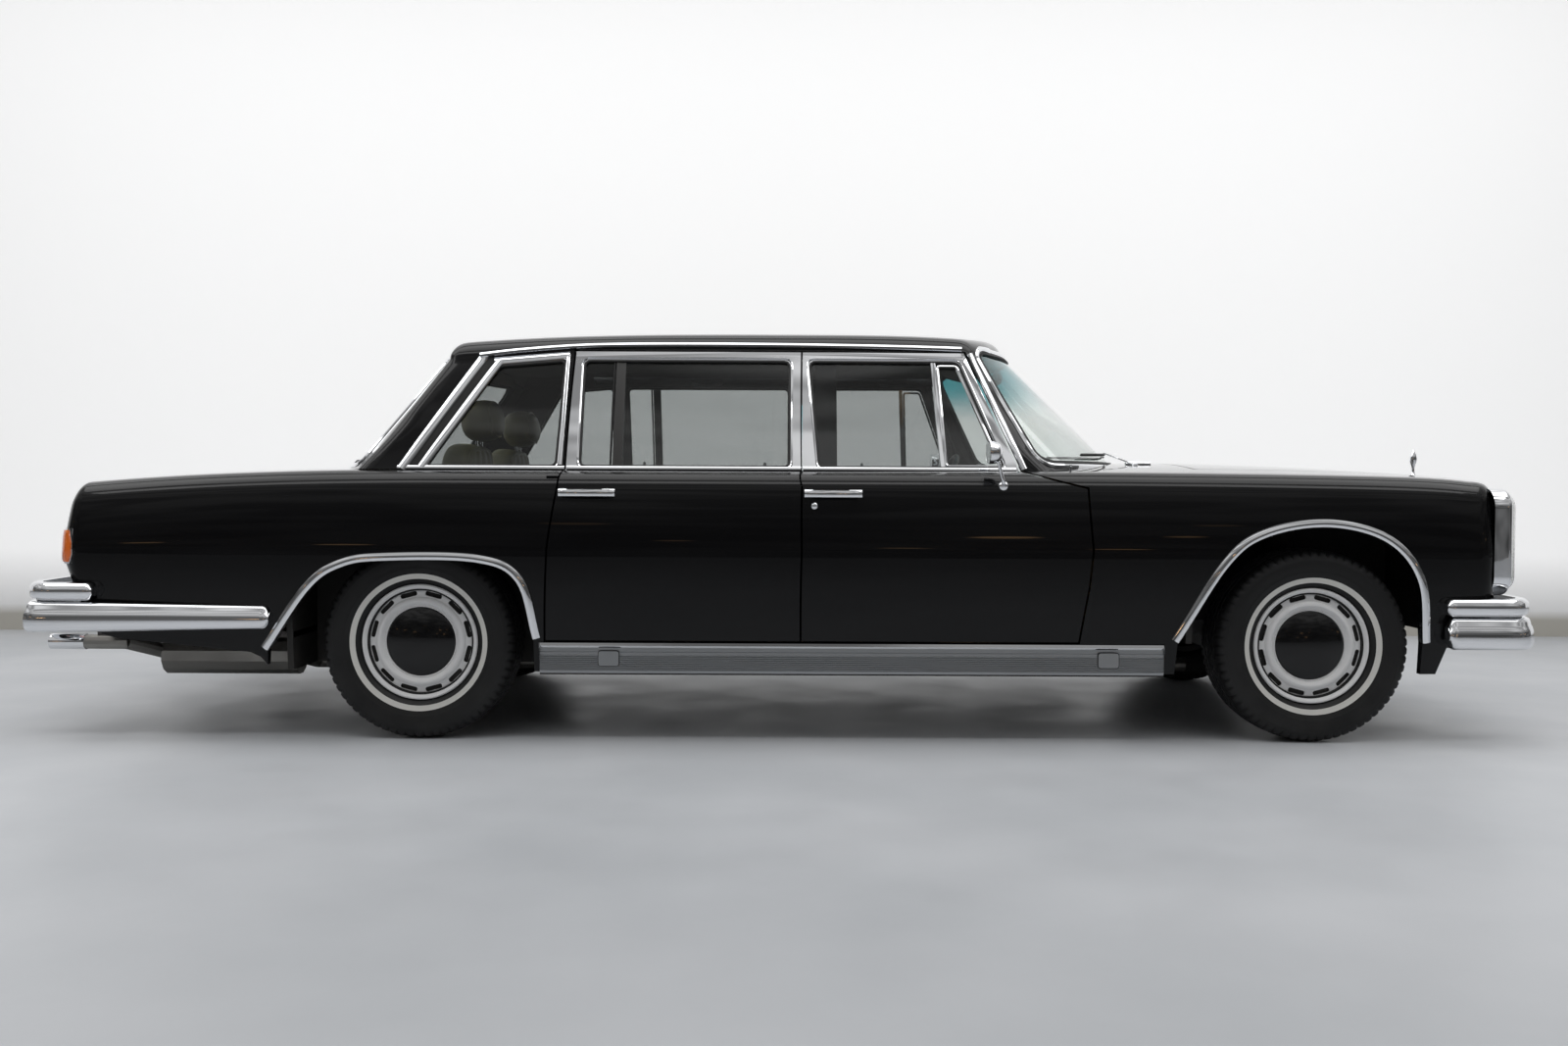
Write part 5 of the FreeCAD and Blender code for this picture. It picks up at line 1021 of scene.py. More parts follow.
def area_light(name, place, aim, size, power):
    light = linked(name, bpy.data.lights.new(name, "AREA"))
    light.data.shape = "RECTANGLE"
    light.data.size, light.data.size_y = size
    light.data.energy = power
    light.location = place
    light.rotation_euler = (Vector(aim) - Vector(place)).to_track_quat("-Z", "Y").to_euler()


area_light("ceiling_row", (0, -0.6, 4.6), (0, -0.6, 0), (11, 2.2), 140)
area_light("ceiling_front", (0, -2.7, 4.5), (0, -1.7, 0), (11, 0.8), 80)
area_light("wall_wash", (0, 1.4, 4.4), (0, WALL_Y, 1.2), (12, 0.8), 34)

# %% [markdown]
# Bright strips trace nearly every edge of this car. One helper sweeps a small profile along a line that lies
# on the body. The profile's first number runs across the strip and its second stands off the surface.

# %% Strips
def swept(path, steps, outward, profile):
    """One ring of the profile at each point of a path, square to the path's step there."""
    rings = []
    for p, t, n in zip(path, steps, outward):
        n = unit(n - t * (n @ t))
        b = np.cross(t, n)
        rings.append([p + b * u + n * v for u, v in profile])
    return rings


def strip(name, path, outward, profile):
    """Sweep a closed profile along a path. The outward direction is one for each point, or one for all."""
    path = np.array(path, float)
    outward = np.broadcast_to(np.array(outward, float), path.shape)
    return rings_object(name, swept(path, unit(np.gradient(path, axis=0)), outward, profile))


def closed_strip(name, outline, count, find, profile):
    """Sweep a profile round a closed outline. Each point of it is found on the greenhouse."""
    flat = even(np.array(outline + outline[:1]), count + 1)[:-1]
    path, out = (np.array(part) for part in zip(*(find(*p) for p in flat)))
    steps = unit(np.roll(path, -1, 0) - np.roll(path, 1, 0))
    rings = swept(path, steps, out, profile)
    return outwards(rings_object(name, rings + rings[:1], False), True)


def dome(width, rise):
    """A strip's profile: a shallow dome on a flat foot, edge to edge."""
    inner = [(width / 2 * math.cos(a), rise * math.sin(a) ** 0.8) for a in np.linspace(math.pi, 0, 8)[1:-1]]
    w = width / 2
    return [(-w, -0.002), (-w, 0.0)] + inner + [(w, 0.0), (w, -0.002)]


def flat_bar(half, low, high):
    return [(-half, low), (-half, high), (half, high), (half, low)]


def on_body(x, z):
    """A point of the right side and its outward direction, read from the uncut skins."""
    source = SKIN_SOURCE if z < float(crest(x)) - 0.004 else CABIN_SOURCE
    return source.hit((x, -1.5, z), (0, 1, 0), (x, -skin_half(x, z), z))


def cabin_point(x, z):
    """A point of the greenhouse's right side and its outward direction."""
    return CABIN_SOURCE.hit((x, -1.5, z), (0, 1, 0), (x, -0.75, z))


def dress(piece, material, angle=None, body="shell", name=None):
    """Shade a piece, give it its material, and let it ride on its body."""
    if angle:
        shade(piece, angle)
    if name:
        piece.name = name
    piece.data.materials.clear()
    piece.data.materials.append(material)
    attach(piece, body)
    return piece


def pair(piece, bodies, material, angle=35, name=None):
    """Dress a piece on the right and make its twin on the left."""
    name = name or piece.name
    piece.name = name + "_right"
    twin = other_side(piece, name + "_left")
    right, left = bodies if isinstance(bodies, tuple) else (bodies, bodies)
    return dress(piece, material, angle, right), dress(twin, material, angle, left)


def chrome_pair(piece, bodies="shell", angle=35):
    return pair(piece, bodies, chrome, angle)


FRONT_DOORS, REAR_DOORS = (("door_%s_right" % end, "door_%s_left" % end) for end in ("front", "rear"))

# %% [markdown]
# The wheel-arch trims are broad domed strips that turn in under the arch. The line is the arch's own edge,
# moved out by half a strip.

# %% Arch trims
def arch_trim(end, w=0.015):
    line = arch_line(end, 90)
    steps = np.gradient(line, axis=0)
    middle = line + unit(np.stack([-steps[:, 1], steps[:, 0]], 1)) * (w - 0.002)
    path, out = (np.array(part) for part in zip(*(on_body(x, z) for x, z in middle)))
    profile = [(-w, -0.004), (-w, 0.001), (-w * 0.8, 0.0065), (-w * 0.3, 0.0095), (w * 0.3, 0.011), (w * 0.75, 0.010),
               (w, 0.0065), (w + 0.001, -0.018), (w - 0.003, -0.018), (w - 0.004, -0.004)]
    return strip("arch_trim_" + end, path, out * (1, 1, 0.3), profile)


for end in ("front", "rear"):
    chrome_pair(arch_trim(end))

# %% [markdown]
# The belt strip runs below the windows and is cut at each door gap, because each door carries its own length
# of it. The drip rail above the doors stays with the roof.

# %% Belt strip, drip rail and pillar louvres
BELT_PROFILE = [(-0.008, -0.003), (-0.008, 0.002), (-0.0055, 0.0055), (0, 0.007), (0.0055, 0.0055), (0.008, 0.002),
                (0.008, -0.003)]
BELT_Z = 0.9735
for name, x0, x1, bodies in (("quarter", -1.372, -0.773, "shell"), ("rear_door", -0.765, 0.0745, REAR_DOORS),
                             ("front_door", 0.0815, 0.850, FRONT_DOORS)):
    path = [(x, -float(side_at(x, BELT_Z, 0)), BELT_Z) for x in np.linspace(x0, x1, 24)]
    chrome_pair(strip("belt_" + name, path, (0, -1.0, 0.40), BELT_PROFILE), bodies)


def on_cabin(points, count):
    flat = smooth_line(points, count) if len(points) > 2 else np.linspace(*points, count)
    return (np.array(part) for part in zip(*(cabin_point(x, z) for x, z in flat)))


def cabin_strip(name, points, count, profile):
    return strip(name, *on_cabin(points, count), profile)


RAIL = [(-1.106, 1.387), (-0.95, 1.406), (-0.72, 1.4235), (-0.45, 1.4290), (-0.1, 1.4295), (0.25, 1.4265),
        (0.50, 1.4225), (0.668, 1.4185)]
RAIL_PROFILE = [(-0.010, -0.004), (-0.010, 0.004), (-0.007, 0.012), (0.001, 0.0155), (0.008, 0.013), (0.010, 0.006),
                (0.010, -0.004)]
PILLAR = ((-1.375, 0.968), (-1.106, 1.387))
path, out = on_cabin(RAIL, 60)
chrome_pair(strip("drip_rail", path, (0, -1.0, 0.25), RAIL_PROFILE))


def along_pillar(foot_ahead, foot_z, head_ahead, head_z, count=40):
    """Points and directions on the rear pillar, at given distances ahead of its rear edge."""
    return on_cabin([(PILLAR[0][0] + foot_ahead, foot_z), (PILLAR[1][0] + head_ahead, head_z)], count)


path, out = along_pillar(0, PILLAR[0][1], 0, PILLAR[1][1])
chrome_pair(strip("pillar_trim_rear", path + (0.018, 0, 0), out, dome(0.034, 0.009)))
chrome_pair(strip("pillar_trim_front", *along_pillar(0.090, 0.975, 0.076, 1.368), dome(0.030, 0.008)))
pair(strip("pillar_louvre_bed", *along_pillar(0.057, 0.970, 0.050, 1.378), flat_bar(0.018, -0.003, 0.0010)), "shell",
     rubber)


def louvre_bars():
    points, faces = [], []
    line, outs = along_pillar(0.057, 0.980, 0.050, 1.370, 62)
    upward = unit(line[-1] - line[0])
    for p, n in zip(line, outs):
        side, base = unit(np.cross(upward, n)), len(points)
        for u, v in box_outline(-0.012, 0.012, -0.0011, 0.0011):
            points += [p + side * u + upward * v + n * lift for lift in (0.0005, 0.0032)]
        for f in ((0, 2, 4, 6), (1, 7, 5, 3), (0, 1, 3, 2), (2, 3, 5, 4), (4, 5, 7, 6), (6, 7, 1, 0)):
            faces.append(tuple(base + i for i in f))
    return new_object("pillar_louvres", points, faces)


pair(louvre_bars(), "shell", plastic)
for name, ends, wide in (("top", [(-1.052, 1.3655), (-0.776, 1.3885)], 0.032),
                         ("side", [(-0.7895, 0.984), (-0.7815, 1.392)], 0.015)):
    chrome_pair(cabin_strip("quarter_band_" + name, ends, 24, dome(wide, 0.005)))

# %% [markdown]
# Each window has a rubber seal inside its bright frame. The door frames also get a raised bead, so that they
# read as folded sheet and not as flat plate.

# %% Window seals, beads and the vent pane
def outline_strip(name, points, radius, profile, inset):
    """A closed strip round a window outline on the greenhouse's side."""
    return closed_strip(name, rounded(grown(points, -inset), radius), 160, cabin_point, profile)


def ridge(half, low, edge, top):
    return [(-half, low), (-half, edge), (0, top), (half, edge), (half, low)]


for window, points, bodies in (("rear", REAR_WINDOW, REAR_DOORS), ("front", FRONT_WINDOW, FRONT_DOORS),
                               ("quarter", QUARTER_WINDOW, "shell")):
    pair(outline_strip("window_seal_" + window, points, 0.022, ridge(0.004, -0.016, 0.0005, 0.002), 0.001), bodies,
         rubber)
    chrome_pair(outline_strip("window_bead_" + window, points, 0.026, ridge(0.0035, -0.002, 0.001, 0.0032), -0.0075),
                bodies)
for name, low, high, width, top, look, bodies, slot_name, deep in (
        ("pillar_fill", (0.925, 1.000), (0.700, 1.398), 0.040, -0.004, paint, "shell", "body_paint", -0.013),
        ("vent_divider", (0.5865, 0.982), (0.560, 1.370), 0.017, 0.001, chrome, FRONT_DOORS, "chrome", -0.018),
        ("rear_divider", (-0.585, 0.982), (-0.585, 1.370), 0.034, -0.004, plastic, REAR_DOORS, "dash_trim", -0.030),
        ("rear_divider_pane", (-0.61, 0.982), (-0.61, 1.370), 0.006, -0.0045, rubber, REAR_DOORS, "dash_trim",
         -0.018)):
    w = width / 2
    profile = [(-w, deep), (-w, top * 0.5), (-w * 0.6, top), (w * 0.6, top), (w, top * 0.5), (w, deep)]
    pair(cabin_strip(name, [low, high], 12, profile), bodies, look)
VENT = [(0.598, 0.986), (0.576, 1.355), (0.648, 1.355), (0.796, 0.986)]
chrome_pair(outline_strip("vent_frame", VENT, 0.010, ridge(0.0045, -0.014, 0.0, 0.0015), 0.0), FRONT_DOORS)

# %% [markdown]
# A bright strip and a rubber line frame the windscreen and the backlight. Their lines come from rays cast
# along the car onto the greenhouse.

# %% Screen surrounds
BRIGHT_EDGE = [(-0.010, -0.003), (-0.010, 0.002), (-0.005, 0.0065), (0.003, 0.007), (0.010, 0.002), (0.010, -0.003)]


def screen_point(sign):
    return lambda y, z: CABIN_SOURCE.hit((sign * 3, y, z), (-sign, 0, 0), (sign * 1.1, y, z))


for name, sign in (("screen", 1), ("backlight", -1)):
    for part, grow, profile, look, slot_name in (("_seal", 0.0, flat_bar(0.006, -0.016, 0.0015), rubber, "dash_trim"),
                                                 ("_bright", 0.014, BRIGHT_EDGE, chrome, "chrome")):
        ring = closed_strip(name + part, screen_outline(sign, grow, 8), 240, screen_point(sign), profile)
        dress(ring, look, 35)
chrome_pair(cabin_strip("screen_post_trim", [(0.880, 0.975), (0.700, 1.405)], 30, dome(0.024, 0.007)))

# %% [markdown]
# Behind the panels are the plain pressings that hold the car together: sills and posts round the doors,
# and boxes round the wheels. They show through the gaps, the arches and the open doors, so they are cut to
# stay inside the smooth skin.

# %% Posts, sills and wheel houses
POST_IN, POST_FOOT = -0.7777, 0.3565
upper_posts = common("upper_posts", cut("upper_posts", CABIN_IN, cabin_skin("cabin_post", 0.062)), joined(
    "t", block(0.1298, 0.2058, -0.8327, 0, 0.868, ROOF_SPLIT), block(-0.865, 0.718, -0.9, 0, 1.382, ROOF_SPLIT)))
posts = joined("side_frame", block(-0.8277, 1.365, -0.928, -0.735, 0.245, 0.357),
               block(0.1298, 0.2058, -0.8327, POST_IN, POST_FOOT, 0.967),
               block(1.1603, 1.2363, -0.928, POST_IN, POST_FOOT, 0.884),
               cut("rear_post", block(-0.8277, -0.695, -0.928, POST_IN, POST_FOOT, 0.945), DOORWAY), upper_posts)
front_house = joined("t", block(1.470, 2.345, -0.935, -0.470, 0.872, 0.894),
                     block(1.395, 2.570, -0.470, -0.448, 0.400, 0.894),
                     block(1.448, 1.4705, -0.935, -0.4695, 0.357, 0.894),
                     block(2.3445, 2.367, -0.905, -0.4695, 0.400, 0.894),
                     block(BONNET_REAR, 2.3455, -0.729, -0.707, 0.8935, 0.927))
rear_house = cut("t", block(-1.757, -0.828, -0.935, -0.626, 0.248, 0.822),
                 block(-1.735, -0.850, -2, -0.648, -1, 0.800), block(-1.339, -1.241, -0.670, -0.604, -1, 0.396))
pair(posts, "shell", paint, 30)
for name, house in (("houses_front", front_house), ("houses_rear", rear_house)):
    # Both sides take one name, the left one first, so Blender puts a number after the right one's name.
    for made in reversed(pair(common("t", house, BODY_40), "shell", under_black, 30)):
        made.name = name
for name, look, piece in (
        ("parcel_shelf", carpet, common("t", block(-1.758, -1.4203, -0.92, 0.92, 0.903, 0.925), BODY_40)),
        ("boot_floor", carpet, common("t", block(-2.56, -1.735, -0.90, 0.90, 0.363, 0.385), BODY_40)),
        ("radiator", under_black, block(2.516, 2.5595, -0.262, 0.262, 0.505, 0.872))):
    dress(piece, look, 30, name=name)
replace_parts(pieces["pillars"], "cabin_frame_right", "cabin_frame_left")

# %% [markdown]
# A wheel is spun from profiles. The tyre's profile has grooves in its tread, and every fourth slice at the
# shoulder is pressed in to make the blocks. The bright disc is cut by twelve slots with round ends, as in
# the photograph, and the cap is a plain black dome.

# %% Wheels
def spun(name, profile, count=128, closed=True, shape=None):
    """Turn a profile of (outward, radius) pairs round the axle. The shape function may move single points."""
    points, faces, n = [], [], len(profile)
    for i in range(count):
        a = 2 * math.pi * i / count
        for j, (y, r) in enumerate(profile):
            y, r = shape(i, j, y, r) if shape else (y, r)
            points.append((r * math.cos(a), -y, r * math.sin(a)))
    for i in range(count):
        a, b = i * n, (i + 1) % count * n
        faces += [(a + j, a + (j + 1) % n, b + (j + 1) % n, b + j) for j in range(n if closed else n - 1)]
    return outwards(new_object(name, points, faces), True)


def placed(piece, place, axis="X", turn=0):
    """Turns a spun piece away from the wheels' axle and moves it to its place."""
    if turn:
        piece.data.transform(Matrix.Rotation(math.radians(turn), 4, axis))
    piece.data.transform(Matrix.Translation(Vector(place)))
    return piece


SIDEWALL = [(0.0805, 0.2085), (0.0865, 0.2115), (0.0925, 0.2165), (0.0985, 0.2245), (0.1005, 0.2270), (0.1015, 0.2275),
            (0.1085, 0.2464), (0.1083, 0.2470), (0.1112, 0.2570), (0.1132, 0.2640), (0.1138, 0.2645), (0.1142, 0.2665),
            (0.1140, 0.2680), (0.1160, 0.2800), (0.1170, 0.2930), (0.1165, 0.3040), (0.1155, 0.3080), (0.1158, 0.3090),
            (0.1150, 0.3110), (0.1130, 0.3190), (0.1095, 0.3270), (0.1040, 0.3345), (0.0960, 0.3400), (0.0860, 0.3432)]
TREAD = [(0.0700, 0.3452), (0.0662, 0.3453), (0.0655, 0.3390), (0.0590, 0.3390), (0.0583, 0.3458), (0.0320, 0.3466),
         (0.0313, 0.3400), (0.0240, 0.3400), (0.0233, 0.3468), (0.0040, 0.3470), (0.0034, 0.3400)]
SHOULDER_Y, WHITE_IN, WHITE_OUT = 0.0855, 0.2274, 0.2465
tyre_profile = SIDEWALL + TREAD + [(-y, r) for y, r in reversed(SIDEWALL + TREAD)]
shoulder = [j for j, (y, r) in enumerate(tyre_profile) if abs(y) > SHOULDER_Y and r > 0.326]
blocks = [j for j, (y, r) in enumerate(tyre_profile) if abs(y) < SHOULDER_Y and r > 0.3440]


def tread_cut(i, j, y, r):
    if j in shoulder and i % 4 == 0:
        return y * 0.975, r - 0.0045
    if j in blocks and (i + int(abs(y) * 90)) % 6 == 0:
        return y, r - 0.0035
    return y, r


tyre = shade(spun("tyre", tyre_profile + [(-0.0805, 0.1850), (0.0805, 0.1850)], 264, True, tread_cut), 32)
for polygon in tyre.data.polygons:
    r = math.hypot(polygon.center.x, polygon.center.z)
    polygon.material_index = int(WHITE_IN < r < WHITE_OUT and polygon.center.y < 0)
RIM = [(0.0800, 0.2070), (0.0860, 0.2080), (0.0905, 0.2062), (0.0925, 0.2030), (0.0915, 0.1990), (0.0870, 0.1945),
       (0.0800, 0.1905), (0.0690, 0.1882), (0.0645, 0.1868), (0.0645, 0.1846), (0.0690, 0.1836), (0.0700, 0.1800),
       (0.0695, 0.1730), (0.0700, 0.1660), (0.0712, 0.1615), (0.0745, 0.1598), (0.0795, 0.1565), (0.0830, 0.1510),
       (0.0835, 0.1450), (0.0805, 0.1395), (0.0750, 0.1350), (0.0700, 0.1320), (0.0680, 0.1295), (0.0700, 0.1282),
       (0.0725, 0.1268), (0.0715, 0.1250), (0.0660, 0.1240), (0.0630, 0.1240), (0.0630, 0.1800), (0.0560, 0.1860),
       (-0.0340, 0.1860), (-0.0800, 0.1860), (-0.0800, 0.2070), (-0.0740, 0.2070), (-0.0740, 0.1900), (0.0740, 0.1900)]
SLOTS = 12
slots = []
for i in range(SLOTS):
    c, s = (f(2 * math.pi * (i + 0.5) / SLOTS) for f in (math.cos, math.sin))
    flat = rounded([(-0.0310, 0.1645), (-0.0310, 0.1815), (0.0310, 0.1815), (0.0310, 0.1645)], 0.0082, 5)
    slots.append(prism([(x * c - z * s, -0.040, x * s + z * c) for x, z in flat], (0, -0.06, 0)))
rim = shade(cut("rim", spun("rim", RIM, 144), *slots), 28)
well = shade(spun("well", [(0.0560, 0.1860), (0.0560, 0.0620), (0.0520, 0.0620), (0.0520, 0.1860)], 96), 30)
CAP = [(0.0660, 0.0), (0.0660, 0.1235), (0.0690, 0.1236), (0.0715, 0.1215), (0.0732, 0.1170)]
CAP += [(0.0925 - 0.0193 * (r / 0.1170) ** 2.2, r)
        for r in (0.110, 0.100, 0.088, 0.074, 0.058, 0.042, 0.028, 0.015, 0.006, 0.0)]
cap = shade(spun("cap", CAP, 96, False), 50)
for piece, looks in ((tyre, (tyre_rubber, white_ring)), (rim, (chrome,)), (well, (under_black,)), (cap, (cap_black,))):
    for look in looks:
        piece.data.materials.append(look)

for end, x in HUB_X.items():
    for side, sign in SIDES:
        for part, kind, original, slot_name in (
                ("tyre", "tyre_dressed", tyre, "tyre"), ("rim", "rim_dressed", rim, "wheel_metal"),
                (None, "wheel_well", well, "wheel_metal"), (None, "hub_cap", cap, "wheel_metal")):
            name = "%s_%s_%s" % (kind, end, side)
            made = linked(name, original.data.copy()) if side == "right" else other_side(original, name)
            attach(placed(made, (x, sign * HUB_Y, HUB_Z)), "wheel_%s_%s" % (end, side))
            if part:
                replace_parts(made, "%s_%s_%s" % (part, end, side))
print("tyre faces:", len(tyre.data.polygons), "rim faces:", len(rim.data.polygons))

# %% [markdown]
# The bumpers are deep pressed bars that wrap round the corners. One path follows the bar's outer face in
# plan, and the profile only goes inwards from it, so the car keeps its length. A second, shorter bar sits
# above each corner.

# %% Bumpers
BAR_HALF, ROUND_END = 0.982, 0.022


def bumper_path(end_x, tip_x, set_in=0.0, inner_y=0.0, count=70):
    s = math.copysign(1, tip_x)
    h, tip = BAR_HALF - set_in, tip_x - s * set_in
    points = [(end_x, -h), ((end_x * 2 + tip) / 3 - s * 0.05, -h), (tip - s * 0.160, -h), (tip - s * 0.112, -h + 0.022),
              (tip - s * 0.076, -h + 0.075), (tip - s * 0.058, -h + 0.150), (tip - s * 0.030, -0.45), (tip, 0.0)]
    line = smooth_line(points, count)
    return line[line[:, 1] <= -inner_y + 1e-9] if inner_y else line


def bar(name, line, heights_at, profile, whole):
    """Sweep a bar's profile. Its numbers are shares of the bar's height and metres inwards."""
    close = [0.0, 0.002, 0.006, 0.012, 0.022]
    end = lengths(line)[-1]
    marks = np.concatenate([close, np.linspace(0.03, end - 0.03, 76), [end - c for c in close]])
    line = read_at(line, np.unique(marks))
    if whole:
        line = np.vstack([line, (line * (1, -1))[::-1][1:]])
    step = unit(np.gradient(line, axis=0))
    out = np.stack([step[:, 1], -step[:, 0]], 1)
    middle = line.mean(0) * 0.5 * (1, 0) if whole else line.mean(0)
    out[((line - middle) * out).sum(1) < 0] *= -1
    rings = []
    for p, n in zip(line, out):
        low, high = heights_at(p)
        gone = min(np.linalg.norm(p - line[0]), np.linalg.norm(p - line[-1])) / ROUND_END
        k = max(0.45, math.sqrt(1 - (1 - min(gone, 1.0)) ** 2))
        rings.append([(*(p + n * (d - (1 - k) * 0.014)), low + (high - low) * (0.5 + (share - 0.5) * k))
                      for share, d in profile])
    return rings_object(name, rings)


LOWER = [(0.0, -0.030), (0.02, -0.016), (0.08, -0.006), (0.20, -0.001), (0.40, 0.0), (0.58, -0.0015), (0.70, -0.006),
         (0.78, -0.011), (0.88, -0.013), (0.96, -0.018), (1.0, -0.028), (1.0, -0.040), (0.0, -0.040)]
UPPER = [(0.0, -0.026), (0.06, -0.012), (0.22, -0.002), (0.5, 0.0), (0.78, -0.002), (0.94, -0.012), (1.0, -0.026),
         (0.98, -0.044), (0.02, -0.044)]


def rear_heights(p):
    """The rear bar is a little narrower towards its front ends."""
    t = np.clip((p[0] + 2.55) / 0.75, 0, 1) if abs(p[1]) > 0.9 else 0
    return 0.384 + 0.014 * t, 0.492 - 0.010 * t


for end, line, heights_at in (("front", bumper_path(2.362, 2.770), lambda p: (0.343, 0.456)),
                              ("rear", bumper_path(-1.800, -2.770), rear_heights)):
    made = dress(bar(end + "_bumper_bar", line, heights_at, LOWER, True), chrome, 40)
    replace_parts(made, end + "_bumper")
for end, line, heights_at in (("front", bumper_path(2.357, 2.762, 0.008, 0.575), lambda p: (0.4585, 0.525)),
                              ("rear", bumper_path(-2.425, -2.762, 0.008, 0.575), lambda p: (0.494, 0.561))):
    chrome_pair(bar(end + "_bumper_upper", line, heights_at, UPPER, False), angle=40)
for end, x0, x1, z in (("front", 2.50, 2.735, 0.365), ("rear", -2.735, -2.45, 0.402)):
    pair(block(x0, x1, -0.490, -0.430, z, z + 0.060), "shell", under_black, 30, "bumper_iron_" + end)

# %% [markdown]
# The headlamp is one tall unit with a rounded outline. Its bright bezel and its clear lens are rings of the
# same outline, shrunk step by step. Inside are a large reflector bowl and a small one below it.

# %% Headlamps
LAMP_Y, LAMP_Z, LENS_BACK = -0.7975, 0.722, 2.606


def corner_ring(x, corners, r, count):
    """A ring of four round corners, each given by its centre, in the plane across the car."""
    turns = [(y, z, math.radians(90 * k + 90 * i / (count // 4 - 1)))
             for k, (y, z) in enumerate(corners) for i in range(count // 4)]
    return [(x, y + r * math.cos(t), z + r * math.sin(t)) for y, z, t in turns]


def lamp_ring(x, inset):
    """The lamp's outline at one place along the car, pulled in by an even distance."""
    a, b, r = 0.1075 - inset, 0.193 - inset, max(0.012, 0.072 - inset)
    corners = [(a - r, b - r), (-a + r, b - r), (-a + r, -b + r), (a - r, -b + r)]
    return corner_ring(x, [(LAMP_Y + y, LAMP_Z + z) for y, z in corners], r, 96)


BEZEL = ((2.548, 0.0), (2.598, 0.0), (2.607, 0.002), (2.613, 0.006), (2.615, 0.011), (2.612, 0.015), (2.604, 0.017),
         (2.550, 0.018), (2.548, 0.018))
lens_rings = [lamp_ring(LENS_BACK, 0.0175)]
for t in np.linspace(0.05, 0.97, 14) * math.pi / 2:
    lens_rings.append(lamp_ring(2.610 + 0.0435 * math.sin(t), 0.0175 + 0.088 * (1 - math.cos(t)) ** 1.15))
lens = rings_object("headlamp_lens", lens_rings)
mesh = bmesh.new()
mesh.from_mesh(lens.data)
back = [f for f in mesh.faces if all(abs(v.co.x - LENS_BACK) < 1e-4 for v in f.verts)]
bmesh.ops.delete(mesh, geom=back, context="FACES")
bmesh.ops.delete(mesh, geom=[v for v in mesh.verts if not v.link_faces], context="VERTS")
mesh.to_mesh(lens.data)
mesh.free()
thick = lens.modifiers.new("glass", "SOLIDIFY")
thick.thickness = 0.004
thick.offset = -1
applied(lens, "headlamp_lens")


def bowl(name, z, radius, depth, front_x):
    profile = [(depth * (1 - (r / radius) ** 2) - front_x, r) for r in np.linspace(0.004, radius, 16)]
    profile += [(-(front_x + 0.002), radius + 0.003), (-(front_x - depth - 0.003), radius + 0.003),
                (-(front_x - depth - 0.003), 0.004)]
    piece = placed(spun(name, profile, 64), (0, LAMP_Y, z), "Z", -90)
    if piece.data.vertices[0].co.x < 0:
        piece.data.transform(Matrix.Scale(-1, 4, (1, 0, 0)))
    return piece


chrome_pair(rings_object("headlamp_bezel", [lamp_ring(*place) for place in BEZEL], False), angle=40)
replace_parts(pair(lens, "shell", lamp_glass, 40)[0], "headlamps")
for piece, look in ((bowl("headlamp_bowl", 0.790, 0.083, 0.045, 2.606), mirror_face),
                    (bowl("headlamp_low_bowl", 0.618, 0.052, 0.032, 2.604), mirror_face),
                    (rings_object("headlamp_backing", [lamp_ring(x, 0.018) for x in (2.550, 2.556)]), satin)):
    pair(piece, "shell", look, 40)

# %% [markdown]
# The radiator shell is a rounded frame, filled by thin horizontal bars and one upright. The finial on top is
# a plain turned ornament.

# %% Grille and finial
GRILLE_HALF, BARS_HALF = 0.262, 0.240


def grille_ring(x, inset):
    a, low, high, r = GRILLE_HALF - inset, 0.505 + inset, 0.958 - inset * 1.6, max(0.008, 0.034 - inset * 0.6)
    return corner_ring(x, [(a - r, high - r), (-a + r, high - r), (-a + r, low + r), (a - r, low + r)], r, 88)


GRILLE_EDGE = ((2.601, 0.0), (2.660, 0.0), (2.676, 0.003), (2.684, 0.008), (2.687, 0.014), (2.684, 0.019),
               (2.674, 0.022), (2.610, 0.024), (2.601, 0.024), (2.601, 0.0))
grille_shell = rings_object("grille_shell", [grille_ring(*place) for place in GRILLE_EDGE], False)
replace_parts(dress(grille_shell, chrome, 40), "grille")


def grille_bars():
    points, faces = [], []
    for z in np.arange(0.552, 0.912, 0.0220):
        section = [(2.640, z - 0.0032), (2.664, z - 0.0032), (2.6675, z), (2.664, z + 0.0032), (2.640, z + 0.0032)]
        base = len(points)
        points += [(x, y, h) for y in (-BARS_HALF, BARS_HALF) for x, h in section]
        faces += [tuple(base + i for i in (4, 3, 2, 1, 0)), tuple(base + 5 + i for i in range(5))]
        faces += [(base + i, base + (i + 1) % 5, base + 5 + (i + 1) % 5, base + 5 + i) for i in range(5)]
    return new_object("grille_bars", points, faces)


dress(grille_bars(), chrome, 30)
dress(strip("grille_upright", [(2.672, 0, z) for z in np.linspace(0.527, 0.922, 20)], (1.0, 0, 0), [
    (-0.007, -0.030), (-0.007, 0.004), (-0.003, 0.009), (0.003, 0.009), (0.007, 0.004), (0.007, -0.030)]),
      chrome, 35)
dress(block(2.604, 2.612, -BARS_HALF, BARS_HALF, 0.528, 0.925), under_black, name="grille_back")
FINIAL = [(0.0, 0.0), (0.0, 0.0165), (0.004, 0.0168), (0.010, 0.0135), (0.016, 0.0095), (0.026, 0.0062),
          (0.040, 0.0056), (0.052, 0.0080), (0.066, 0.0130), (0.080, 0.0150), (0.094, 0.0128), (0.108, 0.0075),
          (0.118, 0.0028), (0.121, 0.0)]
finial = placed(spun("finial_dressed", FINIAL, 64, False), (2.660, 0, 0.958), "X", -90)
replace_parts(dress(finial, chrome, 60), "bonnet_finial")

# %% [markdown]
# Each tail lamp wraps round the corner. It is cut from a skin that stands a few millimetres off the body,
# and the bezel is the same cut made larger and lower.

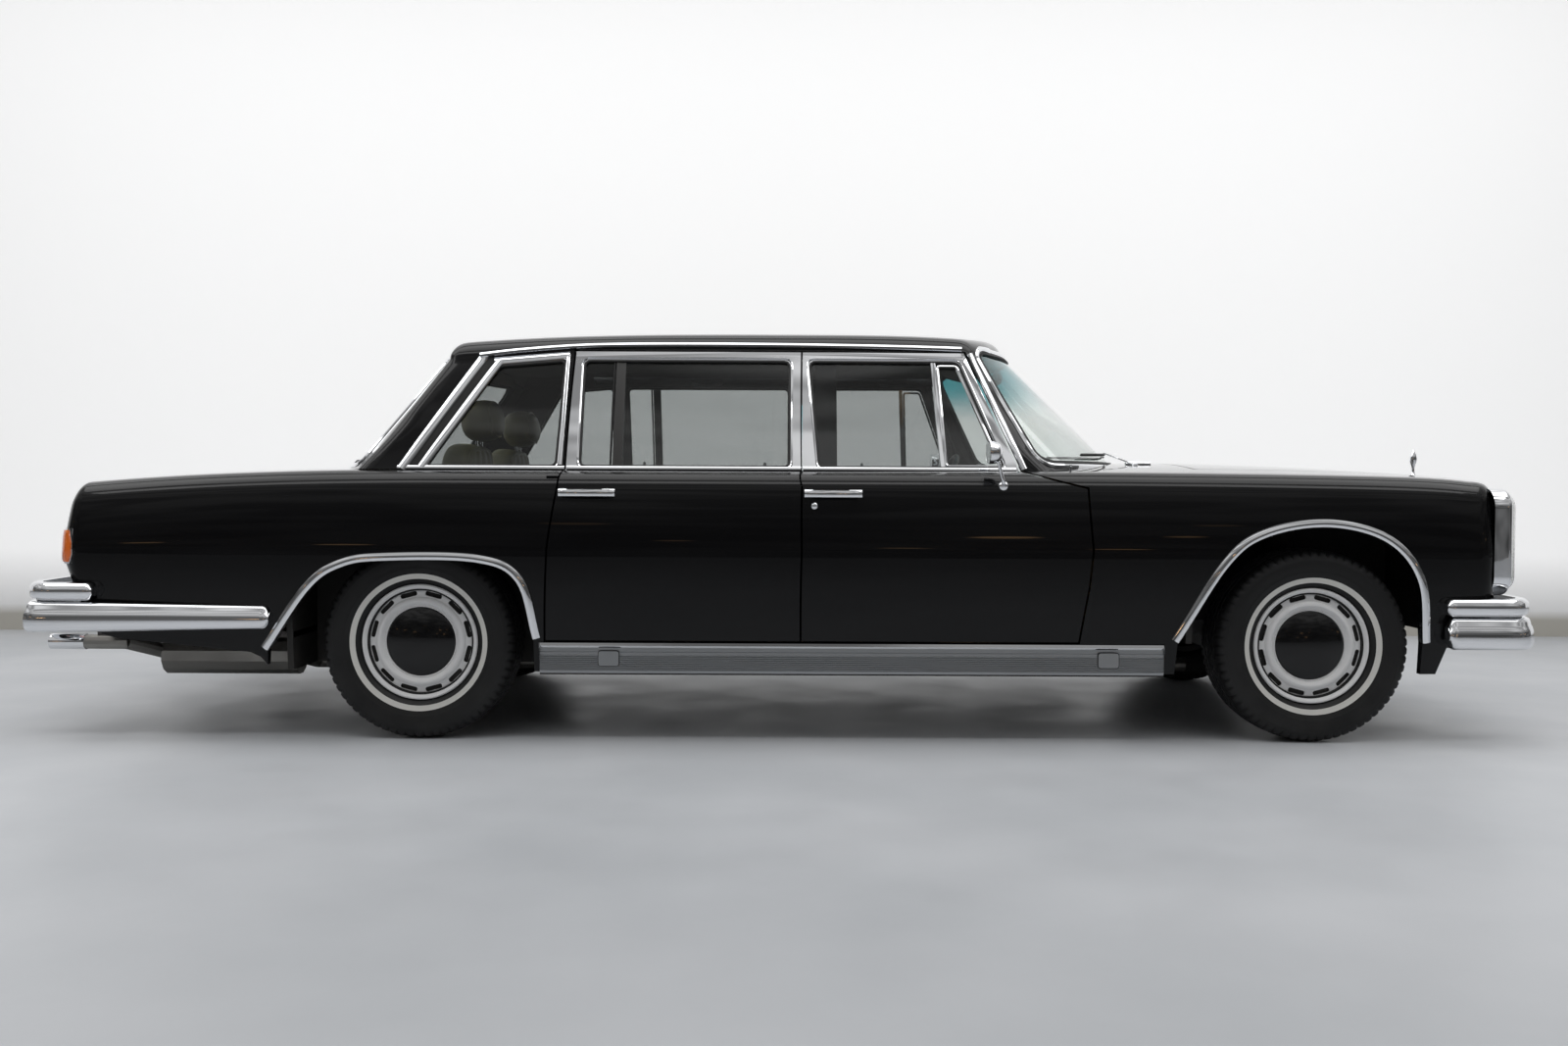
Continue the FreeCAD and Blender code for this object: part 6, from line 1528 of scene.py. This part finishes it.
# %% Tail lamps and exhaust tips
PROUD, LOW_PROUD = body_skin("proud", -0.0075), body_skin("low_proud", -0.005)
LAMP_SIDE = [(-2.519, 0.700), (-2.530, 0.744), (-2.66, 0.744), (-2.66, 0.631), (-2.530, 0.631), (-2.519, 0.660)]


def behind(y0, y1):
    return block(-3, -2.4, y0, y1, 0, 2)


def lamp_wedge(grow):
    return common("t", prism([(x, 0, z) for x, z in grown(LAMP_SIDE, grow)], (0, -1.2, 0)), behind(-2, -0.648 + grow))


wedge = lamp_wedge(0)
chrome_pair(cut("tail_lamp_bezel", common("t", LOW_PROUD, lamp_wedge(0.007)), wedge, BODY))
for name, look, y0, y1 in (("amber", amber, -2, -0.800), ("red", red_lens, -0.7985, -0.5)):
    made = pair(cut("tail_lamp_" + name, common("t", PROUD, wedge, behind(y0, y1)), BODY), "shell", look)
    if look is amber:
        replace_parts(made[0], "tail_lamps")
TIP = [(0.0, 0.0285), (0.125, 0.0285), (0.130, 0.0280), (0.130, 0.0255), (0.020, 0.0250), (0.0, 0.0250)]
pair(placed(spun("exhaust_tip", TIP, 64), (-2.5645, -0.720, 0.325), "Z", -90), "shell", chrome, 40)
print("front and rear pieces done")

# %% [markdown]
# Small bright parts: the pull handles, the round lock, the mirrors on their stalks, the sill covers with
# their ribs and jack covers, and the wiper arms.

# %% Handles, mirrors, sills and wipers
HANDLE_Z, HANDLE_OUT = 0.885, (0, -1.0, 0.05)
GRIP = [(-0.0125, -0.003), (-0.0115, 0.003), (-0.006, 0.0055), (0.006, 0.0055), (0.0115, 0.003), (0.0125, -0.003),
        (0.008, -0.0055), (-0.008, -0.0055)]
FOOT_PROFILE = [(-0.0155, -0.003), (-0.0145, 0.008), (-0.009, 0.014), (0.009, 0.014), (0.0145, 0.008), (0.0155, -0.003)]


def on_door(x0, x1, count):
    return np.array([(x, on_body(x, HANDLE_Z)[0][1], HANDLE_Z) for x in np.linspace(x0, x1, count)])


for name, x0, x1, bodies in (("handle_rear", -0.781, -0.582, REAR_DOORS), ("handle_front", 0.087, 0.290, FRONT_DOORS)):
    path = on_door(x0 + 0.010, x1 - 0.006, 26)
    path[:, 1] -= 0.010 + 0.020 * np.sin(math.pi * np.linspace(0.02, 0.98, 26)) ** 0.5
    chrome_pair(strip(name + "_grip", path, HANDLE_OUT, GRIP), bodies, 50)
    for part, a, b in (("_foot", x0, x0 + 0.030), ("_button", x1 - 0.045, x1)):
        chrome_pair(strip(name + part, on_door(a, b, 6), HANDLE_OUT, FOOT_PROFILE), bodies, 50)
    dish = strip(name + "_dish", on_door(x0 + 0.03, x1 - 0.045, 14), HANDLE_OUT, flat_bar(0.0135, -0.002, 0.0012))
    pair(dish, bodies, satin, 50)
LOCK = [(0.0, 0.0115), (0.004, 0.0112), (0.0055, 0.0095), (0.0050, 0.0080), (0.0058, 0.0070), (0.0058, 0.0)]
chrome_pair(placed(spun("door_lock", LOCK, 48, False), on_body(0.122, 0.842)[0]), FRONT_DOORS, 40)

MIRROR = (0.755, -0.966, 1.032)
CUP = ((-0.020, 0.93), (-0.0235, 0.965), (-0.022, 1.0), (-0.010, 1.0), (0.004, 0.94), (0.014, 0.80), (0.021, 0.58),
       (0.0245, 0.30))


def oval(dx, half_y, half_z):
    """A squarish oval ring across the car, about the middle of the mirror."""
    c, s = (f(np.arange(48) * 2 * math.pi / 48) for f in (np.cos, np.sin))
    return [tuple(p) for p in np.array(MIRROR) + np.column_stack([
        np.full(48, dx), half_y * np.copysign(abs(c) ** 0.8, c), half_z * np.copysign(abs(s) ** 0.8, s)])]


chrome_pair(rings_object("mirror_head", [oval(x, 0.060 * k, 0.040 * k) for x, k in CUP]), FRONT_DOORS, 50)
pair(rings_object("mirror_glass", [oval(dx, 0.0545, 0.0355) for dx in (-0.0225, -0.0233)]), FRONT_DOORS, mirror_face,
     40)
foot_at = on_body(0.790, 0.915)[0]
stalk_line = smooth_line([foot_at + (0, 0.002, 0), foot_at + (-0.002, -0.018, 0.012), (0.778, -0.962, 0.962),
                          (0.768, -0.966, 1.000)], 24)
stalks = chrome_pair(strip("mirror_stalk", stalk_line, (1.0, 0, 0.2), circle(0.0062, 14)), FRONT_DOORS, 60)
for made, (side, sign) in zip(stalks, SIDES):
    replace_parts(made, "door_mirror_" + side)
MIRROR_FOOT = [(-0.002, 0.018), (0.003, 0.0175), (0.008, 0.0135), (0.011, 0.007), (0.0115, 0.0)]
chrome_pair(placed(spun("mirror_foot", MIRROR_FOOT, 40, False), foot_at), FRONT_DOORS, 50)

SILL_REAR, SILL_FRONT, SILL_Z, RIB = -0.850, 1.365, 0.302, 0.0066


def along_sill(name, y, z, count, out, profile):
    return strip(name, [(x, y, z) for x in np.linspace(SILL_REAR, SILL_FRONT, count)], out, profile)


sill_profile = [(-0.060, -0.004), (-0.060, 0.0005)]
for z in (-0.048 + k * RIB for k in range(9)):
    sill_profile += [(z, 0.0045), (z + 0.0016, 0.0080), (z + 0.0034, 0.0080), (z + 0.0050, 0.0045)]
sill_profile += [(0.018, 0.0045), (0.020, 0.0015), (0.036, 0.0015), (0.036, -0.004)]
sill = along_sill("sill_cover", -0.932, SILL_Z, 40, (0, -1.0, 0), sill_profile)
if max(v.co.z for v in sill.data.vertices) > 0.345:
    sill.data.transform(Matrix.Translation((0, 0, 2 * SILL_Z)) @ Matrix.Scale(-1, 4, (0, 0, 1)))
    sill.data.flip_normals()
for made, (side, sign) in zip(pair(sill, "shell", ribbed, 25), SIDES):
    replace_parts(made, "sill_trim_" + side)
SILL_BRIGHT = [(-0.0105, -0.004), (-0.0105, 0.004), (-0.006, 0.0095), (0.004, 0.0105), (0.0105, 0.004),
               (0.0105, -0.004)]
chrome_pair(along_sill("sill_bright", -0.9325, 0.3465, 40, (0, -1.0, 0.1), SILL_BRIGHT), angle=40)
pair(along_sill("sill_flange", -0.930, 0.253, 20, (0, -1.0, 0), [
    (-0.013, -0.03), (-0.013, 0.002), (0.013, 0.004), (0.013, -0.03)]), "shell", under_black, 40)


def plaque(x0, x1, z0, z1, radius, y, depth):
    """A flat plate with round corners, standing along the car."""
    return prism([(x, y, z) for x, z in rounded(box_outline(x0, x1, z0, z1), radius)], (0, depth, 0))


for name, x in (("front", 1.168), ("rear", -0.605)):
    for part, look, half, z0, z1, radius, depth in (
            ("jack_cover_", ribbed, 0.036, 0.272, 0.324, 0.010, -0.0085),
            ("jack_cover_edge_", rubber, 0.0385, 0.2695, 0.3265, 0.012, -0.0078)):
        plate = plaque(x - half, x + half, z0, z1, radius, -0.934, depth)
        pair(plate, "shell", look, 30, part + name)


def wiper(name, y):
    base = np.array([1.362, y, 1.003 - 0.03 * abs(y) ** 2])
    blade, out = [], []
    for t in np.linspace(0, 1, 16):
        start = Vector((3, y - 0.10 + 0.52 * t, 1.030 + 0.012 * t))
        hit, normal, index, gap = CABIN_SOURCE.tree.ray_cast(start, Vector((-1, 0, 0)))
        out.append(np.array(normal))
        blade.append(np.array(hit) + out[-1] * 0.008)
    dress(strip(name + "_blade", blade, out, flat_bar(0.003, -0.006, 0.004)), rubber, 30)
    arm_line = smooth_line([base, base + (-0.006, 0.05, 0.012), (blade[6] + base) / 2 + (0.003, 0.02, 0.009),
                            blade[7] + out[7] * 0.008], 18)
    dress(strip(name + "_arm", arm_line, (0.6, 0, 1.0), flat_bar(0.004, -0.002, 0.002)), satin, 40)
    knob = spun(name + "_knob", [(-0.004, 0.014), (0.006, 0.013), (0.012, 0.009), (0.013, 0.0)], 32, False)
    dress(placed(knob, base, "X", -90), satin, 50)


INTAKE = [(-0.048, 0.0), (-0.048, 0.011), (-0.045, 0.0125), (0.045, 0.0125), (0.048, 0.011), (0.048, 0.0)]
for side, sign in SIDES:
    intake = placed(spun("cowl_intake_" + side, INTAKE, 32, False), (1.395, sign * 0.42, 1.003), "Z", 90)
    dress(intake, chrome, 40)
wiper("wiper_right", -0.50)
wiper("wiper_left", 0.05)

# %% [markdown]
# The seats are stuffed leather. Each cushion starts as a rounded, crowned solid, its corners pull in, and
# sewn channels are pressed into the face that is sat on. Cord piping runs round the edge of that face.

# %% Seats
CHANNEL_DEPTH, CHANNEL_WIDTH, CORNER_PULL, CORD = 0.010, 0.016, 0.035, 0.0042


def cube_grid(count):
    """The points and faces of a cube from -1 to 1, closer together near its edges."""
    points, faces, index = [], [], {}
    grid = np.sin(np.linspace(-1, 1, count + 1) * math.pi / 2) * 0.35 + np.linspace(-1, 1, count + 1) * 0.65
    for axis in range(3):
        u, v = [a for a in range(3) if a != axis]
        for sign in (-1, 1):
            for i in range(count):
                for j in range(count):
                    face = []
                    for a, b in ((i, j), (i + 1, j), (i + 1, j + 1), (i, j + 1)):
                        p = [0.0, 0.0, 0.0]
                        p[axis], p[u], p[v] = sign, grid[a], grid[b]
                        key = tuple(round(c, 5) for c in p)
                        if key not in index:
                            index[key] = len(points)
                            points.append(p)
                        face.append(index[key])
                    faces.append(tuple(face))
    return np.array(points), faces


def cushion(name, centre, half, face, lean=0.0, power=5.0, channels=(), count=44, look=tan_leather):
    """A crowned pad. The face is an axis and a sign, and the channels are places across the car, from -1 to 1."""
    raw, faces = cube_grid(count)
    axis, sign = face
    others = [a for a in range(3) if a != axis]
    size, turn = np.array(half), np.array(Matrix.Rotation(math.radians(lean), 3, "Y")).T

    def crowned(points, measure=None):
        made = points / ((np.abs(points) ** power).sum(1) ** (1 / power))[:, None]
        measure = made.copy() if measure is None else measure
        made[:, others] *= (1 - CORNER_PULL * (measure[:, others] ** 2).prod(1))[:, None]
        return made * size

    sat = np.clip((raw[:, axis] * sign - 0.2) / 0.8, 0, 1)
    edge = np.abs(raw[:, others]).max(1)
    real = crowned(raw, raw)
    for place in channels:
        press = CHANNEL_DEPTH * np.exp(-(((raw[:, 1] - place) * size[1]) / CHANNEL_WIDTH) ** 2)
        real[:, axis] -= sign * press * sat * np.clip((1 - edge) * 8, 0, 1)
    piece = outwards(new_object(name, real @ turn + np.array(centre), faces))
    dress(piece, look, 60)
    flat = np.array(circle(1, 96))
    ring = np.zeros((96, 3))
    ring[:, others] = flat / ((np.abs(flat) ** 7).sum(1) ** (1 / 7))[:, None]
    ring[:, axis] = sign * 0.80
    line = crowned(ring) @ turn
    forward = unit(np.roll(line, -1, 0) - np.roll(line, 1, 0))
    normal = unit(line)
    side_way = unit(np.cross(forward, normal))
    piping = [[tuple(p + np.array(centre) + c * n + s * w) for c, s in circle(CORD, 8)]
              for p, n, w in zip(line, normal, side_way)]
    dress(rings_object(name + "_piping", piping + piping[:1], False), look, 60)
    return piece


FRONT_CHANNELS, REAR_CHANNELS = (-0.66, -0.33, 0.0, 0.33, 0.66), tuple(np.linspace(-0.88, 0.88, 11))
POST = [(-0.030, 0.0), (-0.030, 0.005), (0.030, 0.005), (0.030, 0.0)]
for side, sign in SIDES:
    y = sign * 0.400
    name = "seat_front_" + side
    base = cushion(name + "_cushion", (0.372, y, 0.474), (0.262, 0.249, 0.082), (2, 1), -3, 5, FRONT_CHANNELS)
    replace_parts(base, name)
    cushion(name + "_back", (0.036, y, 0.722), (0.066, 0.247, 0.226), (0, 1), -8, 4.5, FRONT_CHANNELS)
    plinth = block(0.110, 0.600, y - 0.225, y + 0.225, 0.268, 0.415)
    dress(plinth, carpet, 30, name=name + "_plinth")
bench = cushion("seat_rear_cushion", (-0.944, 0, 0.548), (0.240, 0.620, 0.053), (2, 1), -2, 6, REAR_CHANNELS,
                look=olive_leather)
cushion("seat_rear_back", (-1.302, 0, 0.706), (0.078, 0.620, 0.190), (0, 1), -11, 5, REAR_CHANNELS, look=olive_leather)
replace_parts(bench, "seat_rear")
for side, sign in SIDES:
    y = sign * 0.400
    cushion("seat_rear_upper_" + side, (-1.225, y, 0.945), (0.070, 0.235, 0.125), (0, 1), 4, 3.6,
            (-0.6, -0.2, 0.2, 0.6), look=olive_leather)
    cushion("headrest_" + side, (-1.165, y, 1.160), (0.078, 0.125, 0.080), (0, 1), -8, 2.6, look=olive_leather)
    for k, dy in enumerate((-0.045, 0.045)):
        post = placed(spun("t", POST, 16, False), (-1.180, y + dy, 1.070), "X", 90)
        dress(post, chrome, 40, name="headrest_post_%s_%d" % (side, k + 1))

# %% [markdown]
# The dashboard is a rounded roll over a walnut board with two large dials, a clock, a speaker and two round
# vents. The steering wheel is a thin ring with a round hub and a bright horn ring, and it turns with its own
# body.

# %% Dashboard and steering wheel
DASH = [(1.362, 0.905), (1.300, 0.925), (1.180, 0.931), (1.090, 0.928), (1.045, 0.917), (1.024, 0.897), (1.020, 0.872),
        (1.030, 0.852), (1.050, 0.842), (1.062, 0.838), (1.066, 0.745), (1.058, 0.735), (1.046, 0.725), (1.044, 0.690),
        (1.060, 0.655), (1.110, 0.643), (1.362, 0.643)]
DASH_TOP, BOARD_X, BOARD_HALF, DIAL_Z, WHEEL_Y = 0.9349, 1.0585, 0.735, 0.792, 0.375
rings = []
for y in np.linspace(-0.752, 0.752, 41):
    hood = 0.016 * math.exp(-((y - WHEEL_Y) / 0.20) ** 4)
    rings.append([(x, y, min(DASH_TOP, z + (hood if 0.86 < z and x < 1.2 else 0))) for x, z in DASH])
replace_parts(dress(rings_object("dashboard_padded", rings), dash_grain, 45), "dashboard")
board = block(BOARD_X, 1.070, -BOARD_HALF, BOARD_HALF, 0.752, 0.832)
dress(board, walnut, 30, name="dash_board")
for k, z in enumerate((0.750, 0.8345)):
    edge = strip("dash_bright_%d" % (k + 1), [(1.058, y, z) for y in np.linspace(-BOARD_HALF, BOARD_HALF, 24)],
                 (-1.0, 0, 0), flat_bar(0.002, -0.004, 0.001))
    dress(edge, chrome, 30)
for name, y, r in (("dial_left", 0.455, 0.040), ("dial_right", 0.300, 0.040), ("clock", 0.170, 0.026),
                   ("speaker", 0.0, 0.034), ("vent_right", -0.66, 0.030), ("vent_left", 0.68, 0.030)):
    for part, look, count, profile in (
            ("_ring", chrome, 48, [(0.0, r), (0.008, r), (0.010, r - 0.002), (0.008, r - 0.004), (0.001, r - 0.005),
                                   (0.001, 0.0)]),
            ("_face", plastic, 32, [(0.0025, 0.0), (0.0025, r - 0.0045), (0.0015, r - 0.0045), (0.0015, 0.0)])):
        dress(placed(spun(name + part, profile, count, False), (BOARD_X, y, DIAL_Z), "Z", -90), look, 35)
wheel_turn = Matrix.Translation((0.690, WHEEL_Y, 0.865)) @ Matrix.Rotation(math.radians(-(90 - 27)), 4, "Y")


def wheel_part(name, piece, look):
    piece.data.transform(wheel_turn)
    return dress(piece, look, 60, "steering_wheel", name)


def ring_tube(radius, thick, height=0.0, grip=0.0, count=120):
    rings = []
    for a in np.arange(count) * 2 * math.pi / count:
        t = thick * (1 + grip * (0.5 + 0.5 * math.cos(a * 24)))
        rings.append([((radius + u) * math.cos(a), (radius + u) * math.sin(a), height + v) for u, v in circle(t, 14)])
    return rings_object("ring", rings + rings[:1], False)


def spoke(sign, start, end, count, drop, height, profile):
    line = [(0, sign * r, height - drop * math.sin((r - 0.05) / 0.15 * math.pi))
            for r in np.linspace(start, end, count)]
    return strip("spoke", line, (0, 0, 1.0), profile)


HUB = [(-0.020, 0.0), (-0.020, 0.052), (0.004, 0.058), (0.018, 0.050), (0.026, 0.034), (0.030, 0.016), (0.031, 0.0)]
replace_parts(wheel_part("steering_rim", ring_tube(0.203, 0.0118, 0, 0.06), plastic), "steering_wheel")
wheel_part("horn_ring", ring_tube(0.128, 0.0035, 0.006), chrome)
wheel_part("steering_hub", placed(spun("hub", HUB, 64, False), (0, 0, 0), "X", -90), plastic)
for k, sign in enumerate((-1, 1)):
    wheel_part("steering_spoke_%d" % (k + 1),
               spoke(sign, 0.045, 0.200, 14, 0.010, -0.004, flat_bar(0.020, -0.004, 0.003)), plastic)
    wheel_part("horn_arm_%d" % (k + 1),
               spoke(sign, 0.040, 0.128, 8, 0.0, 0.006, flat_bar(0.006, -0.002, 0.002)), chrome)

# %% [markdown]
# Inside, the roof has a soft lining, and the doors have plain leather cards with a walnut rail. Sun visors,
# grab handles and thin lock pins finish what shows through the windows. Valve covers and an air cleaner dress
# the engine.

# %% Lining, door cards and small inner parts
lining = cut("t", cabin_skin("lining_out", 0.034), cabin_skin("lining_in", 0.040))
lining = common("t", lining, block(-1.32, 0.905, -FAR, FAR, 1.412, 3))
dress(lining, headliner, 40, name="roof_lining")
for side, sign in SIDES:
    cushion("sun_visor_" + side, (0.775, sign * 0.300, 1.405), (0.075, 0.205, 0.008), (2, -1), 16, 3.5, look=headliner,
            count=20)
    for k, x in enumerate((-0.35, 0.52)):
        grab = [(x + dx, sign * y, z) for dx, y, z in (
            (-0.075, 0.665, 1.405), (-0.065, 0.650, 1.385), (0, 0.640, 1.374), (0.065, 0.650, 1.385),
            (0.075, 0.665, 1.405))]
        grip = strip("grab_handle_%s_%d" % (side, k + 1), smooth_line(grab, 22), (0, 0.3, -1.0), circle(0.006, 10))
        dress(grip, dash_grain, 60)
cushion("inner_mirror", (0.905, 0, 1.365), (0.010, 0.110, 0.026), (0, -1), -10, 3.0, look=plastic, count=16)
PIN = [(0.0, 0.0), (0.0, 0.003), (0.030, 0.003), (0.033, 0.0052), (0.044, 0.0050), (0.047, 0.0)]
for end, x0, x1, bodies in (("front", 0.225, 1.150, FRONT_DOORS), ("rear", -0.560, 0.045, REAR_DOORS)):
    pair(plaque(x0, x1, 0.380, 0.945, 0.03, -0.8235, 0.012), bodies, tan_leather, 40, "door_card_" + end)
    pair(plaque(x0 + 0.01, x1 - 0.01, 0.905, 0.950, 0.012, -0.812, 0.010), bodies, walnut, 40,
         "door_rail_" + end)
    for k, x in enumerate((x0 + 0.07, x1 - 0.10)):
        pin = placed(spun("t", PIN, 20, False), (x, -0.826, 0.950), "X", -90)
        pair(pin, bodies, chrome, 40, "lock_pin_%s_%d" % (end, k + 1))
for side, sign in SIDES:
    outline = rounded(box_outline(1.660, 2.280, 0.100, 0.235), 0.03)
    cover = prism([(x, sign * y, 0.8505) for x, y in outline], (0, 0, 0.030))
    dress(cover, satin, 30, name="valve_cover_" + side)
    ribs = [prism([(x, sign * y, 0.8800) for x, y in box_outline(a, a + 0.012, 0.125, 0.210)], (0, 0, 0.006))
            for a in 1.70 + 0.045 * np.arange(12)]
    dress(joined("valve_cover_ribs_" + side, *ribs), satin, 30)
CLEANER = [(0.0, 0.0), (0.0, 0.155), (0.006, 0.165), (0.034, 0.165), (0.042, 0.158), (0.044, 0.120), (0.050, 0.060),
           (0.052, 0.012), (0.062, 0.010), (0.063, 0.0)]
cleaner = placed(spun("air_cleaner", CLEANER, 96, False), (1.960, 0, 0.8865), "X", -90)
dress(cleaner, plastic, 40)
print("inner pieces done")

# %% Finish
NODE_LOOKS = {"headlamps": lamp_glass, "tail_lamps": amber, "grille": chrome, "bonnet_finial": chrome,
              "front_bumper": chrome, "rear_bumper": chrome, "floor_pan": under_black, "bulkhead": under_black,
              "engine": cast, "fuel_tank": under_black, "front_suspension": under_black, "rear_axle": under_black,
              "gearbox_and_shaft": cast, "steering_column": plastic}
FAMILY_LOOKS = {"cabin": paint, "seat": tan_leather, "exhaust": steel, "sill": ribbed, "rim": chrome,
                "tyre": tyre_rubber, "knuckle": cast, "door": chrome, "dashboard": dash_grain, "steering": plastic}
LID_BODIES = {"bonnet_panel": "bonnet", "boot_lid_panel": "boot_lid"}
for name, node in frame["nodes"].items():
    if not node.hide_render:
        node.data.materials.clear()
        node.data.materials.append(NODE_LOOKS.get(name) or FAMILY_LOOKS.get(name.split("_")[0], paint))
for name, piece in pieces.items():
    look = (screen_glass if name == "windscreen_pane" else side_glass if "pane" in name and "panel" not in name
            else chrome if "window_frame" in name and "panel" not in name else paint)
    piece.data.materials.clear()
    piece.data.materials.append(look)
    if "window_frame" in name or name in ("pillars", "roof_panel"):
        piece.data.materials.append(headliner)
        for polygon in piece.data.polygons:
            n, y = polygon.normal, polygon.center.y
            inward = -n.y * math.copysign(1, y) if abs(n.y) > 0.3 else -n.z
            polygon.material_index = int(inward > 0.3)
    if "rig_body" not in piece:
        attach(piece, LID_BODIES.get(name, "shell"))
for piece in [o for o in bpy.data.objects if o.type == "MESH" and "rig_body" not in o and o not in (floor, wall)]:
    bpy.data.objects.remove(piece)
for piece in bpy.data.objects:
    if piece.type == "MESH" and "." in piece.name and piece.name not in frame["nodes"]:
        piece.name = piece.name.split(".")[0]
